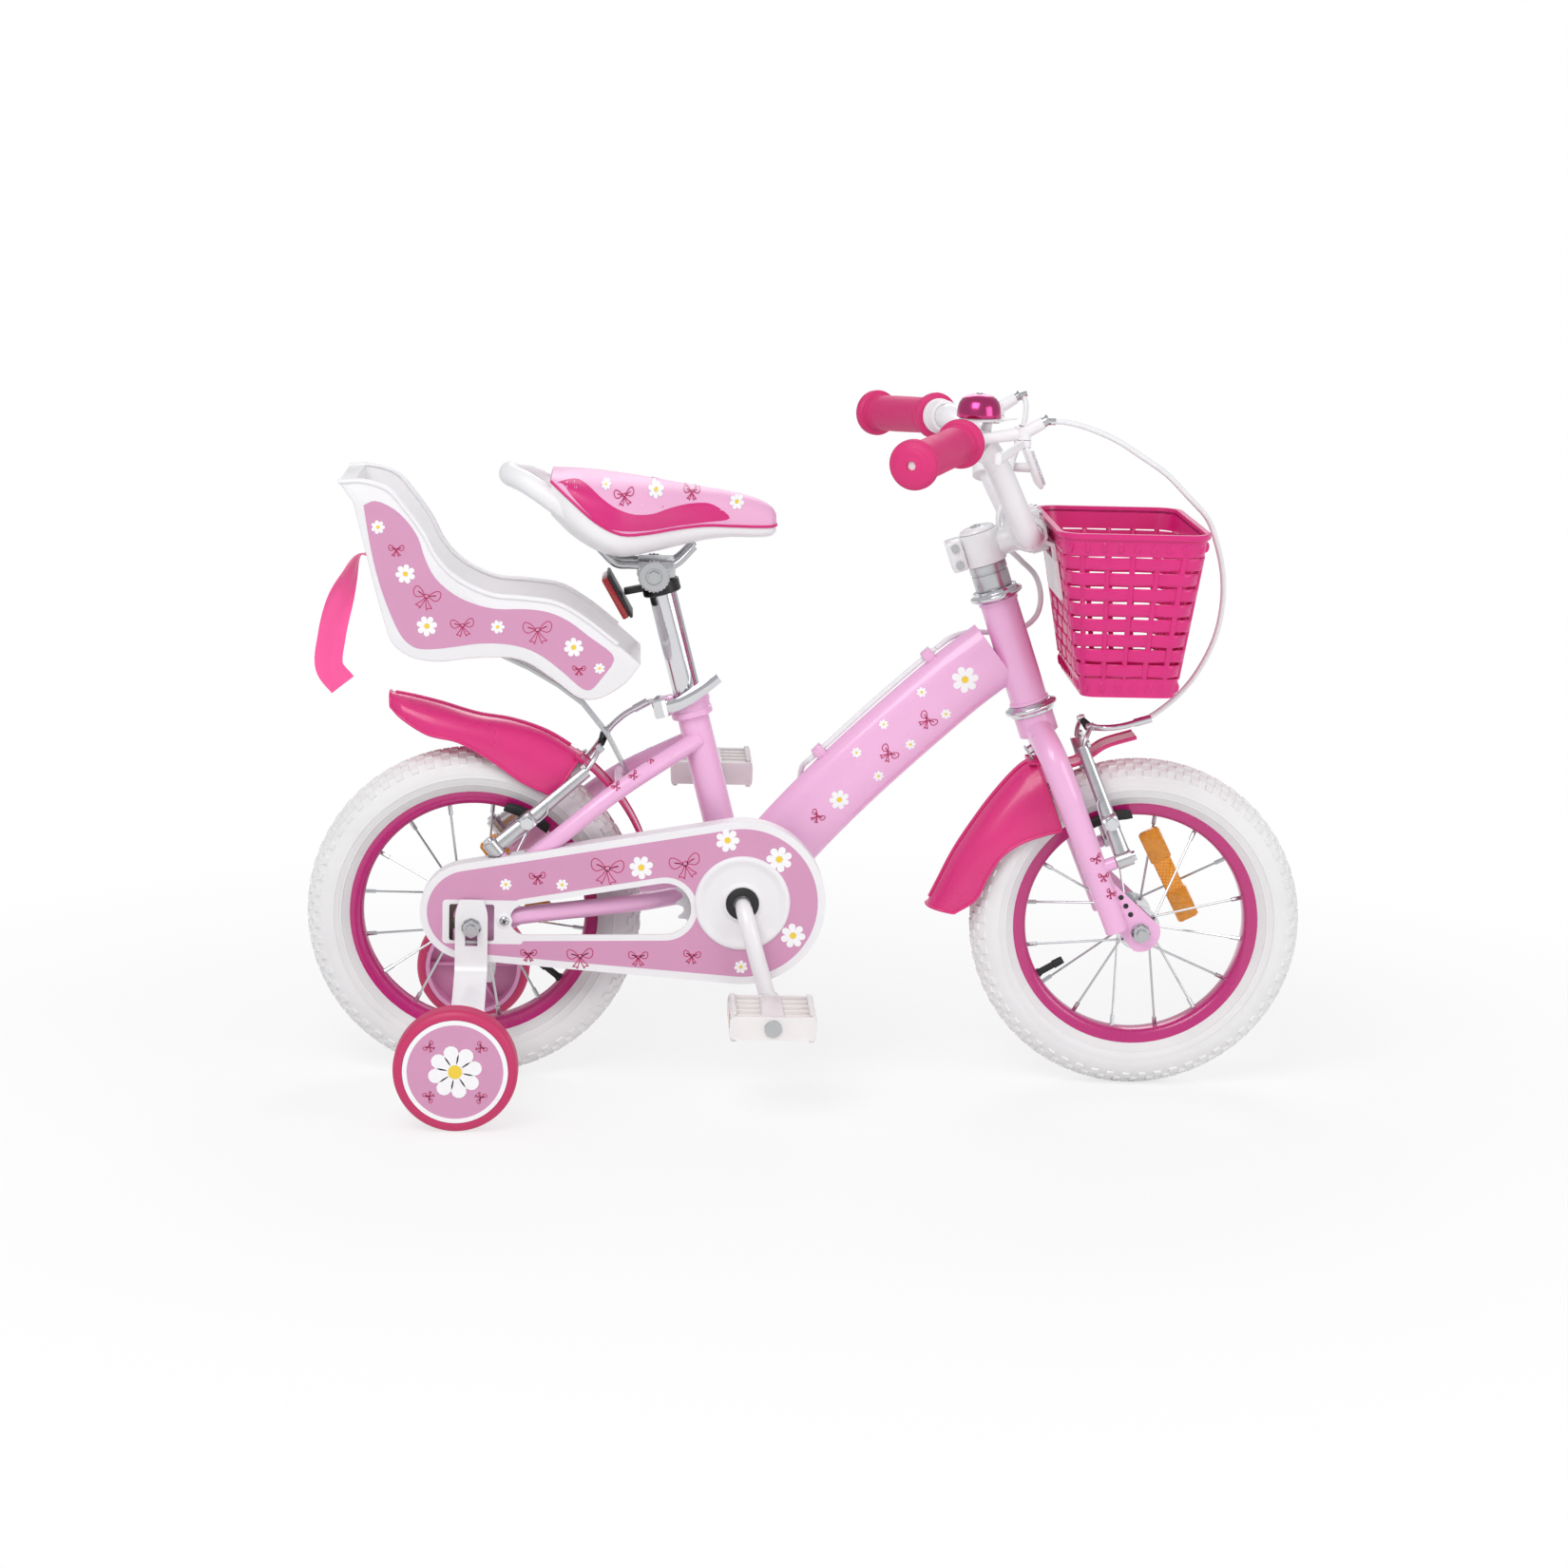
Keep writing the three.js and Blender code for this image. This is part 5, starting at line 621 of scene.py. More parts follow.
class Form:
    """A mesh that grows by operators, in place, and ends as one object."""

    def __init__(self) -> None:
        """Starts an empty mesh."""
        self.bm = bmesh.new()

    def tube(
        self, path: Sequence[Vector], radius: float | Sequence[float], sides: int = 24,
        height: float = 1.0, side_axis: Vector = SIDEWAYS, capped: bool = True
    ) -> Form:
        """Draws a round or oval section along a path.

        Args:
            path: places along the middle, in metres.
            radius: the section's half width in millimetres, one for all places or one for each.
            sides: how many faces go round.
            height: the section's height as a share of its width.
            side_axis: the direction of the section's width at the start.
            capped: whether the ends are closed.

        Returns:
            The form.
        """
        radii = [radius] * len(path) if isinstance(radius, (int, float)) else list(radius)
        frames: list[Matrix] = []
        across = side_axis
        for i, (place, before, after) in enumerate(neighbours(path)):
            along = (after - before).normalized()
            across = (across - along * across.dot(along)).normalized()
            turn = Matrix((across, along.cross(across), along)).transposed().to_4x4()
            size = Matrix.Diagonal((radii[i] * MM, radii[i] * MM * height, 1, 1))
            frames.append(Matrix.Translation(place) @ turn @ size)
        ring = bmesh.ops.create_circle(self.bm, cap_ends=False, radius=1, segments=sides)["verts"]
        edges = list({edge for vert in ring for edge in vert.link_edges})
        bmesh.ops.transform(self.bm, matrix=frames[0], verts=ring)
        first = edges
        for old, new in zip(frames, frames[1:]):
            grown = bmesh.ops.extrude_edge_only(self.bm, edges=edges)["geom"]
            verts = [g for g in grown if isinstance(g, bmesh.types.BMVert)]
            edges = [g for g in grown if isinstance(g, bmesh.types.BMEdge)]
            bmesh.ops.transform(self.bm, matrix=new @ old.inverted(), verts=verts)
        if capped:
            bmesh.ops.edgeloop_fill(self.bm, edges=first)
            bmesh.ops.edgeloop_fill(self.bm, edges=edges)
        return self

    def rod(
        self, start: Vector, end: Vector, radius: float, sides: int = 24,
        end_radius: float | None = None
    ) -> Form:
        """Draws a straight bar between two places, with its radii in millimetres."""
        axis = (end - start).normalized()
        side = SIDEWAYS if abs(axis.dot(SIDEWAYS)) < 0.9 else FORWARDS
        return self.tube(
            [start, end], [radius, radius if end_radius is None else end_radius], sides,
            side_axis=side
        )

    def pin(self, place: Vector, axis: Vector, low: float, high: float, *shape: float) -> Form:
        """Draws a bar along an axis, from low to high in millimetres, shaped as rod says."""
        return self.rod(place + axis * low * MM, place + axis * high * MM, *shape)

    def lathe(
        self, profile: Sequence[tuple[float, float]], origin: Vector, axis: Vector, steps: int = 96
    ) -> Form:
        """Turns a profile about an axis.

        Args:
            profile: pairs of radius and distance along the axis, closed if its ends meet.
            origin: a place on the axis, in metres.
            axis: the axis' direction.
            steps: how many faces go round.

        Returns:
            The form.
        """
        axis = axis.normalized()
        out = axis.orthogonal().normalized()
        corners = [self.bm.verts.new(origin + out * r * MM + axis * d * MM) for r, d in profile]
        lines = [self.bm.edges.new(pair) for pair in zip(corners, corners[1:])]
        bmesh.ops.spin(
            self.bm,
            geom=[*corners, *lines],
            cent=origin,
            axis=axis,
            dvec=(0, 0, 0),
            angle=FULL_TURN,
            steps=steps,
            use_merge=True,
        )
        return self

    def slab(
        self, outline: Sequence[tuple[float, float]], from_y: float, to_y: float, bevel: float = 0.0
    ) -> Form:
        """Thickens a flat outline across the bike.

        Args:
            outline: [x, z] pairs in millimetres.
            from_y: the first face's Y in millimetres.
            to_y: the second face's Y.
            bevel: how much both rims are rounded, in millimetres.

        Returns:
            The form.
        """
        corners = [self.bm.verts.new(mm(x, from_y, z)) for x, z in outline]
        face = self.bm.faces.new(corners)
        grown = bmesh.ops.extrude_face_region(self.bm, geom=[face], use_keep_orig=True)["geom"]
        moved = [g for g in grown if isinstance(g, bmesh.types.BMVert)]
        bmesh.ops.translate(self.bm, vec=mm(0, to_y - from_y, 0), verts=moved)
        if bevel:
            rims = [e for e in self.bm.edges if self._on_rim(e, {*corners}, {*moved})]
            self.rounded(rims, bevel)
        return self

    @staticmethod
    def _on_rim(edge: bmesh.types.BMEdge, first: set, second: set) -> bool:
        """Tells whether an edge runs round one of a slab's two faces."""
        a, b = edge.verts
        return (a in first and b in first) or (a in second and b in second)

    def rounded(self, edges: Iterable[bmesh.types.BMEdge], width: float) -> Form:
        """Rounds edges by a width in millimetres."""
        bmesh.ops.bevel(
            self.bm,
            geom=list(edges),
            offset=width * MM,
            segments=2,
            profile=0.5,
            affect="EDGES",
            material=-1,
            clamp_overlap=True,
        )
        return self

    def block(
        self, centre: Vector, size: Vector, along: Vector = FORWARDS, up: Vector = UPWARDS,
        bevel: float = 0.0
    ) -> Form:
        """Draws a box with its own axes.

        Args:
            centre: its middle, in metres.
            size: its sizes along, across and up, in millimetres.
            along: the direction of its length.
            up: the direction of its height.
            bevel: how much its edges are rounded, in millimetres.

        Returns:
            The form.
        """
        along = along.normalized()
        up = (up - along * up.dot(along)).normalized()
        turn = Matrix((along, up.cross(along), up)).transposed().to_4x4()
        verts = bmesh.ops.create_cube(self.bm, size=1)["verts"]
        matrix = Matrix.Translation(centre) @ turn @ Matrix.Diagonal((*(size * MM), 1))
        bmesh.ops.transform(self.bm, matrix=matrix, verts=verts)
        if bevel:
            self.rounded({edge for vert in verts for edge in vert.link_edges}, bevel)
        return self

    def strip(
        self, rows: Sequence[Sequence[Vector]], closed: bool = False, loop: bool = False
    ) -> Form:
        """Skins rows of places, each as long as the last.

        Args:
            rows: the rows, in metres.
            closed: whether each row meets its own start.
            loop: whether the last row meets the first.

        Returns:
            The form.
        """
        verts = [self.bm.verts.new(p) for p in rows[0]]
        pairs = list(zip(verts, verts[1:])) + ([(verts[-1], verts[0])] if closed else [])
        edges = [self.bm.edges.new(pair) for pair in pairs]
        for row in [*rows[1:], *([rows[0]] if loop else [])]:
            places = dict(zip(verts, row))
            grown = bmesh.ops.extrude_edge_only(self.bm, edges=edges)["geom"]
            edges = [g for g in grown if isinstance(g, bmesh.types.BMEdge)]
            partners = {}
            for vert in (g for g in grown if isinstance(g, bmesh.types.BMVert)):
                partner = next(
                    e.other_vert(vert) for e in vert.link_edges if e.other_vert(vert) in places
                )
                partners[partner] = vert
            verts = [partners[vert] for vert in verts]
            for vert, place in zip(verts, row):
                vert.co = place
        return self

    def mirror_over(self) -> Form:
        """Adds the mirror image on the bike's other side."""
        copy = bmesh.ops.duplicate(
            self.bm, geom=[*self.bm.verts, *self.bm.edges, *self.bm.faces]
        )["geom"]
        verts = [g for g in copy if isinstance(g, bmesh.types.BMVert)]
        bmesh.ops.scale(self.bm, vec=(1, -1, 1), verts=verts)
        return self

    def clean(self) -> Form:
        """Merges doubled points and turns every face outwards."""
        bmesh.ops.remove_doubles(self.bm, verts=self.bm.verts, dist=2e-6)
        bmesh.ops.recalc_face_normals(self.bm, faces=self.bm.faces)
        return self

    def thick(self, wall: float) -> Form:
        """Gives a sheet a wall inwards, in millimetres."""
        self.clean()
        bmesh.ops.solidify(self.bm, geom=self.bm.faces[:], thickness=wall * MM)
        return self

    def carve(self, *tools: Form) -> Form:
        """Cuts other forms out of this one, one after the other, and frees them."""
        for tool in tools:
            self._cut(tool)
            tool.bm.free()
        return self

    def _cut(self, tool: Form) -> None:
        """Cuts one form out of this one."""
        shells = []
        for form in (self.clean(), tool.clean()):
            mesh = bpy.data.meshes.new("shell")
            form.bm.to_mesh(mesh)
            shell = bpy.data.objects.new("shell", mesh)
            bpy.context.collection.objects.link(shell)
            shells.append(shell)
        cut = shells[0].modifiers.new("cut", "BOOLEAN")
        cut.operation, cut.solver, cut.object = "DIFFERENCE", "EXACT", shells[1]
        cut.use_self = True
        graph = bpy.context.evaluated_depsgraph_get()
        result = bpy.data.meshes.new_from_object(shells[0].evaluated_get(graph))
        self.bm.clear()
        self.bm.from_mesh(result)
        bpy.data.meshes.remove(result)
        for shell in shells:
            mesh = shell.data
            bpy.data.objects.remove(shell)
            bpy.data.meshes.remove(mesh)

    def tree(self) -> BVHTree:
        """Returns a search tree of the form, for printing on it."""
        return BVHTree.FromBMesh(self.bm)

    def pressed_on(self, tree: BVHTree, direction: Vector, lift: float = 0.15) -> Form:
        """Lays the form's points on a surface, a little proud of it.

        Args:
            tree: the surface.
            direction: the way the points travel to it.
            lift: how far they stay above it, in millimetres.

        Returns:
            The form.
        """
        direction = direction.normalized()
        for vert in self.bm.verts:
            hit, normal, _, _ = tree.ray_cast(vert.co - direction * 0.05, direction)
            if not hit:
                hit, normal, _, _ = tree.find_nearest(vert.co)
            facing = normal if normal.dot(direction) < 0 else -normal
            vert.co = hit + facing * lift * MM
        return self

    def piece(
        self, name: str, finish: Finish, body: Body, replaces: Sequence[str] = (),
        sharp: float = 38.0, soften: float = 0.0, recalc: bool = True
    ) -> bpy.types.Object:
        """Turns the form into an object of the bike.

        Args:
            name: the object's name.
            finish: its material.
            body: the body that it rides on.
            replaces: the plain nodes that it stands for.
            sharp: edges that turn more than this many degrees stay sharp.
            soften: how much its sharp edges are rounded, in millimetres.
            recalc: whether its faces are turned outwards.

        Returns:
            The object.
        """
        if recalc:
            self.clean()
        for face in self.bm.faces:
            face.smooth = True
        limit = math.radians(sharp)
        for edge in self.bm.edges:
            edge.smooth = len(edge.link_faces) != 2 or edge.calc_face_angle(0) < limit
        mesh = bpy.data.meshes.new(name)
        self.bm.to_mesh(mesh)
        self.bm.free()
        made = bpy.data.objects.new(name, mesh)
        bpy.context.collection.objects.link(made)
        mesh.materials.append(finish.material())
        if soften:
            round_off = made.modifiers.new("rounded edges", "BEVEL")
            round_off.width, round_off.segments = soften * MM, 2
            round_off.limit_method, round_off.angle_limit = "ANGLE", math.radians(sharp)
            round_off.harden_normals = True
        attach(made, body.value)
        for node in replaces:
            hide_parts(node)
        LOG.info("%s rides on %s", name, body.value)
        return made


def carried(
    frame: dict, node: str, finish: Finish, body: Body, soften: float = 0.0
) -> bpy.types.Object:
    """Makes a smooth-shaded copy of a plain node stand for it.

    Args:
        frame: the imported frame.
        node: the node's name.
        finish: the copy's material.
        body: the body that it rides on.
        soften: how much its sharp edges are rounded, in millimetres.

    Returns:
        The copy.
    """
    form = Form()
    form.bm.from_mesh(frame["nodes"][node].data)
    bmesh.ops.remove_doubles(form.bm, verts=form.bm.verts, dist=1e-5)
    bmesh.ops.dissolve_limit(
        form.bm, angle_limit=math.radians(1.5), verts=form.bm.verts[:], edges=form.bm.edges[:]
    )
    return form.piece(node + "_skin", finish, body, [node], 32.0, soften, recalc=False)


# Studio


@dataclass
class Studio:
    """Pale floor, soft light and a camera at the photograph's viewing angle."""

    azimuth: float = -2.584
    elevation: float = 10.740
    roll: float = 1.506
    distance: float = 3400.2
    lens: float = 86.16
    target: tuple[float, float, float] = (-22.6, 0.0, 272.475)

    def camera(self) -> None:
        """Places the camera round its target and makes it the scene's."""
        a, e, r = (math.radians(v) for v in (self.azimuth, self.elevation, self.roll))
        back = Vector((math.sin(a) * math.cos(e), -math.cos(a) * math.cos(e), math.sin(e)))
        right = Vector((math.cos(a), math.sin(a), 0))
        up = back.cross(right)
        rolled_right = right * math.cos(r) + up * math.sin(r)
        rolled_up = up * math.cos(r) - right * math.sin(r)
        data = bpy.data.cameras.new("camera")
        data.lens, data.sensor_width = self.lens, 36
        data.clip_start, data.clip_end = 0.1, 100
        camera = bpy.data.objects.new("camera", data)
        bpy.context.collection.objects.link(camera)
        turn = Matrix((rolled_right, rolled_up, back)).transposed().to_4x4()
        camera.matrix_world = Matrix.Translation(
            mm(*self.target) + back * self.distance * MM
        ) @ turn
        bpy.context.scene.camera = camera

    def floor(self) -> None:
        """Lays a pale matt floor, which camera and glossy rays see as plain white."""
        form = Form()
        bmesh.ops.create_grid(form.bm, x_segments=1, y_segments=1, size=20)
        bmesh.ops.translate(form.bm, vec=mm(0, 0, -0.2), verts=form.bm.verts)
        mesh = bpy.data.meshes.new("floor")
        form.bm.to_mesh(mesh)
        form.bm.free()
        floor = bpy.data.objects.new("floor", mesh)
        bpy.context.collection.objects.link(floor)
        material = bpy.data.materials.new("pale floor")
        material.use_nodes = True
        tree = material.node_tree
        tree.nodes.clear()
        paper = add_node(tree, "ShaderNodeBsdfDiffuse", {"Color": linear("F4F4F4")})
        lit = add_node(tree, "ShaderNodeEmission", {"Color": linear("FFFFFF"), "Strength": 1.0})
        rays = add_node(tree, "ShaderNodeLightPath")
        seen = calc(tree, "MAXIMUM", rays.outputs["Is Camera Ray"], rays.outputs["Is Glossy Ray"])
        place = add_node(tree, "ShaderNodeTexCoord").outputs["Object"]
        reach = add_node(tree, "ShaderNodeVectorMath", {0: place}, operation="LENGTH")
        faded = remap(tree, reach.outputs["Value"], (0.55, 0.72), (1.1, 1.0))
        share = calc(tree, "MULTIPLY", seen, faded)
        mixed = add_node(
            tree, "ShaderNodeMixShader", {0: share, 1: paper.outputs[0], 2: lit.outputs[0]}
        )
        add_node(tree, "ShaderNodeOutputMaterial", {"Surface": mixed.outputs[0]})
        mesh.materials.append(material)

    def light(self) -> None:
        """Hangs two large soft lamps in a pale room."""
        world = bpy.data.worlds.new("pale room")
        bpy.context.scene.world = world
        world.use_nodes = True
        tree = world.node_tree
        tree.nodes.clear()
        rays = add_node(tree, "ShaderNodeLightPath")
        room = add_node(tree, "ShaderNodeBackground", {"Color": linear("F2F4F8"), "Strength": 0.62})
        paper = add_node(tree, "ShaderNodeBackground", {"Color": (1, 1, 1, 1), "Strength": 1.0})
        seen = calc(
            tree, "MAXIMUM", rays.outputs["Is Camera Ray"], rays.outputs["Is Transmission Ray"]
        )
        mixed = add_node(
            tree, "ShaderNodeMixShader", {0: seen, 1: room.outputs[0], 2: paper.outputs[0]}
        )
        add_node(tree, "ShaderNodeOutputWorld", {"Surface": mixed.outputs[0]})
        self.lamp("key", mm(-900, -1900, 2300), mm(0, 0, 250), 1.6, 34)
        self.lamp("fill", mm(1900, -1500, 1100), mm(0, 0, 250), 1.2, 11)
        self.lamp("rim", mm(200, 1900, 1700), mm(0, 0, 300), 1.2, 12)

    def lamp(self, name: str, place: Vector, target: Vector, size: float, power: float) -> None:
        """Hangs one square lamp that looks at a target."""
        data = bpy.data.lights.new(name, "AREA")
        data.size, data.energy = size, power
        lamp = bpy.data.objects.new(name, data)
        bpy.context.collection.objects.link(lamp)
        lamp.matrix_world = Matrix.Translation(place) @ (
            place - target
        ).to_track_quat("Z", "Y").to_matrix().to_4x4()


# Printed ornament of the bike's own: plain daisies and ribbon bows.


@dataclass
class Print:
    """Daisies and bows drawn on a plane and then laid on a surface."""

    petals: Form = field(default_factory=Form)
    hearts: Form = field(default_factory=Form)
    bows: Form = field(default_factory=Form)

    @staticmethod
    def _flat(
        form: Form, outline: Sequence[tuple[float, float]], origin: Vector, right: Vector,
        up: Vector
    ) -> bmesh.types.BMFace:
        """Adds one flat face from pairs in millimetres on a plane."""
        corners = [form.bm.verts.new(origin + right * x * MM + up * y * MM) for x, y in outline]
        return form.bm.faces.new(corners)

    def daisy(
        self, origin: Vector, right: Vector, up: Vector, size: float, petals: int = 7,
        turn: float = 0.0
    ) -> None:
        """Draws a daisy.

        Args:
            origin: its middle, in metres.
            right: the plane's first direction.
            up: the plane's second direction.
            size: its radius in millimetres.
            petals: how many petals it has.
            turn: its turn in degrees.
        """
        for i in range(petals):
            angle = FULL_TURN * i / petals + math.radians(turn)
            ahead, aside = (math.cos(angle), math.sin(angle)), (-math.sin(angle), math.cos(angle))
            shape = []
            for k in range(14):
                t = FULL_TURN * k / 14
                reach = size * (0.6 + 0.42 * math.cos(t))
                width = size * 0.27 * math.sin(t) * (1.0 + 0.35 * math.cos(t))
                shape.append(
                    (ahead[0] * reach + aside[0] * width, ahead[1] * reach + aside[1] * width)
                )
            self._flat(self.petals, shape, origin, right, up)
        heart = [
            (size * 0.27 * math.cos(FULL_TURN * k / 14), size * 0.27 * math.sin(FULL_TURN * k / 14))
            for k in range(14)
        ]
        out = right.cross(up).normalized() * 0.08 * MM
        self._flat(self.hearts, heart, origin + out, right, up)

    def bow(
        self, origin: Vector, right: Vector, up: Vector, size: float, line: float = 0.7,
        turn: float = 0.0
    ) -> None:
        """Draws a ribbon bow in outline.

        Args:
            origin: its knot, in metres.
            right: the plane's first direction.
            up: the plane's second direction.
            size: its half width in millimetres.
            line: the line's width in millimetres.
            turn: its turn in degrees.
        """
        angle = math.radians(turn)
        ahead = right * math.cos(angle) + up * math.sin(angle)
        aside = up * math.cos(angle) - right * math.sin(angle)
        loop = [
            (0.13, 0.06), (0.45, 0.42), (0.82, 0.55), (1.0, 0.3), (0.9, -0.12), (0.62, -0.26),
            (0.3, -0.14), (0.13, -0.1)
        ]
        crease = [(0.2, 0.03), (0.45, 0.16), (0.66, 0.2), (0.64, 0.12), (0.45, 0.06), (0.2, -0.03)]
        tail = [
            (0.08, -0.12), (0.3, -0.45), (0.62, -0.82), (0.36, -0.86), (0.26, -1.02), (0.05, -0.5),
            (-0.02, -0.14)
        ]
        knot = [(-0.15, 0.12), (0.15, 0.12), (0.16, -0.14), (-0.16, -0.14)]
        shapes = [loop, crease, tail]
        outlines = [[(x * s, y) for x, y in shape] for s in (1, -1) for shape in shapes] + [knot]
        for shape in outlines:
            scaled = [(x * size, y * size) for x, y in shape]
            smooth = flowing_outline([*scaled, scaled[0]], 4)[:-1]
            face = self._flat(self.bows, smooth, origin, ahead, aside)
            face.normal_update()
            bmesh.ops.inset_region(
                self.bows.bm, faces=[face], thickness=line * MM, use_even_offset=True,
                use_boundary=True
            )
            bmesh.ops.delete(self.bows.bm, geom=[face], context="FACES_ONLY")

    def scatter(
        self, y: float, right: Vector, daisies: Sequence[tuple], bows: Sequence[tuple],
        line: float = 0.9
    ) -> Print:
        """Draws daisies and bows on a plane that runs along the bike.

        Args:
            y: the plane's place across the bike, in millimetres.
            right: the plane's first direction.
            daisies: the X, Z, radius and turn of each.
            bows: the X, Z, half width and turn of each.
            line: the bows' line width in millimetres.

        Returns:
            The drawing.
        """
        for x, z, size, turn in daisies:
            self.daisy(mm(x, y, z), right, UPWARDS, size, turn=turn)
        for x, z, size, turn in bows:
            self.bow(mm(x, y, z), right, UPWARDS, size, line, turn)
        return self

    def lay(
        self, label: str, body: Body, tree: BVHTree | None, direction: Vector, lift: float = 0.18
    ) -> None:
        """Lays the drawing on a surface and makes its pieces.

        Args:
            label: the start of the pieces' names.
            body: the body that they ride on.
            tree: the surface, or nothing where the drawing already lies on it.
            direction: the way in which it is pressed on.
            lift: how far it stays above the surface, in millimetres.
        """
        inks = (
            (self.petals, "daisies", PRINT_WHITE, 0.0),
            (self.hearts, "daisy_hearts", PRINT_YELLOW, 0.08), (self.bows, "bows", PRINT_ROSE, 0.0)
        )
        for form, kind, ink, more in inks:
            if not form.bm.faces:
                form.bm.free()
                continue
            if tree:
                bmesh.ops.subdivide_edges(form.bm, edges=form.bm.edges[:], cuts=1)
                bmesh.ops.triangulate(form.bm, faces=form.bm.faces[:])
                form.pressed_on(tree, direction, lift + more)
            for face in form.bm.faces:
                face.normal_update()
                if face.normal.dot(direction) > 0:
                    face.normal_flip()
            form.piece(f"{label}_{kind}", ink, body, recalc=False)


# Wheels


@dataclass
class SpokedWheel:
    """A wheel of tyre, rim, hub, spokes, valve and reflector, in millimetres."""

    label: str
    body: Body
    axle: Vector
    flange_offset: float
    valve: tuple[float, float]
    reflector: tuple[float, float, float]
    steps: int = 120
    spoke_count: int = 16
    spoke_radius: float = 1.1
    spoke_lead: float = 26.0
    first_spoke: float = 9.0
    flange_radius: float = 17.0
    nipple_radius: float = 100.6
    tread: tuple[tuple[float, float], ...] = (
        (149.3, 0.0), (148.9, 6.0), (146.8, 11.5), (143.2, 16.3), (138.4, 20.2)
    )
    sidewall: tuple[tuple[float, float], ...] = (
        (133.0, 22.4), (128.0, 23.0), (122.0, 21.6), (116.0, 17.4), (112.2, 13.2), (107.0, 10.4)
    )
    rim_half: tuple[tuple[float, float], ...] = (
        (106.0, 10.4),
        (111.8, 11.2),
        (112.4, 12.6),
        (111.6, 13.6),
        (109.8, 13.2),
        (104.2, 12.4),
        (101.4, 10.6),
        (100.2, 7.0),
        (99.9, 2.5),
    )

    def build(self) -> None:
        """Makes every piece of the wheel."""
        self.make_tyre()
        self.make_rim()
        self.make_hub_and_spokes()
        self.make_valve()
        self.make_reflector()

    def make_tyre(self) -> None:
        """Turns the tyre and raises its knobs in a chequer."""
        half = [*self.tread, *self.sidewall]
        profile = [(r, -y) for r, y in reversed(half[1:])] + list(half)
        form = Form().lathe([*profile, profile[0]], self.axle, SIDEWAYS, self.steps)
        form.clean()
        edges = [y for _, y in self.tread]
        knobs = []
        for face in form.bm.faces:
            centre = face.calc_center_median() - self.axle
            reach = math.hypot(centre.x, centre.z)
            y = abs(centre.y) / MM
            if reach < 136 * MM or y > edges[-1]:
                continue
            band = sum(1 for edge in edges[1:] if y > edge)
            step = int((math.atan2(centre.z, centre.x) % FULL_TURN) / (FULL_TURN / self.steps))
            if (step + band) % 2 == 0:
                knobs.append(face)
        bmesh.ops.inset_individual(
            form.bm, faces=knobs, thickness=0.7 * MM, depth=1.7 * MM, use_even_offset=True
        )
        form.piece(
            f"{self.label}_tyre_tread", TYRE_RUBBER, self.body, [f"{self.label}_tyre"], sharp=42
        )
        band = Form()
        for side in (-1, 1):
            band.lathe(
                [
                    (118.5, side * 19.4), (119.3, side * 20.4), (120.4, side * 20.6),
                    (121, side * 20.9)
                ],
                self.axle, SIDEWAYS, self.steps
            )
            band.lathe(
                [
                    (125.5, side * 22.9), (126.2, side * 23.2), (127.2, side * 23.2),
                    (127.9, side * 22.9)
                ],
                self.axle, SIDEWAYS, self.steps
            )
        band.piece(f"{self.label}_tyre_lines", TYRE_RUBBER, self.body)

    def make_rim(self) -> None:
        """Turns the rim's hollow section."""
        profile = list(self.rim_half) + [(r, -y) for r, y in reversed(self.rim_half)]
        form = Form().lathe([*profile, profile[0]], self.axle, SIDEWAYS, self.steps)
        form.piece(f"{self.label}_rim_shell", RIM_PAINT, self.body, [f"{self.label}_rim"], sharp=50)

    def spoke_ends(self, index: int) -> tuple[Vector, Vector]:
        """Returns the two ends of a spoke, at the flange and at the rim."""
        side = 1 if index % 2 == 0 else -1
        lead = math.radians(self.spoke_lead) * (1 if index % 4 < 2 else -1)
        angle = math.radians(self.first_spoke) + index * FULL_TURN / self.spoke_count
        ends = []
        for radius, left, turn in (
            (self.flange_radius, self.flange_offset, angle + lead), (self.nipple_radius, 1.4, angle)
        ):
            spot = mm(radius * math.sin(turn), side * left, radius * math.cos(turn))
            ends.append(self.axle + spot)
        return ends[0], ends[1]

    def make_hub_and_spokes(self) -> None:
        """Draws the hub with its two flanges, and the spokes with their nipples."""
        flange = self.flange_offset
        hub = Form()
        profile = [
            (5.6, -flange - 3), (11, -flange - 3), (12, -flange - 1.5), (20, -flange - 1.2),
            (20, -flange + 1.2), (12.5, -flange + 2), (11, -flange + 5)
        ]
        profile += [(r, -y) for r, y in reversed(profile)]
        hub.lathe([*profile, profile[0]], self.axle, SIDEWAYS, 40)
        hub.piece(f"{self.label}_hub_shell", CHROME, self.body, [f"{self.label}_hub_spokes"])
        wires = Form()
        for i in range(self.spoke_count):
            start, end = self.spoke_ends(i)
            wires.rod(start, end, self.spoke_radius, 8)
            step = (end - start).normalized()
            wires.pin(end, step, -10, 0.5, 2.0, 8)
            side = Vector((0, math.copysign(1, start.y), 0))
            wires.pin(start, side, -2.4, 1.8, 1.9, 8)
        wires.piece(f"{self.label}_spoke_wires", ZINC, self.body)

    def make_valve(self) -> None:
        """Draws the valve stem and its ribbed cap."""
        x, z = self.valve
        out = (mm(x, 0, z) - self.axle).normalized()
        tip = self.axle + out * 76 * MM
        stem = Form().rod(self.axle + out * 101 * MM, tip, 3.1, 20)
        stem.pin(tip, out, 8, -2, 4.0, 12, 3.6)
        stem.pin(self.axle, out, 100.5, 97, 4.6, 20, 3.4)
        stem.piece(f"{self.label}_valve", BLACK_RUBBER, self.body, soften=0.4)

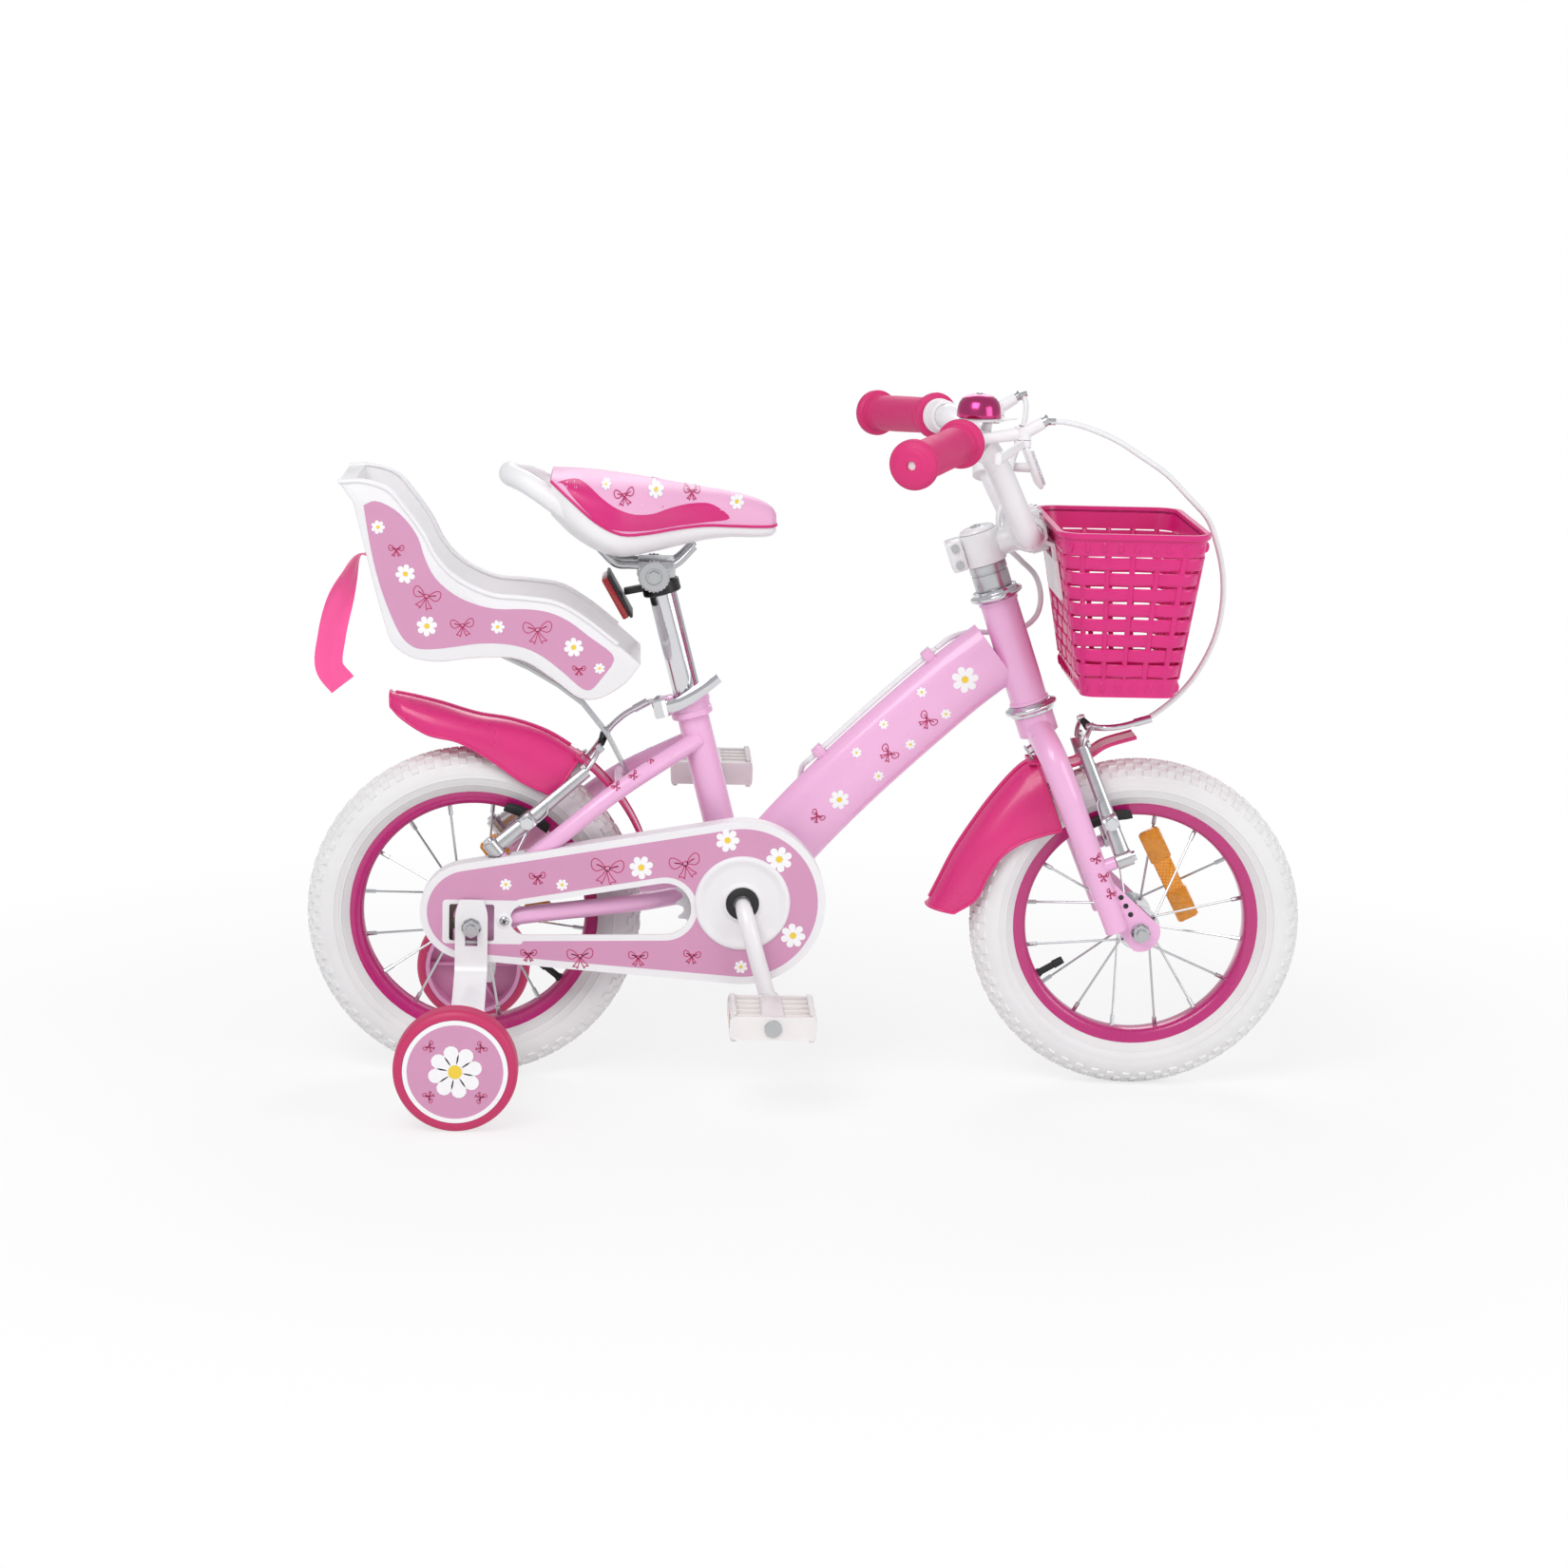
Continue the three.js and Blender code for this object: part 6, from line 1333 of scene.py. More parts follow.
    def make_reflector(self) -> None:
        """Draws the amber bar between the spokes."""
        x, z, slope = self.reflector
        angle = math.radians(slope)
        along = heading(angle)
        across = upright(along)
        centre = self.axle + mm(x, 0, z)
        lens = Form()
        lens.block(centre, Vector((92, 6, 17)), along, across, bevel=1.6)
        lens.block(centre + along * 30 * MM, Vector((30, 8.5, 20)), along, across, bevel=1.8)
        lens.block(centre - along * 30 * MM, Vector((30, 8.5, 20)), along, across, bevel=1.8)
        lens.piece(f"{self.label}_amber_bar", AMBER, self.body, [f"{self.label}_wheel_reflector"])


# Frame and fork


@dataclass
class PaintedFrame:
    """The welded main frame."""

    down_points: tuple[tuple[float, float], ...] = (
        (129, 368), (33.5, 278.6), (-22.6, 217.7), (-46, 186)
    )

    def down_path(self) -> list[Vector]:
        """Returns the places along the oval tube's middle."""
        return flowing([steering_place(53, -16), *[mm(x, 0, z) for x, z in self.down_points]], 10)

    def seat_stay(self) -> list[Vector]:
        """Returns the places along the left seat stay."""
        knots = [seat_place(143, 0, 9), mm(-177, 45, 269), STAY_BEND, STAY_FOOT]
        return flowing(knots, 10)

    def chain_stay(self) -> list[Vector]:
        """Returns the places along the left chain stay."""
        knots = [
            mm(-71.5, 23, 176), mm(-116, 26, 173), mm(-152, 38, 169), mm(-258, 53, 158.5),
            mm(-277, 53, 155)
        ]
        return flowing(knots, 10)

    def build(self) -> None:
        """Makes the tubes, the fork ends, the bosses and the clips."""
        form = Form()
        form.tube(self.down_path(), 16.5, 40, height=63 / 33)
        form.rod(steering_place(0, 0), steering_place(HEAD_TUBE_LENGTH, 0), 17, 48)
        for up in (1.5, 97.3):
            form.rod(steering_place(up - 1.5, 0), steering_place(up + 1.5, 0), 18.2, 48)
        form.rod(SEAT_FOOT, seat_place(179.5), 14.3, 40)
        form.rod(CRANK_AXLE + mm(0, -32, 0), CRANK_AXLE + mm(0, 32, 0), 23, 48)
        form.rod(mm(-171, -45, 273.9), mm(-171, 45, 273.9), 6, 24)
        rear = Form()
        rear.tube(self.seat_stay(), 8, 24)
        rear.tube(self.chain_stay(), 8, 24)
        rear.slab(self.dropout_outline(), 52, 56, bevel=0.6)
        self.boss(rear)
        rear.mirror_over()
        self.adopt(form, rear)
        self.clips(form)
        form.piece("frame_tubes", FRAME_PAINT, Body.FRAME, ["main_frame"], soften=0.5)

    @staticmethod
    def adopt(form: Form, other: Form) -> None:
        """Moves another form's mesh into this one."""
        mesh = bpy.data.meshes.new("passing")
        other.bm.to_mesh(mesh)
        other.bm.free()
        form.bm.from_mesh(mesh)
        bpy.data.meshes.remove(mesh)

    @staticmethod
    def dropout_outline() -> list[tuple[float, float]]:
        """Returns the slotted rear fork end's outline."""
        body = [
            (-284, 134), (-258, 150.5), (-258, 166.5), (-271, 195), (-309.5, 182), (-318, 159.5)
        ]
        slot = [
            (-318, 156.1), (-301, 156.1), (-296.7, 153.8), (-295.8, 151), (-296.7, 148.2),
            (-301, 145.9), (-318, 145.9), (-318, 134)
        ]
        return body + slot

    @staticmethod
    def boss(form: Form) -> None:
        """Draws the left brake boss on the seat stay."""
        out = upright(STAY_UP)
        form.pin(STAY_BOSS, out, 0, 20, 6, 20)
        form.pin(STAY_BOSS, out, 0, 36, 3.8, 16)

    def clips(self, form: Form) -> None:
        """Draws the two cable clips on the down tube."""
        path = self.down_path()
        for share in (0.255, 0.5):
            spot = share * (len(path) - 1)
            low = int(spot)
            place = path[low].lerp(path[low + 1], spot - low)
            along = (path[low + 1] - path[low]).normalized()
            up = upright(along) * math.copysign(1, along.x)
            top = place + up * 31.5 * MM
            for side in (-1, 1):
                form.block(
                    top + up * 3.5 * MM + mm(0, side * 4.2, 0), Vector((10, 1.6, 10)), along, up,
                    bevel=0.4
                )
            form.block(top + up * 8.4 * MM, Vector((10, 10, 1.6)), along, up, bevel=0.4)


@dataclass
class PaintedFork:
    """The fork with its crown, legs and drilled ends."""

    def leg_path(self) -> list[Vector]:
        """Returns the places along the left leg's middle."""
        knots = [FORK_BEND.lerp(FORK_FOOT, share) for share in (0.12, 0.55)]
        return flowing(
            [steering_place(-24.5, 0, 7), mm(216, 42, 309), FORK_BEND, *knots, FORK_FOOT], 9
        )

    def build(self) -> None:
        """Makes the fork."""
        path = self.leg_path()
        widths = [
            12.5 - 2.0 * max(0.0, (i / (len(path) - 1) - 0.45) / 0.55) for i in range(len(path))
        ]
        half = Form().tube(path, widths, 28)
        half.slab(self.end_outline(), 45, 49, bevel=0.6)
        axis = (FORK_BEND - FORK_FOOT).normalized()
        ahead = Vector((axis.z, 0, -axis.x)).normalized()
        half.pin(FORK_BOSS, ahead, 0, 20, 6, 20)
        half.pin(FORK_BOSS, ahead, 0, 36, 3.8, 16)
        half.mirror_over()
        form = Form()
        PaintedFrame.adopt(form, half)
        form.rod(steering_place(-29.75, 0), steering_place(-10.8, 0), 18, 40)
        form.rod(steering_place(-24.5, 0), steering_place(162, 0), 12.7, 32)
        form.piece("fork_tubes", FRAME_PAINT, Body.FRONT_END, ["fork"], soften=0.5)
        self.shade_in_holes()

    @staticmethod
    def end_outline() -> list[tuple[float, float]]:
        """Returns the fork end's outline, round below the axle."""
        arc = []
        for i in range(17):
            angle = math.radians(20 - i * 128 / 16)
            arc.append((301 + 18 * math.cos(angle), 151 + 18 * math.sin(angle)))
        return [(279.5, 152.5), (261.7, 197), (273.7, 197), *arc]

    @staticmethod
    def shade_in_holes() -> None:
        """Paints shade where the three round holes of each fork end are, as black discs on its
        faces; the holes are not cut.
        """
        form = Form()
        top = mm(273.7, 0, 197)
        for share in (0.3, 0.47, 0.64):
            place = top.lerp(FRONT_AXLE, share)
            for side in (-1, 1):
                form.rod(place + mm(0, side * 49.2, 0), place + mm(0, side * 48, 0), 2.4, 20)
        # Painted shade: the black discs stand for the holes.
        form.piece("fork_end_hole_shade", BLACK_NYLON_AND_SHADE, Body.FRONT_END)


# Cables


@dataclass
class CableRun:
    """One sleeved brake cable that is held at both ends."""

    label: str
    node: str
    body: Body
    points: tuple[tuple[float, float, float], ...]
    ferrules: tuple[float, ...] = (0.0, 1.0)
    radius: float = 2.5

    def build(self) -> None:
        """Draws the sleeve and its end ferrules."""
        path = flowing([mm(*p) for p in self.points], 8)
        Form().tube(path, self.radius, 14).piece(
            f"{self.label}_sleeve", CABLE_SLEEVE, self.body, [self.node]
        )
        ends = Form()
        for share in self.ferrules:
            at_end = path[0] if share < 0.5 else path[-1]
            inward = (path[2] - path[0] if share < 0.5 else path[-3] - path[-1]).normalized()
            ends.pin(at_end, inward, -0.6, 9, self.radius + 0.7, 18)
        ends.piece(f"{self.label}_ferrules", CHROME, self.body, soften=0.3)


FRONT_CABLE = (
    (188.5, -121.2, 617), (206, -120, 616.5), (225, -117, 612), (252, -112, 601), (275, -105, 587),
    (299, -97, 571), (320, -89, 551), (340, -79, 530), (350, -70, 508), (358, -59, 482),
    (361, -50, 455), (358, -43, 425), (349, -38, 399), (335, -34, 375), (316, -31, 355),
    (297, -30, 342), (277, -29, 336), (262, -26, 334), (250, -14, 333),
)
REAR_CABLE_AHEAD = (
    (189.3, 121.5, 617.5), (193.5, 122, 618.5), (197, 119, 611), (192, 100, 585), (182, 76, 561),
    (174, 58, 534), (168, 47, 512), (173, 42, 492), (188, 36, 477), (202, 29, 463), (207, 26, 445),
    (204, 25.5, 428), (192, 26, 416), (175, 24, 412), (158, 20.5, 412), (146, 16.5, 413),
    (134, 11, 411.5), (123, 6, 407.5), (115, 1.8, 402.2), (111.2, 0.2, 399.4)
)
REAR_CABLE_BEHIND = (
    (110.2, 0, 398.7), (105.7, 0, 394.7), (101.2, 0, 390.7), (84.7, 0, 376), (68.5, 0, 361.1),
    (47.5, 0, 341.5), (28, 0, 322.5), (8.3, 0, 303.5), (3.6, 0, 298.9), (-0.5, 0.8, 295),
    (-6, 8, 287.5), (-8.5, 16.5, 269), (-15, 19.6, 251), (-25, 19.5, 238), (-41, 20.5, 228),
    (-60, 20.5, 226), (-76, 20, 236), (-86, 19.5, 258), (-93, 21.5, 288), (-101, 24, 312),
    (-112, 24, 334), (-128, 24, 344), (-142, 24.5, 342.5), (-154, 26, 337.5), (-168, 27, 329),
    (-180, 27, 318), (-186, 26, 311)
)


def run_cables() -> None:
    """Draws the three stretches of brake cable."""
    CableRun("front_brake_cable", "front_brake_cable", Body.FRONT_END, FRONT_CABLE).build()
    CableRun(
        "rear_brake_cable_ahead", "rear_brake_cable_front", Body.FRONT_END, REAR_CABLE_AHEAD, (0.0,)
    ).build()
    CableRun(
        "rear_brake_cable_behind", "rear_brake_cable", Body.FRAME, REAR_CABLE_BEHIND, (1.0,)
    ).build()


# Handlebar, stem and what is on them


@dataclass
class Cockpit:
    """Stem, bar, grips, sleeve, perches, levers, bell and reflector."""

    bar_radius: float = 11.1
    grip_length: float = 126.0
    bend: tuple[float, float, float] = (127, 106, 599)
    end: tuple[float, float, float] = (65.4, 245, 588.8)
    perch_pivot: tuple[float, float, float] = (170, 118, 606)
    perch_barrel: tuple[float, float, float] = (187, 121, 616)

    def bar_half(self) -> list[Vector]:
        """Returns the knots along the bar's left half."""
        centre = steering_place(BAR_HEIGHT, BAR_AHEAD)
        bend, end = mm(*self.bend), mm(*self.end)
        clamp = mm(centre.x / MM, 40, centre.z / MM)
        return [
            centre, clamp, mm(184, 64, 510), mm(172, 78, 533), mm(144, 93, 586), bend,
            bend.lerp(end, 0.05), bend.lerp(end, 0.5), end
        ]

    def build(self) -> None:
        """Makes every piece of the cockpit."""
        half = self.bar_half()
        knots = [mirrored(p) for p in reversed(half[1:])] + half
        bar = Form().tube(flowing(knots, 12), self.bar_radius, 36)
        bar.piece("handlebar_tube", WHITE_PAINT, Body.FRONT_END, ["handlebar"])
        for side in Side:
            self.make_grip(side)
            self.make_perch(side)
            self.make_lever(side)
        self.make_sleeve()
        self.make_stem()
        self.make_bell()
        self.make_reflector()

    def on_bar(self, left: float) -> Vector:
        """Returns the place on the bar's middle at a distance to the left, in millimetres."""
        side = Side.LEFT if left > 0 else Side.RIGHT
        path = flowing(self.bar_half(), 16)
        nearest = min(
            path,
            key=lambda p: abs(p.y / MM - abs(left)) + (0 if p.z > 0.52 or abs(left) < 60 else 1)
        )
        return self.sided(tuple(nearest / MM), side)

    def sided(self, place: tuple[float, float, float], side: Side) -> Vector:
        """Returns a place that is given for the left, on either side."""
        return mm(place[0], place[1] * side.value, place[2])

    def along_bar(self, side: Side) -> Vector:
        """Returns the outward direction of the bar's end."""
        return (self.sided(self.end, side) - self.sided(self.bend, side)).normalized()

    def make_grip(self, side: Side) -> None:
        """Turns a grip with its flange, ribs, diamond field and end cap."""
        out = self.along_bar(side)
        end = self.sided(self.end, side)
        length = self.grip_length
        start = end - out * length * MM
        profile = [
            (11.3, 0), (19.5, 0), (21.2, 0.8), (21.5, 2.5), (21.3, 5), (20.4, 6.2), (18.2, 6.8),
            (17.2, 8)
        ]
        for i in range(3):
            base = 9.5 + i * 3.4
            profile += [(16.3, base), (17.2, base + 0.8), (17.2, base + 2.2), (16.3, base + 3)]
        profile += [(16.5, 21), (16.7, 50), (16.9, 80), (16.6, length - 24)]
        for i in range(3):
            base = length - 22 + i * 3.4
            profile += [(16.4, base), (17.4, base + 0.8), (17.4, base + 2.2), (16.4, base + 3)]
        profile += [
            (18.5, length - 11), (20.8, length - 9.5), (21.5, length - 7), (21.3, length - 3.5),
            (19.5, length - 0.8)
        ]
        profile += [
            (16, length + 0.8), (10, length + 2.2), (4.2, length + 2.8), (3.8, length + 2.2),
            (3.6, length - 2), (0, length - 2)
        ]
        finish = DiamondRubber(
            f"grip rubber, {side.label}",
            "pink_rubber",
            "DB2873",
            0.55,
            ior=1.52,
            relief=0.09,
            tone=0.02,
            axis=tuple(out),
            centre=tuple(start),
            radius=16.6,
            pitch=2.2,
        )
        grip = Form().lathe(profile, start, out, 72)
        grip.piece(
            f"grip_{side.label}_rubber", finish, Body.FRONT_END, [f"grip_{side.label}"], sharp=40
        )

    def make_sleeve(self) -> None:
        """Turns the stepped white sleeve between the left perch and the bend."""
        out = self.along_bar(Side.LEFT)
        start = self.sided(self.end, Side.LEFT) - out * (self.grip_length + 1) * MM
        profile = [
            (11.4, 0), (15.6, 0), (16.2, -0.7), (16.2, -3.6), (13.2, -4.2), (13.2, -6.0),
            (12.4, -6.4), (11.4, -6.4), (11.4, 0)
        ]
        Form().lathe(profile, start, out, 56).piece(
            "bar_sleeve", WHITE_PLASTIC, Body.FRONT_END, sharp=40
        )

    def make_perch(self, side: Side) -> None:
        """Draws a lever's clamp, housing, adjuster barrel and bolts."""
        out = self.along_bar(side)
        seat = self.sided(self.bend, side) + out * 15.5 * MM
        pivot, barrel = self.sided(self.perch_pivot, side), self.sided(self.perch_barrel, side)
        form = Form()
        form.lathe(
            [
                (11.3, -5.5), (14.2, -5.5), (14.6, -5), (14.6, 5), (14.2, 5.5), (11.3, 5.5),
                (11.3, -5.5)
            ],
            seat, out, 48
        )
        ahead = (pivot - seat).normalized()
        form.tube(
            [seat + ahead * 12.5 * MM, seat.lerp(pivot, 0.55), pivot - ahead * 2 * MM],
            [4.6, 5.0, 6.2], 20
        )
        form.pin(pivot, UPWARDS, -5.5, 5.5, 7.2, 32)
        form.tube([pivot, pivot.lerp(barrel, 0.5), barrel], [6, 5.8, 5.4], 24)
        form.piece(
            f"lever_perch_{side.label}_housing", WHITE_PLASTIC, Body.FRONT_END,
            [f"lever_perch_{side.label}"], soften=0.6
        )
        metal = Form()
        tip = (barrel - pivot).normalized()
        metal.pin(barrel, tip, -0.5, 4, 4.4, 20)
        metal.pin(barrel, tip, 4, 5.4, 5.1, 6)
        metal.pin(pivot, UPWARDS, 5.3, 7.2, 3.6, 20)
        metal.pin(pivot, UPWARDS, -12, -13.6, 3.2, 6)
        under = seat - UPWARDS * 14 * MM
        metal.pin(under, UPWARDS, 0, -3, 3.3, 20)
        metal.piece(f"lever_perch_{side.label}_bolts", ZINC, Body.FRONT_END, soften=0.3)

    def make_lever(self, side: Side) -> None:
        """Draws a lever's round root and its flat blade with a rolled edge."""
        knots = [
            (170, 121, 597.2), (166, 140, 597), (156, 166, 595), (147, 186, 592), (141, 199, 591)
        ]
        path = flowing([self.sided(p, side) for p in knots], 9)
        count = len(path) - 1
        widths = [
            3.4 + 1.6 * min(1.0, i / count * 1.6) + (0.9 * max(0.0, i / count - 0.85) / 0.15)
            for i in range(count + 1)
        ]
        flat = Form().tube(path, widths, 20, height=0.5, side_axis=UPWARDS)
        root = self.sided((170, 118, 600.1), side)
        flat.pin(root, UPWARDS, 0, -6, 7.4, 32)
        name = side.label
        body = side.pick(Body.LEVER_RIGHT, Body.LEVER_LEFT)
        flat.rod(path[-1] - UPWARDS * 4.4 * MM, path[-1] + UPWARDS * 4.4 * MM, 3.6, 24)
        flat.piece(
            f"brake_lever_{name}_blade", WHITE_PLASTIC, body, [f"brake_lever_{name}"], soften=0.5
        )

    def make_stem(self) -> None:
        """Draws the stem's steerer clamp, neck, face plate, cap, spacer and bolts."""
        form = Form()
        low, high = 133.2, 162.8
        middle = (low + high) / 2
        form.lathe(
            [
                (12.9, low), (18.6, low), (19, low + 0.8), (19, high - 0.8), (18.6, high),
                (12.9, high), (12.9, low)
            ],
            steering_place(0, 0), STEER_UP, 56
        )
        ear = steering_place(middle, -24)
        form.block(ear, Vector((14, 30, high - low - 1.5)), STEER_AHEAD, STEER_UP, bevel=2.2)
        neck = [
            steering_place(middle - 0.5, 14), steering_place(middle - 0.2, 24),
            steering_place(149.5, 32)
        ]
        form.tube(neck, [14.5, 13.5, 17], 28, height=0.9)
        centre = steering_place(BAR_HEIGHT, BAR_AHEAD)
        form.lathe(
            [
                (11.3, -23), (15.8, -23), (16.5, -22), (16.5, 22), (15.8, 23), (11.3, 23),
                (11.3, -23)
            ],
            centre, SIDEWAYS, 56
        )
        form.piece("stem_shell", WHITE_PAINT, Body.FRONT_END, ["stem"], soften=0.5)
        plate = Form()
        lugs = [
            centre + STEER_UP * up * 14.5 * MM + mm(0, y, 0) for y in (-16, 16) for up in (-1, 1)
        ]
        for lug in lugs:
            plate.block(
                lug + STEER_AHEAD * 6 * MM, Vector((16, 11, 9)), STEER_AHEAD, STEER_UP, bevel=1.4
            )
        arc = []
        for i in range(13):
            angle = math.radians(-62 + i * 124 / 12)
            ahead, up = math.cos(angle) * 17.4, math.sin(angle) * 17.4
            arc.append(centre + STEER_AHEAD * ahead * MM + STEER_UP * up * MM)
        for places, low_y, high_y in (
            (arc, -22, -7), (arc, 7, 22), (arc[:3], -7.2, 7.2), (arc[-3:], -7.2, 7.2)
        ):
            plate.strip([[p + mm(0, y, 0) for y in (low_y, high_y)] for p in places])
        plate.piece("stem_face_plate", WHITE_PAINT, Body.FRONT_END, soften=0.4)
        cap = Form()
        cap.lathe(
            [(0, 167.2), (12, 167), (15.5, 165.6), (16.6, 163.4), (16.4, 163), (0, 163)],
            steering_place(0, 0), STEER_UP, 48
        )
        cap.piece("stem_cap", WHITE_PAINT, Body.FRONT_END, soften=0.3)
        spacer = Form().lathe(
            [
                (12.9, 109.5), (16.4, 109.5), (16.8, 110.2), (16.8, 124), (16, 124.5), (16, 125.5),
                (17, 126), (17, 132.4), (16.4, 133), (12.9, 133), (12.9, 109.5)
            ],
            steering_place(0, 0), STEER_UP, 64
        )
        spacer.piece("stem_spacer", ZINC, Body.FRONT_END)
        bolts = Form()
        for up in (middle - 8, middle + 8):
            head = steering_place(up, -24)
            bolts.pin(head, SIDEWAYS, -15.5, -17.5, 3.6, 24)
            bolts.pin(head, SIDEWAYS, 15.5, 17.0, 3.4, 6)
        for lug in lugs:
            bolts.pin(lug, STEER_AHEAD, 13.7, 16.6, 3.6, 24)
        top = steering_place(167.2, 0)
        bolts.pin(top, STEER_UP, 0, 1.4, 4.8, 24)
        bolts.piece("stem_bolts", ZINC, Body.FRONT_END, soften=0.3)
        # Painted shade: black hexagons stand for the dark insides of the bolts' sockets.
        socket_shade = Form()
        socket_shade.pin(top, STEER_UP, 0.8, 1.5, 2.3, 6)
        for lug in lugs:
            socket_shade.pin(lug, STEER_AHEAD, 16.2, 16.7, 1.8, 6)
        socket_shade.piece("stem_bolt_socket_shade", BLACK_NYLON_AND_SHADE, Body.FRONT_END)

    def make_bell(self) -> None:
        """Draws the bell's dome, foot, clamp and thumb lever."""
        centre = mm(133, -102, 614.5)
        base = Form()
        base.lathe(
            [(0, 0), (16.6, 0), (17, 0.6), (17, 2.4), (16.2, 3.0), (0, 3.0)], centre, UPWARDS, 48
        )
        base.rod(mm(139, -97, 607), mm(144, -93, 616), 4, 20)
        seat = self.on_bar(-98)
        base.rod(seat + mm(-3.5, -3, 3), seat + mm(3.5, 3, -3), 14.4, 36)
        base.tube([seat, mm(140, -97, 603), mm(141, -97, 612)], [5.2, 4.6, 4.2], 20)
        base.piece("bell_foot", WHITE_PLASTIC, Body.FRONT_END, ["bell_base"], soften=0.3)
        lever = Form()
        lever.slab(
            [
                (143, 614.9), (154, 615.2), (165, 616.5), (167, 617.6), (164, 618.2), (153, 617.2),
                (143, 616.9)
            ],
            -108, -99, bevel=0.6
        )
        lever.piece("bell_thumb_lever", WHITE_PLASTIC, Body.FRONT_END)
        dome = Form()
        profile = [
            (19, 0), (19.3, 0.5), (19.2, 3), (18.6, 8), (17.4, 12.2), (15, 15.8), (11.6, 18.2),
            (7.4, 19.5), (3.0, 19.9), (0, 20)
        ]
        dome.lathe(
            [(0, 18.6), (10.8, 17), (16, 12), (17.5, 4), (17.8, 0), *profile],
            centre + mm(0, 0, 3.2), UPWARDS, 64
        )
        dome.piece("bell_dome_shell", BELL_METAL, Body.FRONT_END, ["bell_dome"], sharp=50)
        rivet = Form().lathe(
            [(0, 21.6), (2.2, 21.2), (3.2, 20), (3.2, 19), (0, 19)], centre + mm(0, 0, 3.2),
            UPWARDS, 28
        )
        rivet.piece("bell_rivet", CHROME, Body.FRONT_END)

    def make_reflector(self) -> None:
        """Draws the clear front reflector in its white frame."""
        seat = self.on_bar(85)
        tilt = math.radians(22)
        face = heading(tilt)
        up = upright(face)
        centre = seat + mm(42, 0, 0)
        frame = Form()
        frame.block(centre - face * 1.2 * MM, Vector((4.6, 46, 38)), face, up, bevel=1.6)
        frame.rod(seat, centre - face * 3 * MM, 4.4, 20)
        frame.rod(seat + mm(0, -5, -8.5), seat + mm(0, 5, 8.5), 14.4, 32)
        frame.piece(
            "front_reflector_frame", WHITE_PLASTIC, Body.FRONT_END, ["front_reflector"], soften=0.4
        )
        lens = Form().block(centre + face * 1.5 * MM, Vector((4.5, 42, 34)), face, up, bevel=1.2)
        lens.piece("front_reflector_lens", CLEAR, Body.FRONT_END)


# Drive


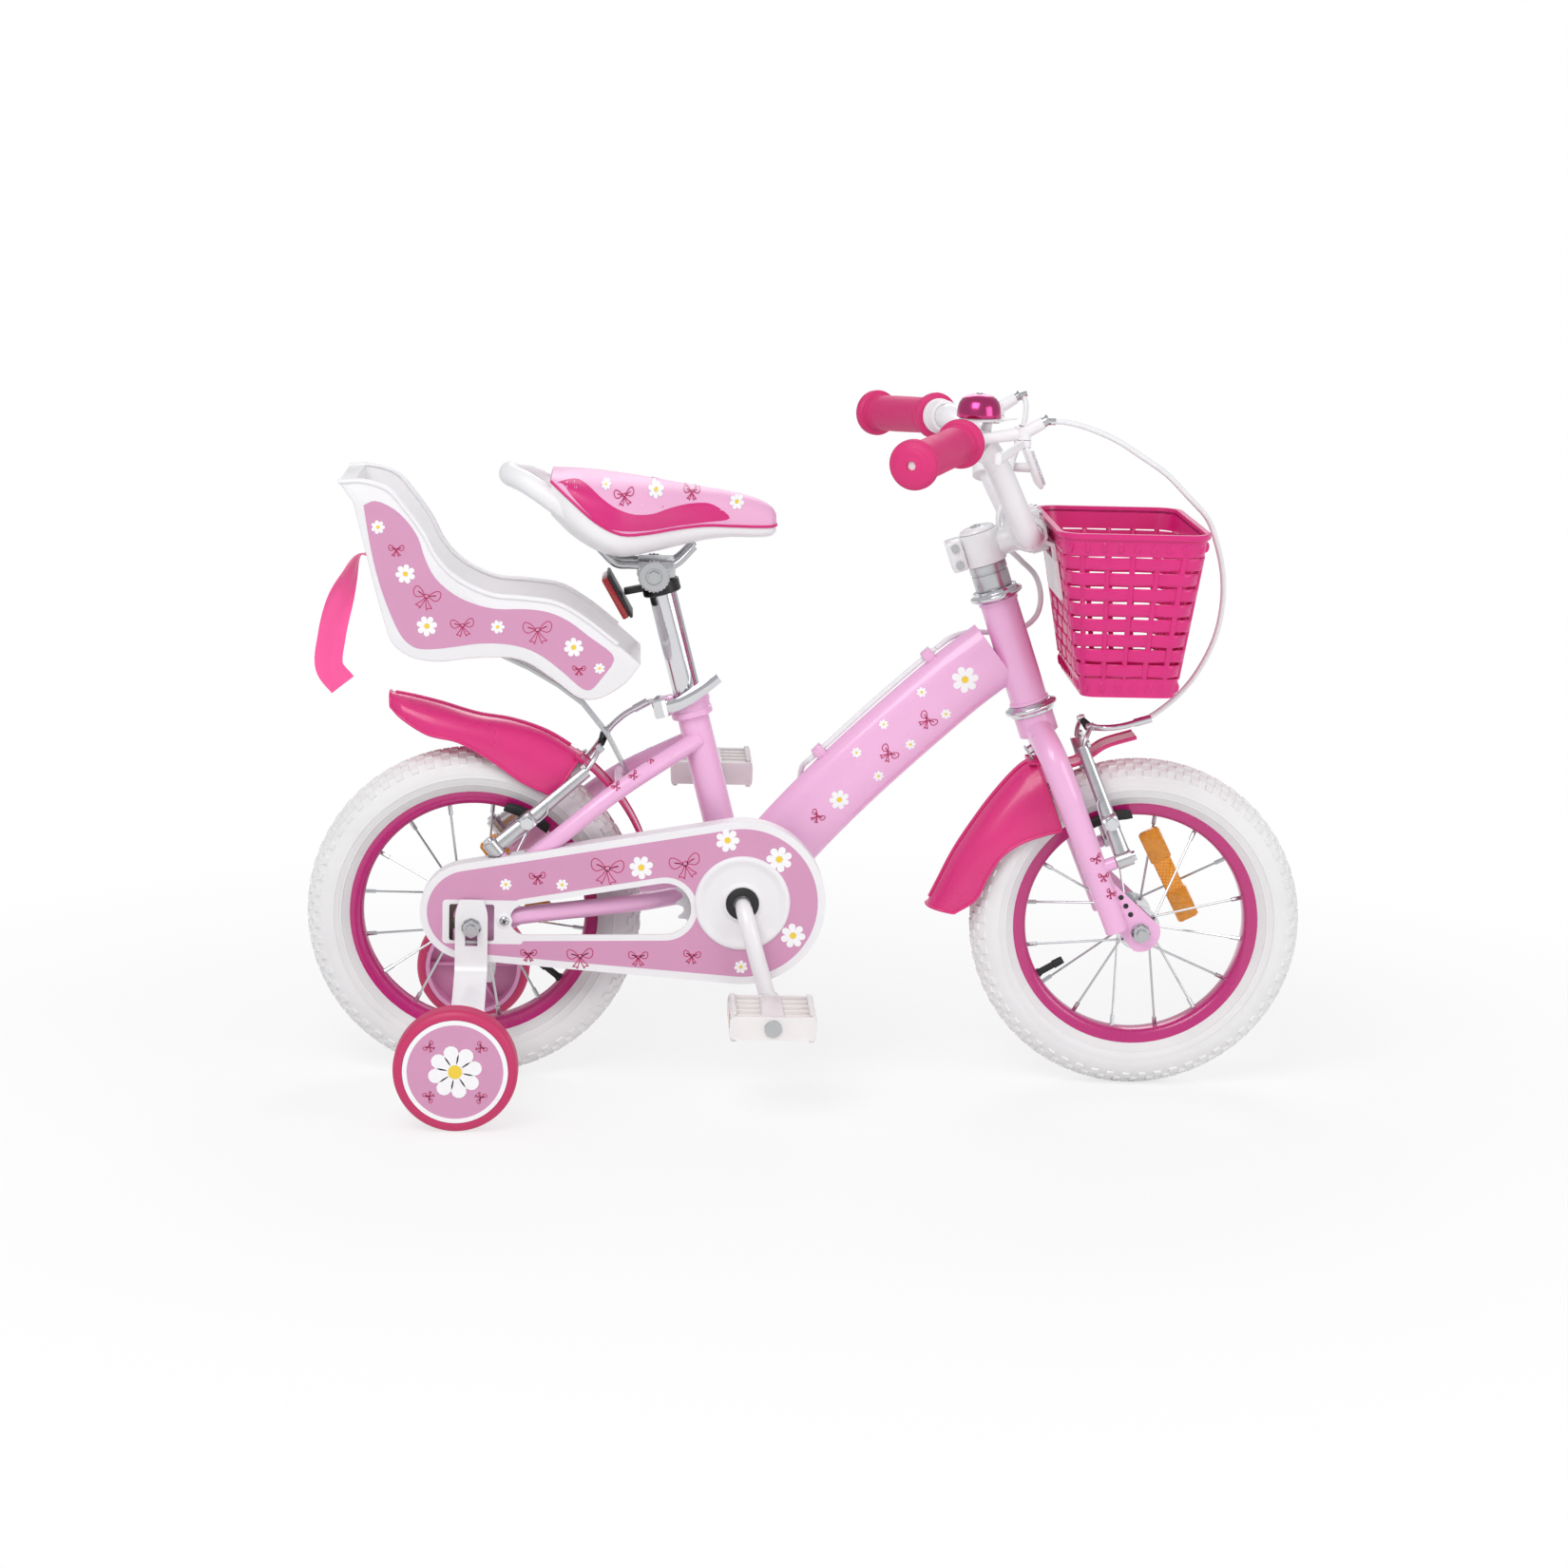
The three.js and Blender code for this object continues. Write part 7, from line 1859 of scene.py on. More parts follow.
@dataclass
class Drive:
    """Chainring, sprocket, chain, crank and pedals."""

    chain_y: float = -40.0
    pitch: float = 12.7
    big_teeth: int = 28
    small_teeth: int = 16
    pedal_depth: float = 76.0
    pedal_height: float = 26.0
    pedal_from: float = 95.0
    pedal_length: float = 80.0
    crank_length: float = 91.0
    eye_offset: float = 86.0

    def pitch_radius(self, teeth: int) -> float:
        """Returns a chain wheel's pitch radius in millimetres."""
        return self.pitch / (2 * math.sin(math.pi / teeth))

    def toothed(self, form: Form, axle: Vector, teeth: int, turn: float) -> None:
        """Draws a toothed disc about an axle.

        Args:
            form: the form that it is drawn in.
            axle: a place on its axis, in metres.
            teeth: how many teeth it has.
            turn: its turn in radians.
        """
        radius = self.pitch_radius(teeth)
        outline = []
        for i in range(teeth):
            for share, reach in (
                (0.0, -3.6), (0.18, -3.1), (0.3, -0.8), (0.41, 2.6), (0.5, 3.4), (0.59, 2.6),
                (0.7, -0.8), (0.82, -3.1)
            ):
                angle = turn + FULL_TURN * (i + share) / teeth
                outline.append(
                    (
                        axle.x / MM + (radius + reach) * math.cos(angle),
                        axle.z / MM + (radius + reach) * math.sin(angle)
                    )
                )
        form.slab(outline, self.chain_y - 1.1, self.chain_y + 1.1)

    def build(self) -> None:
        """Makes every piece of the drive."""
        ring = Form()
        self.toothed(ring, CRANK_AXLE, self.big_teeth, 0.0)
        holes = Form()
        for i in range(5):
            angle = FULL_TURN * i / 5
            place = CRANK_AXLE + mm(31 * math.cos(angle), 0, 31 * math.sin(angle))
            holes.rod(
                place + mm(0, self.chain_y - 4, 0), place + mm(0, self.chain_y + 4, 0), 10, 40
            )
        holes.rod(
            CRANK_AXLE + mm(0, self.chain_y - 4, 0), CRANK_AXLE + mm(0, self.chain_y + 4, 0), 8.1,
            32
        )
        ring.carve(holes)
        ring.piece("chainring_plate", WHITE_PAINT, Body.CRANK_SET, ["chainring"], soften=0.25)
        small = Form()
        self.toothed(small, REAR_AXLE, self.small_teeth, 0.1)
        small.lathe(
            [(7, -5), (18, -5), (19, -4), (19, 8), (18, 9), (7, 9), (7, -5)],
            REAR_AXLE + mm(0, self.chain_y, 0), SIDEWAYS, 48
        )
        small.piece(
            "freewheel_sprocket", OILED_STEEL, Body.FREEWHEEL, ["rear_sprocket"], soften=0.25
        )
        self.make_chain()
        self.make_crank()
        for side in Side:
            self.make_pedal(side)

    def chain_route(self) -> list[Vector]:
        """Returns each roller's place."""
        span = CRANK_AXLE - REAR_AXLE
        big, small = self.pitch_radius(self.big_teeth), self.pitch_radius(self.small_teeth)
        slope, lean = math.atan2(span.z, span.x), math.asin((big - small) / (span.length / MM))
        over, under = slope + math.pi / 2 + lean, slope - math.pi / 2 - lean
        line = []
        for axle, radius, first, sweep in (
            (CRANK_AXLE, big, over, over - under),
            (REAR_AXLE, small, under, FULL_TURN - (over - under))
        ):
            for i in range(61):
                line.append(axle + heading(first - i * sweep / 60) * radius * MM)
        line.append(line[0])
        length = sum((b - a).length for a, b in zip(line, line[1:]))
        return evenly(line, 2 * round(length / (self.pitch * MM) / 2))

    def make_chain(self) -> None:
        """Draws the chain's rollers and its waisted inner and outer plates."""
        route = self.chain_route()
        plates, rollers = Form(), Form()
        for i, place in enumerate(route):
            after = route[(i + 1) % len(route)]
            along = (after - place).normalized()
            across = upright(along)
            reach = 3.9 if i % 2 else 2.7
            outline = []
            for k in range(20):
                angle = FULL_TURN * k / 20
                end = place if math.cos(angle) < 0 else after
                waist = 4.0 if abs(math.cos(angle)) > 0.2 else 3.1
                spot = end + (along * math.cos(angle) * 4.0 + across * math.sin(angle) * waist) * MM
                outline.append((spot.x / MM, spot.z / MM))
            for side in (-1, 1):
                y = self.chain_y + side * reach
                plates.slab(outline, y - 0.5, y + 0.5)
            middle = place + mm(0, self.chain_y, 0)
            rollers.pin(middle, SIDEWAYS, -2.2, 2.2, 3.2, 14)
            rollers.pin(middle, SIDEWAYS, -4.7, 4.7, 1.6, 10)
        plates.piece("chain_plates", OILED_STEEL, Body.FRAME, ["chain"])
        rollers.piece("chain_rollers", OILED_STEEL, Body.FRAME)

    @staticmethod
    def on_crank(side: Side, reach: float, across: float = 0.0) -> Vector:
        """Returns a place on one crank arm.

        Args:
            side: the arm's side.
            reach: how far it is from the axle along the arm, in millimetres.
            across: how far it is from the middle plane.

        Returns:
            The place in metres.
        """
        return CRANK_AXLE - CRANK_DOWN * side.value * reach * MM + mm(0, side.value * across, 0)

    def make_crank(self) -> None:
        """Draws the one-piece crank with its two flattened eyes."""
        knots = []
        for side in Side:
            spots = ((self.crank_length, self.eye_offset), (22, 81), (6, 72), (0, 60), (0, 34))
            half = [self.on_crank(side, reach, across) for reach, across in spots]
            knots += half if side is Side.RIGHT else list(reversed(half))
        form = Form().tube(flowing(knots, 12), 7.6, 28, side_axis=UPWARDS)
        for side in Side:
            eye = self.on_crank(side, self.crank_length, self.eye_offset)
            form.pin(eye, SIDEWAYS, -7, 7, 11, 44)
        form.piece("crank_forging", WHITE_PAINT, Body.CRANK_SET, ["crank"], soften=0.8)
        # A black ring round the crank where it passes through the guard's hole; it makes the hole's
        # middle dark.
        dark_ring = Form()
        dark_ring.lathe(
            [(7.8, -72.2), (12.5, -72), (14.5, -70.5), (15, -68.5), (7.8, -68.5), (7.8, -72.2)],
            CRANK_AXLE, SIDEWAYS, 44
        )
        dark_ring.piece("crank_dark_ring", BLACK_RUBBER, Body.CRANK_SET, soften=0.3)

    def make_pedal(self, side: Side) -> None:
        """Draws a ribbed pedal block with two amber reflectors and its spindle."""
        name = side.label
        body = side.pick(Body.PEDAL_RIGHT, Body.PEDAL_LEFT)
        eye = self.on_crank(side, self.crank_length)
        middle = eye + mm(0, side.value * (self.pedal_from + self.pedal_length / 2), 0)
        half_x, half_z, length = self.pedal_depth / 2, self.pedal_height / 2, self.pedal_length
        shell = Form()
        rim = [
            (-1, -0.55), (-1, 0.55), (-0.93, 0.8), (0.93, 0.8), (1, 0.55), (1, -0.55), (0.93, -0.8),
            (-0.93, -0.8)
        ]
        outline = [(middle.x / MM + x * half_x, middle.z / MM + z * half_z) for x, z in rim]
        near, far = side.value * self.pedal_from, side.value * (self.pedal_from + length)
        for from_y, to_y in ((near, near + side.value * 5), (far - side.value * 5, far)):
            shell.slab(outline, from_y, to_y)
        for x in (-1, 1):
            wall = middle + mm(x * (half_x - 3), 0, 0)
            shell.block(
                wall + mm(0, 0, half_z * 0.68), Vector((5, length - 4, half_z * 0.28)), bevel=0.5
            )
            shell.block(
                wall - mm(0, 0, half_z * 0.68), Vector((5, length - 4, half_z * 0.28)), bevel=0.5
            )
            for y in (-1, 1):
                shell.block(
                    wall + mm(0, y * (length / 2 - 12), 0),
                    Vector((5, 19, self.pedal_height * 0.7)), bevel=0.5
                )
        shell.block(middle, Vector((20, length - 6, self.pedal_height * 0.8)), bevel=2.0)
        for i in range(4):
            y = (i - 1.5) * 17
            for x in (-1, 1):
                rib = middle + mm(x * 23, y, 0)
                shell.block(rib, Vector((28, 4.2, self.pedal_height * 0.72)), bevel=0.6)
        for i in range(12):
            y = (i - 5.5) * 6
            for x in (-1, 1):
                for z in (-1, 1):
                    stud = middle + mm(x * (half_x - 4), y, z * half_z * 0.9)
                    shell.block(stud, Vector((4.4, 2.6, half_z * 0.24)), bevel=0.4)
        shell.piece(f"pedal_{name}_block", MILKY_PLASTIC, body, [f"pedal_{name}"], soften=0.4)
        lights = Form()
        for x in (-1, 1):
            lights.block(middle + mm(x * (half_x - 2.4), 0, 0), Vector((4.6, 34, 13)), bevel=0.8)
        lights.piece(f"pedal_{name}_reflectors", AMBER, body)
        axle = Form()
        axle.rod(
            eye + mm(0, side.value * 79.2, 0), eye + mm(0, side.value * (self.pedal_from + 2), 0),
            4.8, 24
        )
        axle.rod(
            eye + mm(0, side.value * 93.2, 0), eye + mm(0, side.value * (self.pedal_from - 0.1), 0),
            7.5, 6
        )
        cap = middle + mm(0, side.value * (length / 2 - 0.2), 0)
        axle.rod(cap, cap + mm(0, side.value * 1.4, 0), 7.6, 32)
        axle.piece(f"pedal_{name}_spindle", ZINC, body, soften=0.3)


# Brakes


@dataclass
class RimBrake:
    """One linear-pull brake: two arms, each with its pad, spring, bolts and cable loop."""

    label: str
    foot: Vector
    up: Vector
    ahead: Vector
    axle: Vector
    top_offset: float
    bodies: tuple[Body, Body]
    cable_holds: tuple[Vector, Vector]
    rim_half: float = 13.5
    pad_radius: float = 104.5
    pivot_ahead: float = 28.0
    arm_height: float = 106.0

    def place(self, ahead: float, up: float, left: float) -> Vector:
        """Returns a place measured from the foot, in millimetres."""
        spot = self.foot + self.ahead * ahead * MM + self.up * up * MM
        return Vector((spot.x, left * MM, spot.z))

    def pad_rise(self, ahead: float) -> float:
        """Returns how far above its pivot the arm meets the rim."""
        offset = self.place(ahead, 0, 0) - Vector((self.axle.x, 0, self.axle.z))
        along = offset.dot(self.up)
        return (
            -along + math.sqrt(along**2 - offset.length_squared + (self.pad_radius * MM) ** 2)
        ) / MM

    def build(self) -> None:
        """Draws both arms and what is on them."""
        for side in Side:
            self.make_arm(side)

    def make_arm(self, side: Side) -> None:
        """Draws one arm with its pad, cartridge bolt, washers and spring.

        Args:
            side: which of the two arms.
        """
        name = side.label
        body = side.pick(*self.bodies)
        sign = side.value
        foot_y = self.foot.y / MM
        ahead = self.pivot_ahead
        rise = self.pad_rise(ahead)
        pivot = self.place(ahead, 0, sign * foot_y)
        knee_y = foot_y + (self.top_offset - foot_y) * 0.3
        knee = self.place(ahead, rise, sign * knee_y)
        top = self.place(ahead, self.arm_height, sign * self.top_offset)
        arm = Form()
        arm.rod(self.place(20.4, 0, sign * foot_y), self.place(35.6, 0, sign * foot_y), 7.4, 32)
        path = flowing([pivot, pivot.lerp(knee, 0.5), knee, knee.lerp(top, 0.5), top], 6)
        arm.tube(
            path, [4.2 - 1.2 * i / (len(path) - 1) for i in range(len(path))], 20, height=1.75,
            side_axis=SIDEWAYS
        )
        hold = side.pick(*self.cable_holds)
        arm.tube(
            flowing([top - self.up * 4 * MM, top.lerp(hold, 0.4) + mm(0, sign * 1.5, 0), hold], 6),
            2.3, 16
        )
        arm.pin(hold, self.ahead, -3.6, 3.6, 3.3, 24)
        arm.pin(knee, self.ahead, -7, 7, 7.6, 28)
        arm.piece(
            f"{self.label}_arm_{name}_casting", ALLOY, body, [f"{self.label}_brake_arm_{name}"],
            soften=0.6
        )
        outward = (self.place(ahead, rise, 0) - Vector((self.axle.x, 0, self.axle.z))).normalized()
        tangent = Vector((outward.z, 0, -outward.x))
        inner = self.rim_half + 2.0
        centre = self.place(ahead, rise, sign * (inner + 5))
        pad = Form()
        rows = []
        for i in range(9):
            share = i / 4 - 1
            curve = -(share**2) * 3.2
            spot = centre + tangent * share * 22 * MM + outward * curve * MM
            size = 1.0 if abs(share) < 0.95 else 0.8
            row = []
            for y, z in (
                (-5, -3.6), (-5, 3.6), (-2, 4.6), (3.5, 4.2), (4.6, 2.5), (4.6, -2.5), (3.5, -4.2),
                (-2, -4.6)
            ):
                row.append(spot + mm(0, sign * y * size, 0) + outward * z * size * MM)
            rows.append(row)
        pad.strip(rows, closed=True)
        bmesh.ops.holes_fill(pad.bm, edges=pad.bm.edges[:])
        pad.piece(f"{self.label}_arm_{name}_pad", BLACK_RUBBER, body, soften=0.5)
        bolt = Form()
        out = SIDEWAYS * sign
        bolt.rod(centre + out * 4 * MM, knee + out * 10 * MM, 3, 20)
        bolt.pin(knee, out, 7.4, 9.2, 6.4, 28)
        bolt.pin(knee, out, 9.2, 13, 5.6, 6)
        face = self.place(35.6, 0, sign * foot_y)
        bolt.pin(face, self.ahead, 0, 3.2, 4.6, 24)
        bolt.pin(top, self.ahead, 4.8, 7.6, 3.8, 6)
        spring = [
            self.place(21.6, 2, sign * (foot_y - 7)), self.place(21, 20, sign * (foot_y - 6.4)),
            self.place(21, 42, sign * (foot_y - 6))
        ]
        spring += [
            self.place(22.5, 56, sign * (foot_y - 5)), self.place(26, 60, sign * (foot_y - 5))
        ]
        bolt.tube(flowing(spring, 6), 0.9, 10)
        bolt.piece(f"{self.label}_arm_{name}_bolts", CHROME, body, soften=0.25)


def build_brakes() -> None:
    """Makes both brakes, each square to what carries it."""
    arms = (Body.FRONT_ARM_RIGHT, Body.FRONT_ARM_LEFT)
    leg = FORK_BEND - FORK_FOOT
    up = Vector((leg.x, 0, leg.z)).normalized()
    holds = (mm(252, -16.5, 333), mm(248, 23, 334))
    RimBrake("front", FORK_BOSS, up, -upright(up), FRONT_AXLE, 28, arms, holds).build()
    arms = (Body.REAR_ARM_RIGHT, Body.REAR_ARM_LEFT)
    holds = (mm(-190, -22, 306), mm(-185, 26.5, 312))
    RimBrake("rear", STAY_BOSS, STAY_UP, upright(STAY_UP), REAR_AXLE, 35, arms, holds).build()


# Chain guard, doll seat and training wheels


def belt(
    rear: tuple[float, float], rear_radius: float, front: tuple[float, float], front_radius: float,
    steps: int = 36
) -> list[tuple[float, float]]:
    """Returns the outline of a belt round two circles, as [x, z] pairs in millimetres.

    Args:
        rear: the first circle's middle.
        rear_radius: its radius.
        front: the second circle's middle.
        front_radius: its radius.
        steps: how many places go round each circle.

    Returns:
        The closed outline's places.
    """
    dx, dz = front[0] - rear[0], front[1] - rear[1]
    slope, lean = math.atan2(dz, dx), math.asin((front_radius - rear_radius) / math.hypot(dx, dz))
    over, under = slope + math.pi / 2 + lean, slope - math.pi / 2 - lean
    places = []
    for i in range(steps + 1):
        angle = over + (under - over) * i / steps
        places.append(
            (front[0] + front_radius * math.cos(angle), front[1] + front_radius * math.sin(angle))
        )
    for i in range(steps + 1):
        angle = under - (FULL_TURN - (over - under)) * i / steps
        places.append(
            (rear[0] + rear_radius * math.cos(angle), rear[1] + rear_radius * math.sin(angle))
        )
    return places


@dataclass
class ChainGuard:
    """The moulded guard with its film, prints, dish and screw."""

    face: float = -66.0
    depth: float = 20.0
    wall: float = 2.5
    rear: tuple[float, float] = (-303.3, 164.0)
    rear_radius: float = 44.0
    front: tuple[float, float] = (-60.0, 176.0)
    front_radius: float = 74.5
    slot: tuple[
        tuple[float, float], float, tuple[float, float], float
    ] = ((-253, 157.5), 14, (-129, 169.5), 23.5)

    def slot_outline(self, more: float) -> list[tuple[float, float]]:
        """Returns the long window's outline, larger by some millimetres."""
        rear, rear_radius, front, front_radius = self.slot
        return belt(rear, rear_radius + more, front, front_radius + more, 24)

    def build(self) -> None:
        """Makes the shell, the film, the prints and the dish."""
        self.make_shell()
        self.make_film()
        self.make_prints()
        self.make_dish()

    def make_shell(self) -> None:
        """Draws the hollow cover with its openings."""
        shell = Form().slab(
            belt(self.rear, self.rear_radius, self.front, self.front_radius), self.face,
            self.face + self.depth
        )
        hollow = Form()
        inner = belt(
            self.rear, self.rear_radius - self.wall, self.front, self.front_radius - self.wall
        )
        hollow.slab(inner, self.face + self.wall, self.face + self.depth + 4)
        shell.carve(hollow, *self.openings())
        shell.piece("chain_guard_shell", WHITE_PLASTIC, Body.FRAME, ["chain_guard"], soften=0.9)

    def openings(self) -> list[Form]:
        """Returns the forms that are cut from the cover."""
        slot = Form().slab(self.slot_outline(0), self.face - 3, self.face + 5)
        window = Form().block(REAR_AXLE + mm(0, self.face, 3.2), Vector((40, 9, 33.5)), bevel=2)
        crank = Form().rod(
            CRANK_AXLE + mm(0, self.face - 4, 0), CRANK_AXLE + mm(0, self.face + 5, 0), 13, 48
        )
        frame = PaintedFrame()
        stays = [
            Form().tube([mirrored(p) for p in path], 9.2, 24)
            for path in (frame.seat_stay(), frame.chain_stay())
        ]
        foot = mirrored(STAY_BOSS)
        boss = Form().rod(foot, foot + upright(STAY_UP) * 38 * MM, 9.5, 24)
        return [slot, window, crank, *stays, boss]

    def make_film(self) -> None:
        """Lays the dusty pink film on the face, clear of every edge."""
        film = Form().slab(
            belt(self.rear, self.rear_radius - 6.5, self.front, self.front_radius - 7),
            self.face - 0.22, self.face + 0.1
        )
        cuts = Form().slab(self.slot_outline(5.5), self.face - 4, self.face + 4)
        window = Form().block(REAR_AXLE + mm(10, self.face, 4.0), Vector((72, 9, 40)), bevel=3)
        disc = Form().rod(
            CRANK_AXLE + mm(0, self.face - 4, 0), CRANK_AXLE + mm(0, self.face + 4, 0), 42.5, 64
        )
        film.carve(cuts, window, disc)
        film.piece("chain_guard_film", PANEL_FILM, Body.FRAME)

    def make_prints(self) -> None:
        """Prints daisies and bows on the film."""
        daisies = (
            (-74.5, 233, 10.5, 0), (-28, 216.5, 11.5, 23), (-14, 147, 11, 46),
            (-150.8, 207, 10.5, 69), (-271, 189.5, 5.2, 92), (-221, 190, 5.2, 115),
            (-60, 117.5, 6, 138)
        )
        bows = (
            (-181, 206, 15, -4), (-112, 211.5, 14, 14), (-243, 197, 7.5, 6), (-250, 126.5, 7.5, 0),
            (-204, 125.5, 12, 4), (-104, 127.5, 8, -6), (-152, 125.5, 9, 0)
        )
        drawing = Print().scatter(self.face - 0.3, FORWARDS, daisies, bows)
        drawing.lay("chain_guard", Body.FRAME, None, SIDEWAYS)

    def make_dish(self) -> None:
        """Turns the raised dish about the crank, and the fixing screw."""
        f = self.face
        dish = Form()
        profile = [
            (13.2, f + 1), (13.2, f - 2.0), (14.2, f - 2.9), (16.2, f - 2.9), (17.4, f - 1.8),
            (18.4, f - 0.4), (32, f - 0.2)
        ]
        profile += [
            (35, f - 0.7), (37.4, f - 2.0), (39.4, f - 2.7), (41.4, f - 2.4), (42.6, f - 1.2),
            (43, f + 0.4), (43, f + 1), (13.2, f + 1)
        ]
        dish.lathe(profile, Vector((CRANK_AXLE.x, 0, CRANK_AXLE.z)), SIDEWAYS, 96)
        dish.rod(mm(-270, -61.4, 156.5), mm(-270, f + 1, 156.5), 4, 24)
        dish.lathe(
            [(0, f - 0.6), (6.2, f - 0.6), (7.0, f), (7.0, f + 0.6), (0, f + 0.6)],
            mm(-272, 0, 156), SIDEWAYS, 40
        )
        dish.piece("chain_guard_dish", WHITE_PLASTIC, Body.FRAME)
        screw = Form().lathe(
            [(0, f - 2.4), (2.6, f - 2.2), (4.0, f - 1.4), (4.4, f - 0.6), (0, f - 0.6)],
            mm(-272, 0, 156), SIDEWAYS, 32
        )
        screw.piece("chain_guard_screw", ZINC, Body.FRAME)
        # Painted shade: a black cross stands for the dark recess of the screw's cross slot.
        cross = Form()
        for turn in (30, 120):
            angle = math.radians(turn)
            cross.block(mm(-272, f - 2.3, 156), Vector((4.4, 0.5, 0.9)), heading(angle))
        cross.piece("chain_guard_screw_cross", BLACK_NYLON_AND_SHADE, Body.FRAME)


@dataclass
class DollSeat:
    """The moulded bucket with its lips, printed side films and ribbon."""

    back: float = -422.0
    low: float = 357.0
    length: float = 267.6
    height: float = 190.0
    half: float = 70.0
    wall: float = 3.5
    floor_share: float = 0.86
    bowl: tuple[tuple[float, float], ...] = (
        (0.053, 0.9), (0.154, 0.353), (0.184, 0.242), (0.24, 0.184), (0.326, 0.163), (0.457, 0.184),
        (0.602, 0.179), (0.711, 0.09), (0.804, 0), (0.868, 0.005), (0.95, 0.079), (0.999, 0.169),
    )
    rim: tuple[tuple[float, float], ...] = (
        (0.92, 0.263), (0.812, 0.379), (0.722, 0.448), (0.621, 0.469), (0.502, 0.484),
        (0.389, 0.558), (0.326, 0.648), (0.281, 0.764), (0.221, 0.879), (0.165, 0.964), (0.083, 1),
        (0.005, 0.995)
    )
    film: tuple[tuple[float, float], ...] = (
        (-398.6, 526), (-389, 530), (-372, 523), (-358.5, 510), (-350.5, 497), (-345, 480),
        (-336, 463), (-320, 449), (-303, 441), (-283, 436.5), (-257, 436.8), (-237, 434.5),
        (-219, 427), (-200, 413), (-180, 398), (-178.5, 392), (-189, 376), (-198.5, 365.5),
        (-205, 366), (-222, 380), (-241, 394.5), (-257, 402), (-278, 405.5), (-299, 405),
        (-318, 402), (-337, 399.5), (-352, 400), (-361, 405.5), (-368, 415), (-376.5, 434),
        (-385, 458), (-392.5, 489)
    )

    def point(self, share: tuple[float, float]) -> tuple[float, float]:
        """Returns a place of the side view in millimetres."""
        return (self.back + share[0] * self.length, self.low + share[1] * self.height)

    def flare(self, form: Form) -> Form:
        """Draws the form in towards the floor."""
        for vert in form.bm.verts:
            rise = (vert.co.z / MM - self.low) / self.height
            vert.co.y *= self.floor_share + (1 - self.floor_share) * rise
        return form

    @staticmethod
    def inset(points: Sequence[tuple[float, float]], distance: float) -> list[tuple[float, float]]:
        """Returns a line moved sideways by a distance."""
        moved = []
        for (x, z), before, after in neighbours(points):
            dx, dz = after[0] - before[0], after[1] - before[1]
            size = math.hypot(dx, dz)
            moved.append((x - dz / size * distance, z + dx / size * distance))
        return moved

    def build(self) -> None:
        """Makes the bucket, its films, its prints and its ribbon."""
        bowl = flowing_outline([self.point(p) for p in self.bowl], 5)
        rim = flowing_outline([self.point(p) for p in self.rim], 5)
        body = self.flare(Form().slab([*bowl, *rim], -self.half, self.half, bevel=2.6))
        lifted = [(x + 3.5, z + self.height / 4) for x, z in rim[:-1]]
        inside = self.half - self.wall
        hollow = self.flare(Form().slab([*self.inset(bowl, self.wall), *lifted], -inside, inside))
        body.carve(hollow)
        tree = body.tree()
        for side in Side:
            self.make_film(side, tree)
        for side in (-1, 1):
            path = []
            for x, z in rim:
                rise = (z - self.low) / self.height
                reach = self.half * (self.floor_share + (1 - self.floor_share) * rise)
                path.append(mm(x, side * (reach - self.wall / 2), z))
            body.tube(path, 3.6, 20, height=0.62)
        body.piece("doll_seat_bucket", WHITE_PLASTIC, Body.FRAME, ["doll_seat"], soften=0.8)
        self.make_ribbon()

    def make_film(self, side: Side, tree: BVHTree) -> None:
        """Lays one printed film on the bucket's side.

        Args:
            side: the side.
            tree: the bucket's surface.
        """
        sign = side.value
        name = side.label
        inwards = SIDEWAYS * -sign
        film = Form().slab(
            flowing_outline([*self.film, self.film[0]], 3)[:-1], sign * 74, sign * 74.2
        )
        inner, outer = [], []
        for vert in film.bm.verts:
            (inner if abs(vert.co.y) < 0.0741 else outer).append(vert)
        for verts, lift in ((inner, 0.02), (outer, 0.24)):
            for vert in verts:
                hit, _, _, _ = tree.ray_cast(Vector((vert.co.x, sign * 0.1, vert.co.z)), inwards)
                if hit:
                    vert.co = hit - inwards * lift * MM
        film.piece(f"doll_seat_film_{name}", PANEL_FILM, Body.FRAME)
        daisies = (
            (-386, 507, 6, 0), (-362, 466, 8.5, 31), (-343, 420, 9, 62), (-214, 403.5, 8.5, 93),
            (-191, 385, 4.8, 124), (-281, 420.5, 6, 155)
        )
        bows = (
            (-370, 488, 7, 0), (-343.5, 447, 12.5, -14), (-246, 419, 13, 4), (-209, 384, 6, 0),
            (-312, 421.5, 10.5, 6)
        )
        drawing = Print().scatter(sign * 74, FORWARDS * -sign, daisies, bows, 0.85)
        drawing.lay(f"doll_seat_{name}", Body.FRAME, tree, inwards, 0.32)

    def make_ribbon(self) -> None:
        """Hangs the twisted ribbon behind the bucket, as a thin sheet."""
        knots = (
            (-394.2, 474, 0), (-407, 474, 0.15), (-417, 452, 0.45), (-426, 424, 0.8),
            (-431, 400, 1), (-433, 372, 1), (-421, 356, 1)
        )
        centre = flowing([mm(x, 0, z) for x, z, _ in knots], 10)
        turns = flowing([Vector((t, i, 0)) for i, (_, _, t) in enumerate(knots)], 10)
        rows = []
        for i, (place, before, after) in enumerate(neighbours(centre)):
            along = (after - before).normalized()
            normal = upright(along)
            wide = SIDEWAYS.lerp(normal, min(1.0, max(0.0, turns[i].x))).normalized()
            thin = wide.cross(along)
            row = []
            for k in range(13):
                share = k / 6 - 1
                ripple = 0.5 * math.cos(share * 4.5 + i * 0.12)
                row.append(place + wide * share * 12.5 * MM + thin * ripple * MM)
            rows.append(row)
        form = Form().strip(rows)
        form.thick(0.7)
        ribbon = form.piece("doll_seat_ribbon", SATIN, Body.FRAME, ["doll_ribbon"], sharp=50)


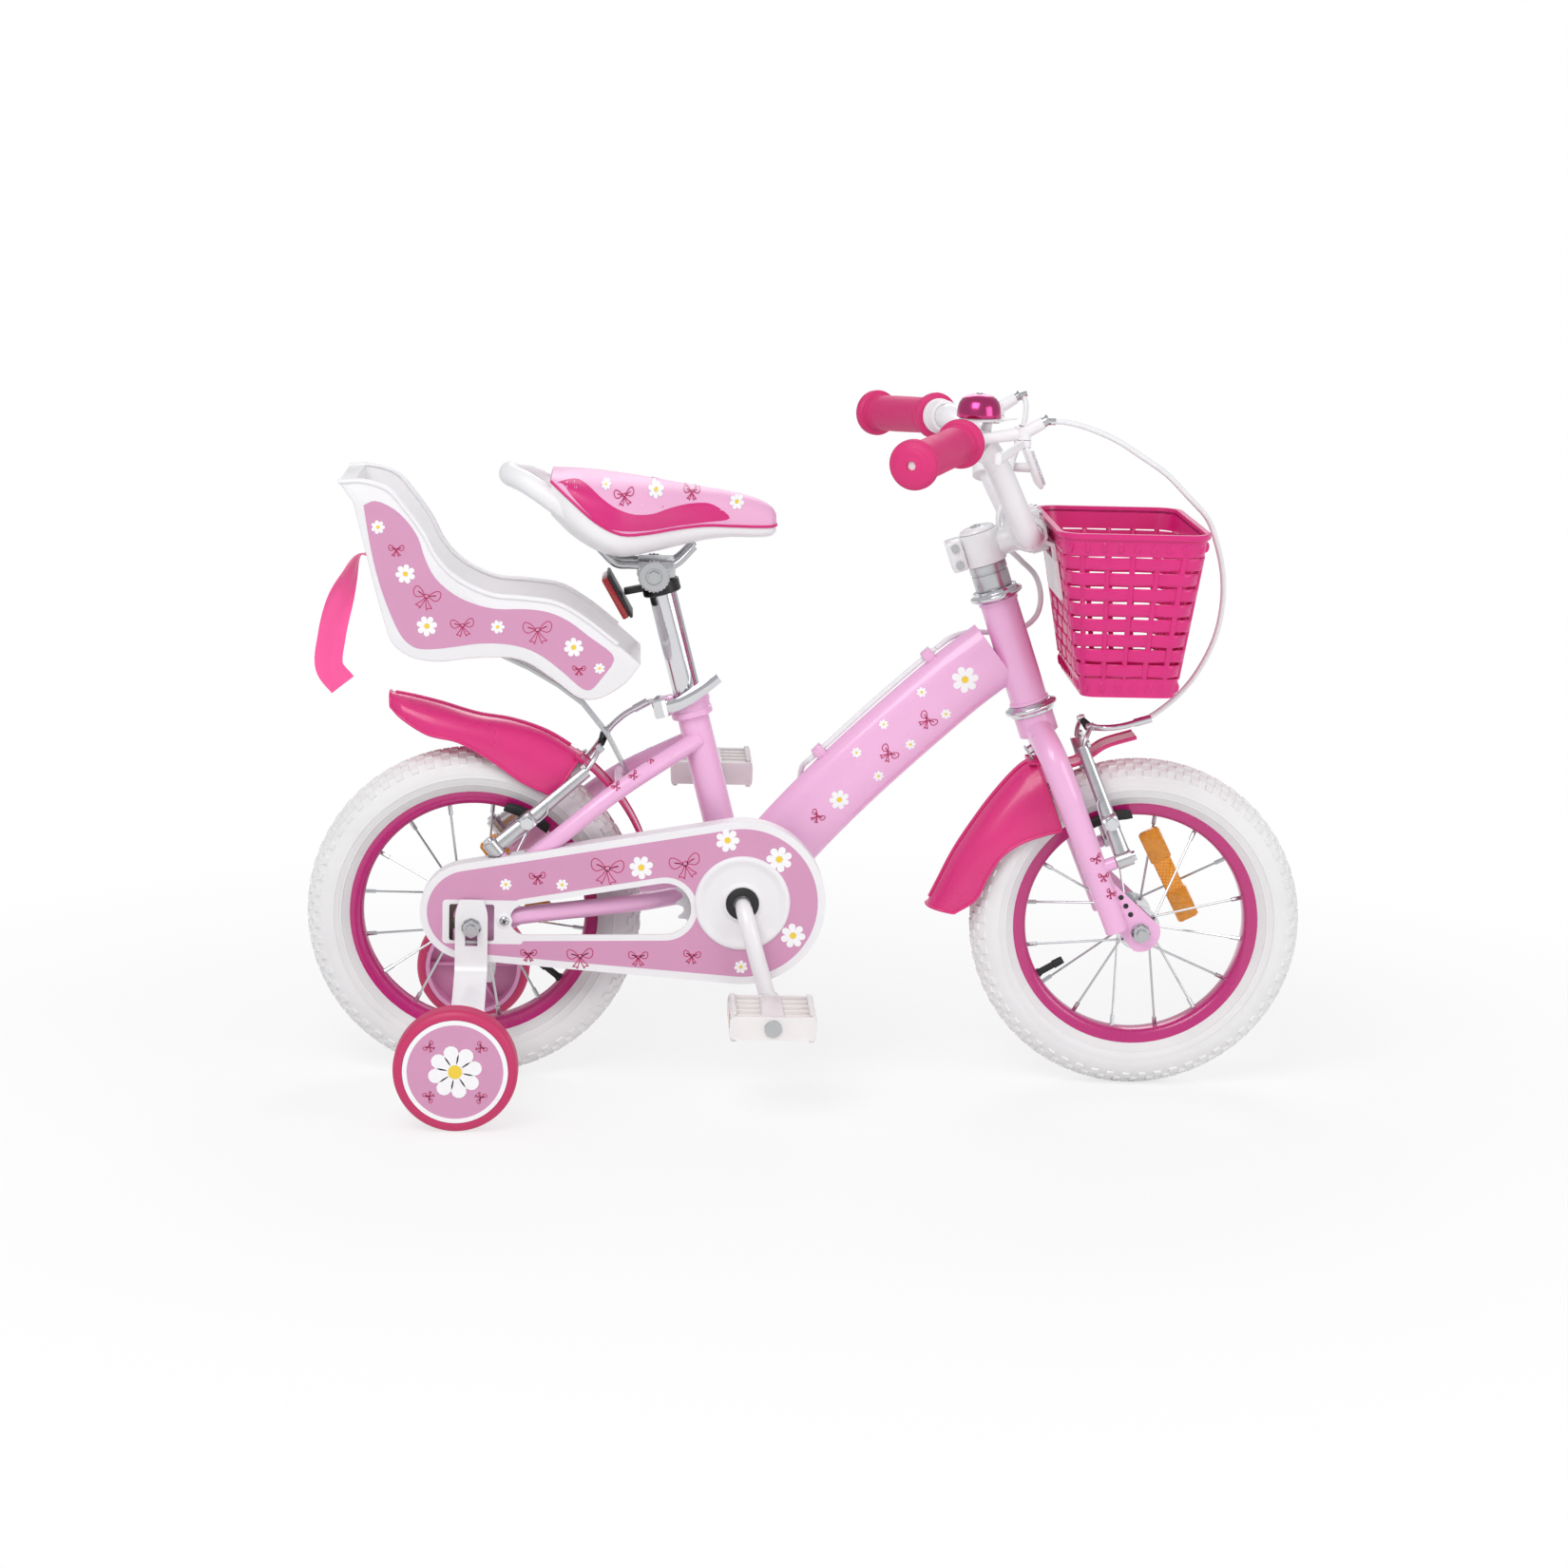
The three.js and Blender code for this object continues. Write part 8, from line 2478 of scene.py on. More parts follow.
@dataclass
class TrainingWheel:
    """One training wheel with its tyre, disc and printed face."""

    side: Side
    inner: float = 177.0
    outer: float = 205.0

    def build(self) -> None:
        """Makes the tyre, the disc, the film with its border and the prints."""
        sign = self.side.value
        name = self.side.label
        body = self.side.pick(Body.TRAINER_RIGHT, Body.TRAINER_LEFT)
        hub = TRAINER_AXLE
        axis = SIDEWAYS * sign
        tyre = Form()
        a, b = self.inner, self.outer
        profile = [(46, a), (48.5, a + 0.1), (51.5, a + 1.2), (53.3, a + 3.4), (54, a + 7)]
        for k in range(4):
            y = a + 8.4 + k * 3.6
            profile += [(54, y), (53.2, y + 0.4), (53.2, y + 1.0), (54, y + 1.4)]
        profile += [
            (54, b - 6), (53.4, b - 3), (51.8, b - 1.1), (49, b - 0.2), (46.4, b + 0.2),
            (45.9, b - 0.4), (46, a)
        ]
        tyre.lathe(profile, hub, axis, 96)
        tyre.piece(f"trainer_{name}_tyre", TRAINER_RUBBER, body, [f"trainer_tyre_{name}"], sharp=45)
        self.make_disc(name, body, hub, axis)
        face = b - 0.3
        border = Form().lathe(
            [
                (41.5, face - 0.1), (41.5, face + 0.25), (45.4, face + 0.25), (45.6, face - 0.1),
                (41.5, face - 0.1)
            ],
            hub, axis, 96
        )
        border.piece(f"trainer_{name}_border", PRINT_WHITE, body)
        film = Form().lathe(
            [(0, face - 0.1), (41.6, face - 0.1), (41.6, face + 0.15), (0, face + 0.15)], hub, axis,
            96
        )
        film.piece(f"trainer_{name}_film", PANEL_FILM, body)
        drawing = Print()
        right = FORWARDS * -sign
        top = hub + axis * (face + 0.25) * MM
        drawing.daisy(top, right, UPWARDS, 23, petals=8, turn=12)
        for i in range(4):
            angle = math.radians(45 + 90 * i)
            drawing.bow(
                top + (right * math.cos(angle) + UPWARDS * math.sin(angle)) * 32 * MM, right,
                UPWARDS, 5.5, 0.7, 90 * i - 45
            )
        drawing.lay(f"trainer_{name}", body, None, -axis)

    def make_disc(self, name: str, body: Body, hub: Vector, axis: Vector) -> None:
        """Draws the moulded disc with its hub and the ribs on its inner side."""
        a, b = self.inner, self.outer - 0.3
        disc = Form()
        profile = [
            (4.15, a), (11, a), (12, a + 0.8), (12, b - 3), (41.7, b - 3), (41.7, a + 0.6),
            (42.6, a + 0.3), (45.7, a + 0.3), (45.7, b), (0, b), (0, a + 18.5), (4.15, a + 18.5),
            (4.15, a)
        ]
        disc.lathe(profile, hub, axis, 96)
        for i in range(6):
            angle = FULL_TURN * i / 6
            out = heading(angle)
            disc.block(
                hub + out * 27 * MM + axis * (b - 7.5) * MM, Vector((30.5, 13, 2.5)), out,
                upright(out), bevel=0.3
            )
        disc.piece(f"trainer_{name}_disc", DISC_PLASTIC, body, [f"trainer_disc_{name}"], soften=0.3)


# Saddle, seatpost, reflector and collar


@dataclass
class ToddlerSaddle:
    """The saddle's shell, its printed cover, handle, rails, post and rear reflector."""

    rows: tuple[tuple[float, float, float, float, float], ...] = (
        (0, 0.74, 0.46, 0.92, 0.99), (0.09, 0.93, 0.24, 0.72, 1), (0.2, 1, 0.07, 0.48, 0.99),
        (0.31, 0.96, 0, 0.34, 0.96), (0.43, 0.78, 0.05, 0.34, 0.92), (0.55, 0.58, 0.12, 0.38, 0.87),
        (0.68, 0.43, 0.2, 0.41, 0.82), (0.8, 0.34, 0.24, 0.4, 0.77), (0.91, 0.27, 0.24, 0.39, 0.7),
        (0.98, 0.2, 0.26, 0.39, 0.6), (1, 0.12, 0.31, 0.4, 0.52)
    )

    def section(self, share: float, number: int) -> float:
        """Returns one of the section's sizes at a share of the saddle's length.

        Args:
            share: from 0 at the back to 1 at the nose.
            number: 1 half width, 2 underside, 3 seam, 4 crown.

        Returns:
            The size as a share of the saddle's own.
        """
        keys = self.rows
        share = min(max(share, 0.0), 1.0)
        span = next(i for i in range(len(keys) - 1) if share <= keys[i + 1][0])
        a, b = keys[span], keys[span + 1]
        before, after = keys[max(span - 1, 0)], keys[min(span + 2, len(keys) - 1)]
        t = (share - a[0]) / (b[0] - a[0])
        leave = (b[number] - before[number]) / (b[0] - before[0]) * (b[0] - a[0])
        arrive = (after[number] - a[number]) / (after[0] - a[0]) * (b[0] - a[0])
        return (
            (2 * t**3 - 3 * t**2 + 1) * a[number] + (t**3 - 2 * t**2 + t) * leave
            + (3 * t**2 - 2 * t**3) * b[number] + (t**3 - t**2) * arrive
        )

    def place(self, share: float, angle: float, upwards: bool, more: float = 0.0) -> Vector:
        """Returns a place on the cover or on the shell.

        Args:
            share: how far forward, from 0 to 1.
            angle: from 0 at the left seam to pi at the right one.
            upwards: whether it is on the cover.
            more: how much the section is larger, in millimetres.

        Returns:
            The place in metres.
        """
        half = self.section(share, 1) * 68
        seam = 479 + 75 * self.section(share, 3)
        reach = 479 + 75 * self.section(share, 4 if upwards else 2)
        power = 0.62 if upwards else 0.5
        rise = max(math.sin(angle), 0.0) ** power
        return mm(
            -236 + 200 * share, (half + more) * math.cos(angle),
            seam + (reach - seam + (more if upwards else -more)) * rise
        )

    def shell(self, upwards: bool) -> Form:
        """Draws the cover's or the shell's closed skin."""
        rows = []
        for i in range(49):
            share = 0.5 - 0.5 * math.cos(math.pi * i / 48)
            arc = [self.place(share, math.pi * k / 40, upwards) for k in range(41)]
            flat = [arc[-1].lerp(arc[0], k / 20) for k in range(1, 20)]
            rows.append([*arc, *flat])
        form = Form().strip(rows, closed=True)
        bmesh.ops.holes_fill(form.bm, edges=[e for e in form.bm.edges if e.is_boundary])
        return form

    def build(self) -> None:
        """Makes the cover, the prints, the shell and everything under it."""
        cover = self.shell(True)
        for vert in cover.bm.verts:
            vert.co.z += 0.3 * MM
        tree = cover.tree()
        pad = cover.piece(
            "saddle_cover", SKIN_LIGHT, Body.SADDLE, ["saddle_pad"], sharp=55, soften=0.8
        )
        self.make_flashes(tree)
        self.make_seam()
        base = self.shell(False)
        base.piece(
            "saddle_shell", WHITE_PLASTIC, Body.SADDLE, ["saddle_base"], sharp=50, soften=0.8
        )
        self.make_handle()
        self.make_post()
        self.make_reflector()
        self.make_collar()

    def make_flashes(self, crown: BVHTree) -> None:
        """Lays the deep pink side flashes and the prints on the cover."""
        outline = (
            (-231, 547.5), (-224, 549.6), (-213, 550.2), (-204, 546), (-191.8, 536), (-178.3, 527),
            (-162.3, 521.5), (-146.4, 521.5), (-130.6, 526), (-109.4, 529.5), (-93.4, 528),
            (-78, 516), (-100, 512.6), (-125, 510), (-151.4, 507), (-177.9, 508), (-191.2, 513),
            (-204.7, 524), (-218.2, 538), (-226, 547)
        )
        for side in Side:
            sign = side.value
            name = side.label
            smooth = flowing_outline([*outline, outline[0]], 4)[:-1]
            flash = Form()
            face = flash.bm.faces.new([flash.bm.verts.new(mm(x, sign * 80, z)) for x, z in smooth])
            bmesh.ops.triangulate(flash.bm, faces=[face])
            for _ in range(3):
                long = [e for e in flash.bm.edges if e.calc_length() > 4 * MM]
                bmesh.ops.subdivide_edges(flash.bm, edges=long, cuts=1)
                bmesh.ops.triangulate(flash.bm, faces=flash.bm.faces[:])
            flash.pressed_on(crown, SIDEWAYS * -sign, 0.25)
            flash.piece(f"saddle_flash_{name}", SKIN_DEEP, Body.SADDLE)
            daisies = ((-144, 541, 7, 10), (-72, 530, 6.5, 40), (-188, 546, 4.2, 5))
            bows = ((-172, 538, 9, 8), (-112, 539, 7.5, -4))
            drawing = Print().scatter(sign * 80, FORWARDS * -sign, daisies, bows, 0.8)
            drawing.lay(f"saddle_{name}", Body.SADDLE, crown, SIDEWAYS * -sign, 0.4)

    def make_seam(self) -> None:
        """Draws the piping along the seam of the cover and the shell."""
        left = [
            self.place(0.5 - 0.5 * math.cos(math.pi * i / 48), 0.0, True, 0.3) for i in range(49)
        ]
        right = [mirrored(p) for p in reversed(left)]
        piping = Form().tube([*left, *right[:-1], left[0]], 1.3, 10, capped=False)
        piping.piece("saddle_piping", SKIN_DEEP, Body.SADDLE)

    def make_handle(self) -> None:
        """Bends the moulded handle behind the saddle and the rails below it."""
        half = [
            mm(-206, 50, 510), mm(-232, 46, 529), mm(-258, 36, 545), mm(-272, 16, 549),
            mm(-274, 0, 549.5)
        ]
        path = flowing([*half, *[mirrored(p) for p in reversed(half[:-1])]], 10)
        Form().tube(path, 9.5, 40).piece("saddle_handle", WHITE_PLASTIC, Body.SADDLE)
        rails = Form()
        for sign in (-1, 1):
            route = flowing(
                [
                    mm(-195.3, sign * 24, 489.3), mm(-178, sign * 20, 473),
                    mm(-165, sign * 20, 472), mm(-139, sign * 20, 472), mm(-126, sign * 20, 473),
                    mm(-108.7, sign * 16, 489.3)
                ],
                8
            )
            rails.tube(route, 3.5, 20)
        rails.piece("saddle_rails", ZINC, Body.SADDLE)

    def make_post(self) -> None:
        """Turns the plated post with its head, clamp, toothed discs and bolt."""
        middle = seat_place(0)
        top = middle + SEAT_UP * ((474 - 176) / SEAT_UP.z) * MM
        foot = middle + SEAT_UP * (SEAT_TUBE_LENGTH - 78) * MM
        post = Form().rod(foot, top, 12.7, 48)
        post.piece("seatpost_tube", CHROME, Body.SADDLE, ["seatpost"], soften=0.5)
        centre = middle + SEAT_UP * ((468 - 176) / SEAT_UP.z) * MM
        clamp = Form().block(
            Vector((centre.x, 0, mm(0, 0, 468.7).z)), Vector((34, 48, 15)), bevel=2.5
        )
        for sign in (-1, 1):
            disc = Vector((centre.x, 0, 0)) + mm(-2, 0, 463)
            clamp.lathe(
                [
                    (0, 24), (13, 24), (13.8, 24.6), (13.8, 28.4), (12.8, 29.2), (7.4, 29.2),
                    (7, 28.4), (0, 28.4)
                ],
                disc, SIDEWAYS * sign, 48
            )
            for i in range(24):
                angle = FULL_TURN * i / 24
                out = heading(angle)
                clamp.block(
                    disc + out * 13.2 * MM + SIDEWAYS * sign * 26.5 * MM, Vector((2.2, 4.4, 1.6)),
                    out, upright(out)
                )
            clamp.rod(disc + SIDEWAYS * sign * 28 * MM, disc + SIDEWAYS * sign * 33.5 * MM, 5.4, 6)
        clamp.piece("seatpost_clamp", ZINC, Body.SADDLE)

    def make_reflector(self) -> None:
        """Hangs the red reflector behind the post on its black ring and arm."""
        ring = Form()
        profile = [
            (13.0, 278), (16, 278), (17.2, 279), (17.2, 289), (16, 290), (13.0, 290), (13.0, 278)
        ]
        ring.lathe(profile, SEAT_FOOT, SEAT_UP, 64)
        collar = seat_place(284)
        tilt = math.radians(30)
        away = Vector((-math.cos(tilt), 0, -math.sin(tilt)))
        up = Vector((-math.sin(tilt), 0, math.cos(tilt)))
        face = mm(-178, 0, 442)
        ring.block(
            collar.lerp(face, 0.5) + mm(0, 0, 2), Vector((26, 11, 6)), face - collar, bevel=1.2
        )
        ring.block(face - away * 4.6 * MM, Vector((3, 50, 44)), away, up, bevel=1.2)
        ring.rod(collar + mm(-15, -9, 1), collar + mm(-15, 9, 1), 3.6, 20)
        ring.piece("rear_reflector_bracket", BLACK_NYLON_AND_SHADE, Body.SADDLE, sharp=35)
        lens = Form().block(face, Vector((6.5, 47, 41)), away, up, bevel=1.6)
        lens.piece("rear_reflector_lens", RED, Body.SADDLE, ["rear_reflector"])

    def make_collar(self) -> None:
        """Turns the painted seat collar with its ear, and the quick release skewer with its nut."""
        base = SEAT_TUBE_LENGTH
        collar = Form()
        collar.lathe(
            [
                (14.45, base), (17.8, base), (18.8, base + 1), (18.8, base + 5.8),
                (17.9, base + 6.6), (17.9, base + 11.4), (18.8, base + 12.2), (18.8, base + 17),
                (17.8, base + 18), (14.45, base + 18), (14.45, base)
            ],
            SEAT_FOOT, SEAT_UP, 80
        )
        ear = mm(-135.7, 0, 342.7)
        collar.block(
            ear + mm(6.5, 0, 0), Vector((14, 19, 16.5)), Vector((SEAT_UP.z, 0, -SEAT_UP.x)),
            SEAT_UP, bevel=2
        )
        collar.piece("seat_collar_band", FRAME_PAINT, Body.FRAME, ["seat_collar"])
        skewer = Form().rod(ear + mm(0, -11, 0), ear + mm(0, 17, 0), 2.5, 20)
        skewer.lathe(
            [(0, 10), (6.4, 10), (7, 10.8), (7, 15), (6, 16.4), (0, 16.4)], ear, SIDEWAYS, 32
        )
        skewer.piece("seat_skewer", ZINC, Body.FRAME)


# Fenders, basket and brackets


@dataclass
class Fender:
    """One moulded fender: a domed shell, its narrow tongue and the post that fixes it."""

    name: str
    body: Body
    node: str
    back: float
    low: float
    length: float
    height: float
    rows: tuple[tuple[float, float, float, float, float], ...]
    tongue: tuple[tuple[float, float], ...]
    tongue_half: float
    half: float = 30.0
    wall: float = 2.2

    def place(self, x: float, z: float) -> Vector:
        """Returns a place of the side view, given as shares of the fender's size."""
        return mm(self.back + x * self.length, 0, self.low + z * self.height)

    def build(self, mount: tuple[Vector, Vector, float]) -> None:
        """Makes the shell with its rolled lip, the tongue and the mount.

        Args:
            mount: the fixing's start, end and radius in millimetres.
        """
        tops = flowing([self.place(r[0], r[1]) for r in self.rows], 6)
        edges = flowing([self.place(r[2], r[3]) for r in self.rows], 6)
        widths = [p.x for p in flowing([Vector((r[4], i, 0)) for i, r in enumerate(self.rows)], 6)]
        rows = []
        for top, edge, width in zip(tops, edges, widths):
            row = []
            for c in range(29):
                angle = math.pi * c / 28
                spot = edge.lerp(top, math.sin(angle) ** 0.7 if 0 < c < 28 else 0)
                row.append(Vector((spot.x, self.half * width * math.cos(angle) * MM, spot.z)))
            rows.append(row)
        shell = Form().strip(rows)
        shell.thick(self.wall)
        for end in (0, -1):
            shell.tube([row[end] for row in rows], 1.5, 12)
        for row in (rows[0], rows[-1]):
            shell.tube(row, 1.4, 12)
        rib = [top.lerp(edge, -0.012) for top, edge in zip(tops, edges)][2:-2]
        shell.tube(rib, 3.2, 14, height=0.5)
        line = flowing([mm(x, 0, z) for x, z in self.tongue], 6)
        band = []
        for spot, before, after in neighbours(line):
            out = upright((after - before).normalized())
            band.append(
                [
                    spot + SIDEWAYS * self.tongue_half * k / 6 * MM - out * 0.9 * (k / 6) ** 2 * MM
                    for k in range(-6, 7)
                ]
            )
        tongue = Form().strip(band)
        tongue.thick(self.wall)
        for row_end in (0, -1):
            tongue.tube([row[row_end] for row in band], 1.4, 12)
        start, end, radius = mount
        tongue.rod(start, end, radius, 24)
        shell.piece(f"{self.name}_shell", FENDER_PLASTIC, self.body, [self.node], sharp=50)
        tongue.piece(f"{self.name}_tongue", FENDER_PLASTIC, self.body, sharp=50)


def build_fenders() -> None:
    """Makes both fenders."""
    rear_rows = (
        (0, 1, 0.005, 0.87, 0.5), (0.08, 0.975, 0.06, 0.78, 0.8), (0.25, 0.9, 0.2, 0.62, 0.97),
        (0.45, 0.79, 0.36, 0.55, 1), (0.64, 0.73, 0.53, 0.37, 1), (0.82, 0.61, 0.7, 0.14, 0.97),
        (1, 0.4, 0.86, 0, 0.93)
    )
    front_rows = (
        (0, 0.03, 0.2, 0, 0.72), (0.08, 0.17, 0.36, 0.1, 0.86), (0.2, 0.38, 0.45, 0.26, 0.95),
        (0.34, 0.57, 0.56, 0.4, 1), (0.5, 0.76, 0.7, 0.48, 1), (0.68, 0.93, 0.86, 0.53, 1),
        (0.8, 1, 1, 0.56, 0.98)
    )
    arc = []
    for i in range(7):
        angle = math.radians(58.5 - 36.5 * i / 6)
        reach = 173 - 6 * i / 6
        arc.append((-301 + reach * math.cos(angle), 151 + reach * math.sin(angle)))
    bridge = mm(-171, 0, 273.9)
    outward = (bridge - REAR_AXLE).normalized()
    rear = Fender(
        "rear_fender", Body.FRAME, "rear_fender", -378, 263, 172, 88, rear_rows, tuple(arc), 18
    )
    rear.build((REAR_AXLE + outward * 167 * MM, bridge - outward * 6.2 * MM, 4))
    shares = ((0.74, 0.989), (0.92, 0.98), (1.08, 0.977), (1.2, 1.03), (1.32, 1.1), (1.556, 1.165))
    strip = tuple((110 + x * 118, 160 + z * 142) for x, z in shares)
    front = Fender(
        "front_fender", Body.FRONT_END, "front_fender", 110, 160, 118, 142, front_rows, strip, 17
    )
    front.build((steering_place(-58, 0), steering_place(-37.3, 0), 5))


@dataclass
class WovenBasket:
    """The moulded basket with its woven-look walls, rolled rim and floor."""

    low: float = 372.0
    high: float = 519.0
    wall: float = 3.0
    rim_band: float = 20.0
    base_band: float = 17.0
    slats: int = 8
    posts: int = 28
    corner_steps: int = 16

    def half_size(self, z: float) -> tuple[float, float, float]:
        """Returns the back X, the front X and the half width at a height, all in millimetres."""
        share = (z - self.low) / (self.high - self.low)
        return (234 - 26 * share, 318 + 22 * share, 88 + 20 * share)

    def ring(self, z: float, more: float = 0.0) -> list[Vector]:
        """Returns the basket's outline at a height.

        Args:
            z: the height in millimetres.
            more: how far outside the wall it lies, in millimetres.

        Returns:
            The closed outline, from the right front corner on.
        """
        back, front, half = self.half_size(z)
        corner = 0.16 * (front - back)
        places = []
        for index, (x, y) in enumerate(
            ((front, -half), (front, half), (back, half), (back, -half))
        ):
            toward = 1 if x == front else -1
            aside = 1 if y > 0 else -1
            for step in range(self.corner_steps + 1):
                angle = (index - 1 + step / self.corner_steps) * math.pi / 2
                places.append(
                    mm(
                        x - toward * corner + (corner + more) * math.cos(angle),
                        y - aside * corner + (corner + more) * math.sin(angle), z
                    )
                )
        return places

    def walk(self, z: float, more: float, count: int) -> list[Vector]:
        """Returns the outline at a height as evenly spaced places."""
        ring = self.ring(z, more)
        return evenly([*ring, ring[0]], count)

    def band(
        self, form: Form, low: float, high: float, outer: float, inner: float, crown: float = 0.0
    ) -> None:
        """Adds one closed band of the wall.

        Args:
            form: the form that grows.
            low: its lower edge's height in millimetres.
            high: its upper edge's height.
            outer: how far its outer face lies outside the wall's outline.
            inner: the same for its inner face.
            crown: how much its outer face bulges.
        """
        middle = (low + high) / 2
        sections = [
            (low, inner), (low, outer), (middle, outer + crown), (high, outer), (high, inner)
        ]
        form.strip([self.ring(z, more) for z, more in sections], closed=True, loop=True)

    def build(self) -> None:
        """Makes the rim, the floor band, the slats and the upright posts."""
        basket = Form()
        self.band(basket, self.high - self.rim_band, self.high - 3, 0, -self.wall)
        self.band(basket, self.high - 5, self.high, 2, -self.wall, 0.6)
        self.band(basket, self.low, self.low + self.base_band, 0, -self.wall)
        floor = Form().strip(
            [
                self.ring(self.low, -self.wall + 0.6),
                self.ring(self.low + self.wall, -self.wall + 0.6)
            ],
            closed=True
        )
        bmesh.ops.holes_fill(floor.bm, edges=[e for e in floor.bm.edges if e.is_boundary])
        floor.piece("basket_floor", BASKET_PLASTIC, Body.FRONT_END, sharp=45)
        self.make_slats(basket)
        self.make_posts(basket)
        self.make_scallops(basket)
        basket.piece("basket_weave", BASKET_PLASTIC, Body.FRONT_END, ["basket"], sharp=45)

    def make_slats(self, basket: Form) -> None:
        """Adds the level slats, each woven in and out past the posts."""
        field_low, field_high = self.low + self.base_band, self.high - self.rim_band
        pitch = (field_high - field_low) / self.slats
        per = 10
        for row in range(self.slats):
            low = field_low + pitch * row + pitch * 0.11
            high = field_low + pitch * (row + 1) - pitch * 0.09
            levels = [
                low, low + 0.9, (low + high) / 2 - 1.6, (low + high) / 2, (low + high) / 2 + 1.6,
                high - 0.9, high
            ]
            relief = [0, 0.7, 0.85, 0.45, 0.85, 0.7, 0]
            outer = []
            for z, lift in zip(levels, relief):
                inside = self.walk(z, 0, self.posts * per)
                beyond = self.walk(z, 1, self.posts * per)
                line = []
                for k, (a, b) in enumerate(zip(inside, beyond)):
                    sway = math.cos(math.pi * (k / per) + math.pi * row)
                    line.append(a + (b - a) * (0.95 * sway - 0.95 + lift))
                outer.append(line)
            inner = []
            for z in (high, low):
                inside = self.walk(z, 0, self.posts * per)
                beyond = self.walk(z, 1, self.posts * per)
                inner.append(
                    [
                        a + (b - a) * (
                            0.95 * math.cos(math.pi * (k / per) + math.pi * row) - 0.95 - 1.3
                        ) for k,
                        (a, b) in enumerate(zip(inside, beyond))
                    ]
                )
            basket.strip([*outer, *inner], closed=True, loop=True)

    def make_posts(self, basket: Form) -> None:
        """Adds the upright posts that the slats pass."""
        field_low, field_high = self.low + self.base_band - 1, self.high - self.rim_band + 1
        low_ring = self.walk(field_low, -1.5, self.posts)
        high_ring = self.walk(field_high, -1.5, self.posts)
        low_out = self.walk(field_low, 0, self.posts)
        for foot, head, out in zip(low_ring, high_ring, low_out):
            normal = (out - foot).normalized()
            along = head - foot
            across = normal.cross(along).normalized()
            basket.block(
                foot.lerp(head, 0.5), Vector((along.length / MM, 4.6, 2.6)), along,
                across.cross(along).normalized(), bevel=0.5
            )

    def make_scallops(self, basket: Form) -> None:
        """Adds the row of small raised marks on the rim band and on the floor band."""
        for z, count in ((self.high - 12, 44), (self.low + 9, 36)):
            inside = self.walk(z, -0.3, count)
            outside = self.walk(z, 1, count)
            for a, b in zip(inside, outside):
                out = (b - a).normalized()
                ball = bmesh.ops.create_uvsphere(
                    basket.bm, u_segments=12, v_segments=8, radius=1
                )["verts"]
                side = UPWARDS.cross(out)
                turn = Matrix((side, UPWARDS, out)).transposed().to_4x4()
                bmesh.ops.transform(
                    basket.bm,
                    matrix=Matrix.Translation(a) @ turn @ Matrix.Diagonal(
                        (4 * MM, 5 * MM, 0.8 * MM, 1)
                    ),
                    verts=ball
                )


@dataclass
class TrainerStay:
    """The bent steel bracket of one training wheel, with its slot and bolt."""

    side: Side
    centre_x: float = -301.0
    width: float = 29.0
    thickness: float = 3.5

    def build(self) -> None:
        """Makes the bracket with its hole and slot, and the wheel's bolt."""
        sign = self.side.value
        name = self.side.label
        knots = (
            (70.25, 176), (70.25, 151), (70.25, 126), (70.9, 116), (75, 109.5), (86, 105),
            (150, 84), (163, 79), (169, 74), (170.25, 66), (170.25, 42)
        )
        line = flowing([Vector((0, y, z)) * MM for y, z in knots], 6)
        rows = []
        for i, (spot, before, after) in enumerate(neighbours(line)):
            along = (after - before).normalized()
            out = Vector((0, -along.z, along.y))
            edge = min(i, len(line) - 1 - i) / 4
            half = self.width / 2 * (math.sin(min(edge, 1) * math.pi / 2) * 0.28 + 0.72)
            row = []
            for x, lift in ((-half, -0.5), (half, -0.5), (half, 0.5), (-half, 0.5)):
                row.append(mm(self.centre_x + x, 0, 0) + spot + out * lift * self.thickness * MM)
            rows.append(row)
        plate = Form().strip(rows, closed=True)
        bmesh.ops.holes_fill(plate.bm, edges=[e for e in plate.bm.edges if e.is_boundary])
        hole = Form().rod(mm(self.centre_x, 60, 151), mm(self.centre_x, 80, 151), 5.5, 32)
        slot = Form().block(mm(self.centre_x, 70, 142.5), Vector((11, 20, 17)))
        plate.carve(hole, slot)
        if self.side is Side.RIGHT:
            bmesh.ops.scale(plate.bm, vec=(1, -1, 1), verts=plate.bm.verts)
        plate.piece(
            f"trainer_{name}_stay", WHITE_PAINT, Body.FRAME, [f"trainer_bracket_{name}"], soften=0.7
        )
        hub = TRAINER_AXLE
        axis = SIDEWAYS * sign
        bolt = Form().pin(hub, axis, 163.5, 195, 4, 32)
        bolt.lathe([(0, 163.5), (6.2, 163.5), (6.9, 164.2), (6.9, 168.5), (0, 168.5)], hub, axis, 6)
        bolt.lathe([(4, 172), (6.9, 172), (6.9, 176.7), (4, 176.7), (4, 172)], hub, axis, 40)
        bolt.piece(f"trainer_{name}_bolt", ZINC, Body.FRAME)


# Headset, cable guides at the brakes, fender bracket and the prints on the painted tubes


def build_headset() -> None:
    """Turns the two plated headset cups."""
    for name, base, outward in (("upper", HEAD_TUBE_LENGTH, 1), ("lower", 0.0, -1)):
        shares = [
            (13.7, 0.3), (19.2, 0.3), (20.4, 1.2), (20.8, 2.0), (23.2, 2.6), (24.0, 3.4),
            (24.0, 5.6), (23.2, 6.4)
        ]
        shares += [(20.8, 7.4), (20.4, 8.2), (20.0, 10.2), (19.4, 10.5), (13.7, 10.5), (13.7, 0.3)]
        profile = [(r, base + outward * d) for r, d in shares]
        cup = Form().lathe(profile, steering_place(0, 0), STEER_UP, 96)
        cup.piece(
            f"headset_{name}_cup_shell", CHROME, Body.FRAME, [f"headset_{name}_cup"], sharp=50
        )


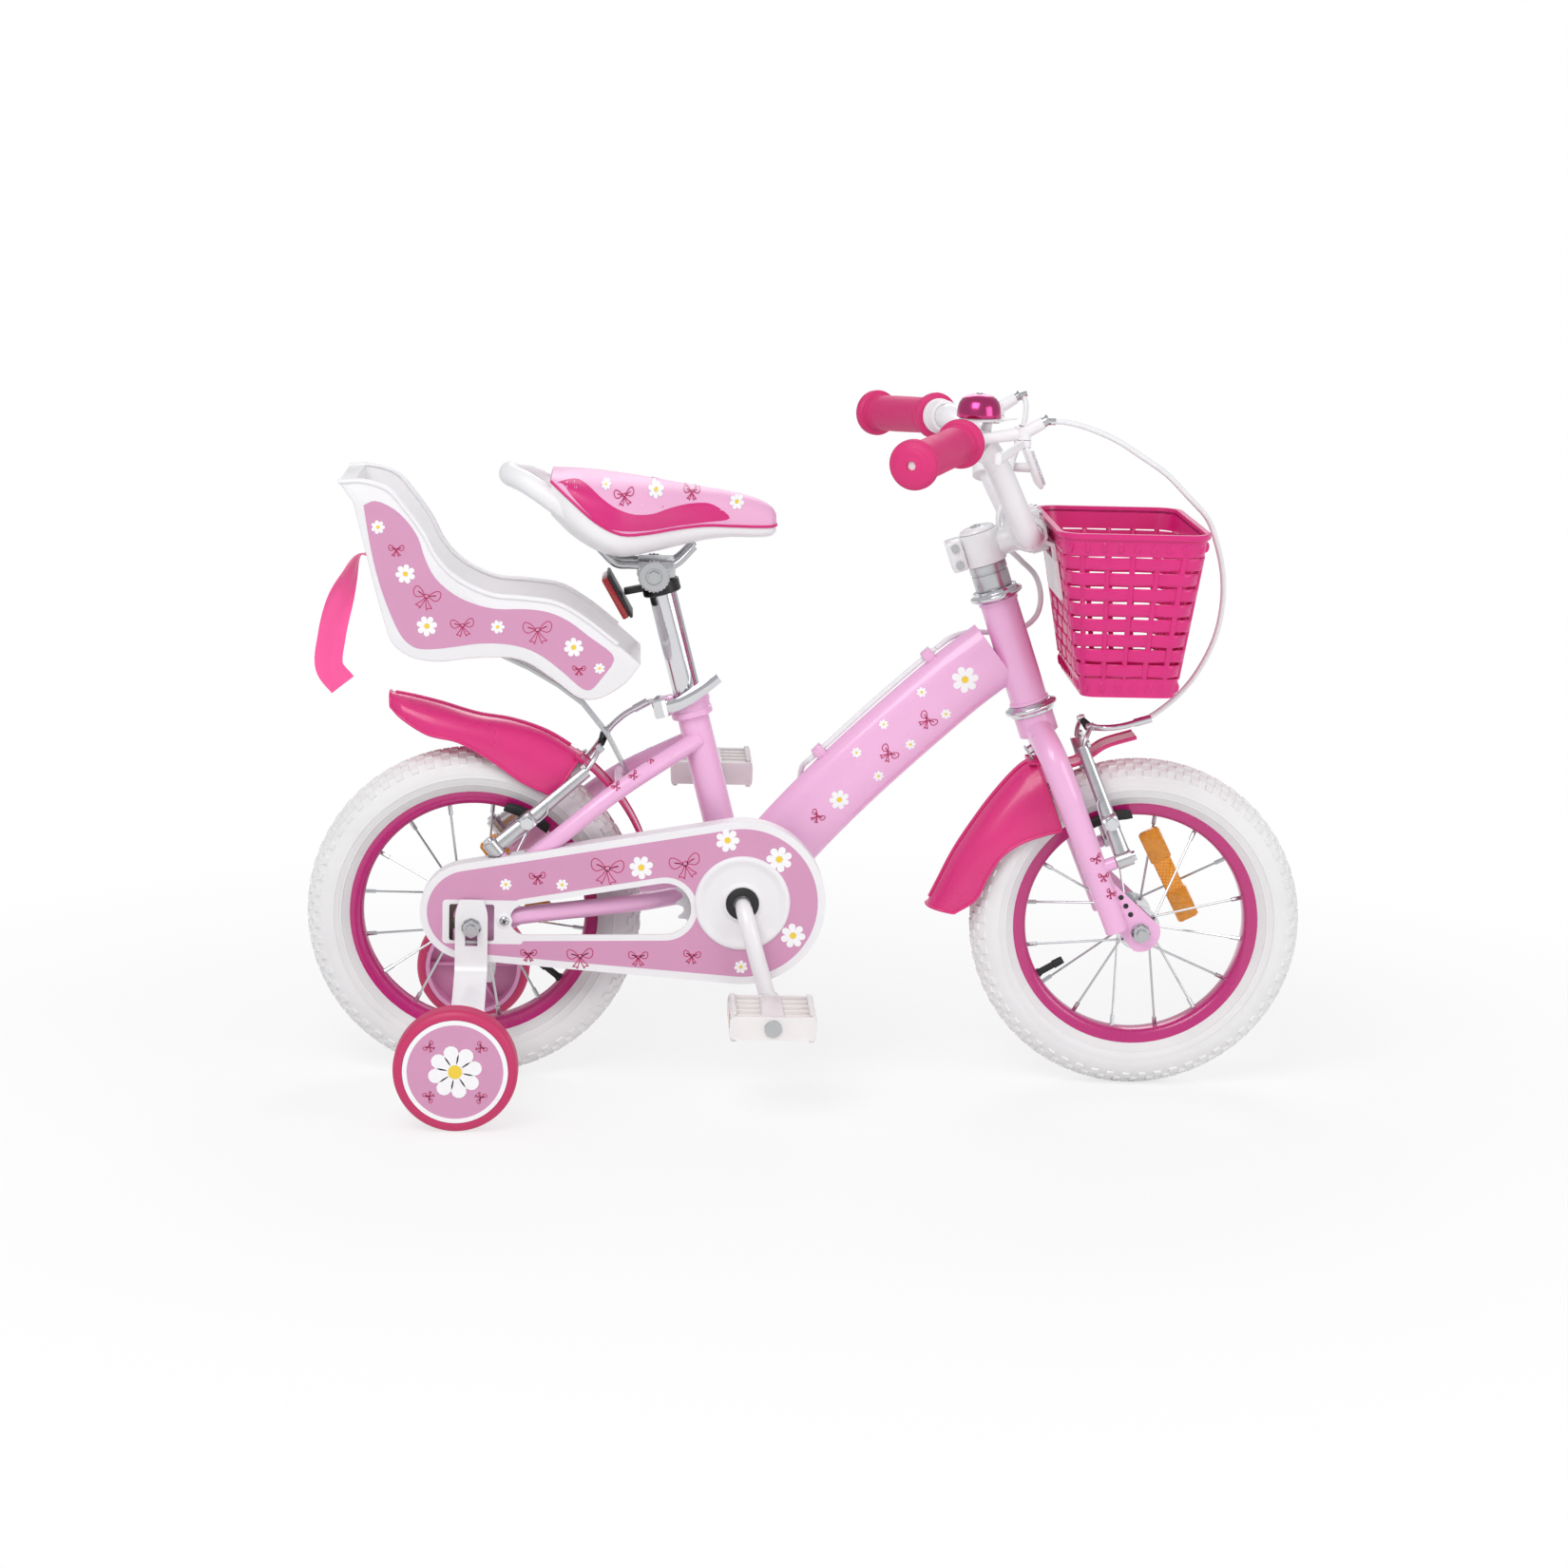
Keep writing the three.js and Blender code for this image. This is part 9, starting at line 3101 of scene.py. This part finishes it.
@dataclass
class CableGuide:
    """The bent steel guide that leads a cable into a brake, its rubber boot and the bare wire.

    The boot travels with the arm that holds the guide's tip, and the wire starts inside the boot.
    """

    label: str
    body: Body
    holder: Body
    route: tuple[tuple[float, float, float], ...]
    wire_end: tuple[float, float, float]

    def build(self) -> None:
        """Draws the guide, the boot and the wire."""
        path = flowing([mm(*p) for p in self.route], 8)
        guide = Form().tube(path, 2.8, 20)
        guide.rod(path[0] - (path[1] - path[0]).normalized() * 8 * MM, path[3], 3.7, 24)
        guide.piece(f"{self.label}_guide", CHROME, self.body, sharp=50)
        start, end = path[-1], mm(*self.wire_end)
        boot = Form()
        spots = [start.lerp(end, i / 16 * 0.62) for i in range(17)]
        boot.tube(
            spots, [3.6 + 0.5 * math.cos(i * math.pi) - 0.06 * i for i in range(17)], 20,
            side_axis=FORWARDS
        )
        boot.piece(f"{self.label}_boot", BLACK_RUBBER, self.holder, sharp=60)
        wire = Form().rod(start.lerp(end, 0.22), end, 0.8, 10)
        wire.pin(end, SIDEWAYS, -2, 4, 3.4, 6)
        wire.piece(f"{self.label}_wire", ZINC, self.body)


def build_cable_guides() -> None:
    """Makes the guides of both brakes."""
    front = ((297, -30, 342), (277, -29, 336), (262, -26, 334), (250, -14, 333))
    rear = ((-154, 26, 337.5), (-168, 27, 329), (-180, 27, 318), (-186, 26, 311))
    CableGuide("front_brake", Body.FRONT_END, Body.FRONT_ARM_RIGHT, front, (248, 25, 334)).build()
    CableGuide("rear_brake", Body.FRAME, Body.REAR_ARM_LEFT, rear, (-190, -24, 306)).build()


def build_fender_bracket() -> None:
    """Bends the strip that holds the front fender to the fork crown, and adds its bolt."""
    line = flowing(
        [
            mm(196, 0, 311), mm(203, 0, 300), mm(205, 0, 291), mm(200, 0, 284.6), mm(191, 0, 279),
            mm(180, 0, 270)
        ],
        6
    )
    rows = [[p + mm(0, y, 0) for y in (-8, 8)] for p in line]
    strip = Form().strip(rows)
    strip.thick(1.8)
    strip.piece("fender_bracket", ZINC, Body.FRONT_END, soften=0.3)
    out = (line[0] - line[2]).normalized().cross(SIDEWAYS)
    bolt = Form().rod(line[2] - out * 5 * MM, line[2] + out * 2.4 * MM, 4.2, 6)
    bolt.piece("fender_bracket_bolt", CHROME, Body.FRONT_END, soften=0.3)


def skin_of(name: str) -> BVHTree:
    """Returns a search tree of a finished piece, for printing on it."""
    form = Form()
    form.bm.from_mesh(bpy.data.objects[name].data)
    tree = form.tree()
    form.bm.free()
    return tree


TUBE_DAISIES = (
    (98.5, 361.4, 4.5, 0), (121, 342.1, 4.8, 19), (65.2, 331.4, 4.2, 38), (89.8, 313.7, 4.8, 57),
    (41.4, 305.3, 4.5, 76), (62, 284, 4.8, 95), (137, 374, 12, 114), (27, 262, 9, 133),
)


def build_tube_prints() -> None:
    """Prints daisies and bows on the down tube, the seat stays and the fork legs."""
    tubes, fork = skin_of("frame_tubes"), skin_of("fork_tubes")
    slant = math.degrees(math.atan2(361.4 - 284.0, 98.5 - 41.0))
    for side in Side:
        sign = side.value
        name = side.label
        right = FORWARDS * -sign
        inwards = SIDEWAYS * -sign
        lean = sign * slant * 0.7
        bows = ((105, 337, 9, lean), (71, 306, 9, lean), (8, 247, 7, lean))
        tube = Print().scatter(sign * 60, right, TUBE_DAISIES, bows)
        tube.lay(f"down_tube_{name}", Body.FRAME, tubes, inwards)
        lean = -sign * 38
        bows = ((-144.8, 299.5, 4.2, lean), (-159.4, 286.4, 4.2, lean), (-174.6, 277.3, 4.2, lean))
        stay = Print().scatter(sign * 80, right, (), bows, 0.8)
        stay.lay(f"seat_stay_{name}", Body.FRAME, tubes, inwards)
        bows = ((256.5, 221, 5.4, 30), (264, 204.5, 5.4, 0), (271.5, 189, 5.4, -30))
        leg = Print().scatter(sign * 80, right, (), bows)
        leg.lay(f"fork_leg_{name}", Body.FRONT_END, fork, inwards)


# Assembly

SKINS: tuple[tuple[str, Finish, Body, float], ...] = (
    ("doll_seat_bracket", ZINC, Body.FRAME, 0.4),
    ("rear_axle", ZINC, Body.FRAME, 0.4),
    ("bearing_cup_right", ZINC, Body.FRAME, 0.4),
    ("bearing_cup_left", ZINC, Body.FRAME, 0.4),
    ("basket_bracket", WHITE_PLASTIC, Body.FRONT_END, 0.4),
    ("front_axle", ZINC, Body.FRONT_END, 0.4),
    ("quick_release_lever", CHROME, Body.QUICK_RELEASE, 0.4),
)


def main() -> None:
    """Builds the bike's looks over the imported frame."""
    logging.basicConfig(level=logging.INFO)
    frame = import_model()
    studio = Studio()
    studio.camera()
    run_cables()
    SpokedWheel("front", Body.FRONT_WHEEL, FRONT_AXLE, 30, (233, 111), (30, 44, -63)).build()
    SpokedWheel("rear", Body.REAR_WHEEL, REAR_AXLE, 26, (-233, 97), (39, 30, -52)).build()
    PaintedFrame().build()
    PaintedFork().build()
    Cockpit().build()
    Drive().build()
    build_brakes()
    ChainGuard().build()
    DollSeat().build()
    ToddlerSaddle().build()
    build_fenders()
    WovenBasket().build()
    for side in Side:
        TrainingWheel(side).build()
        TrainerStay(side).build()
    build_headset()
    build_cable_guides()
    build_fender_bracket()
    build_tube_prints()
    for node, finish, body, soften in SKINS:
        carried(frame, node, finish, body, soften)
    studio.floor()
    studio.light()
    bpy.context.scene.view_settings.view_transform = "Standard"


if __name__ == "__main__":
    main()
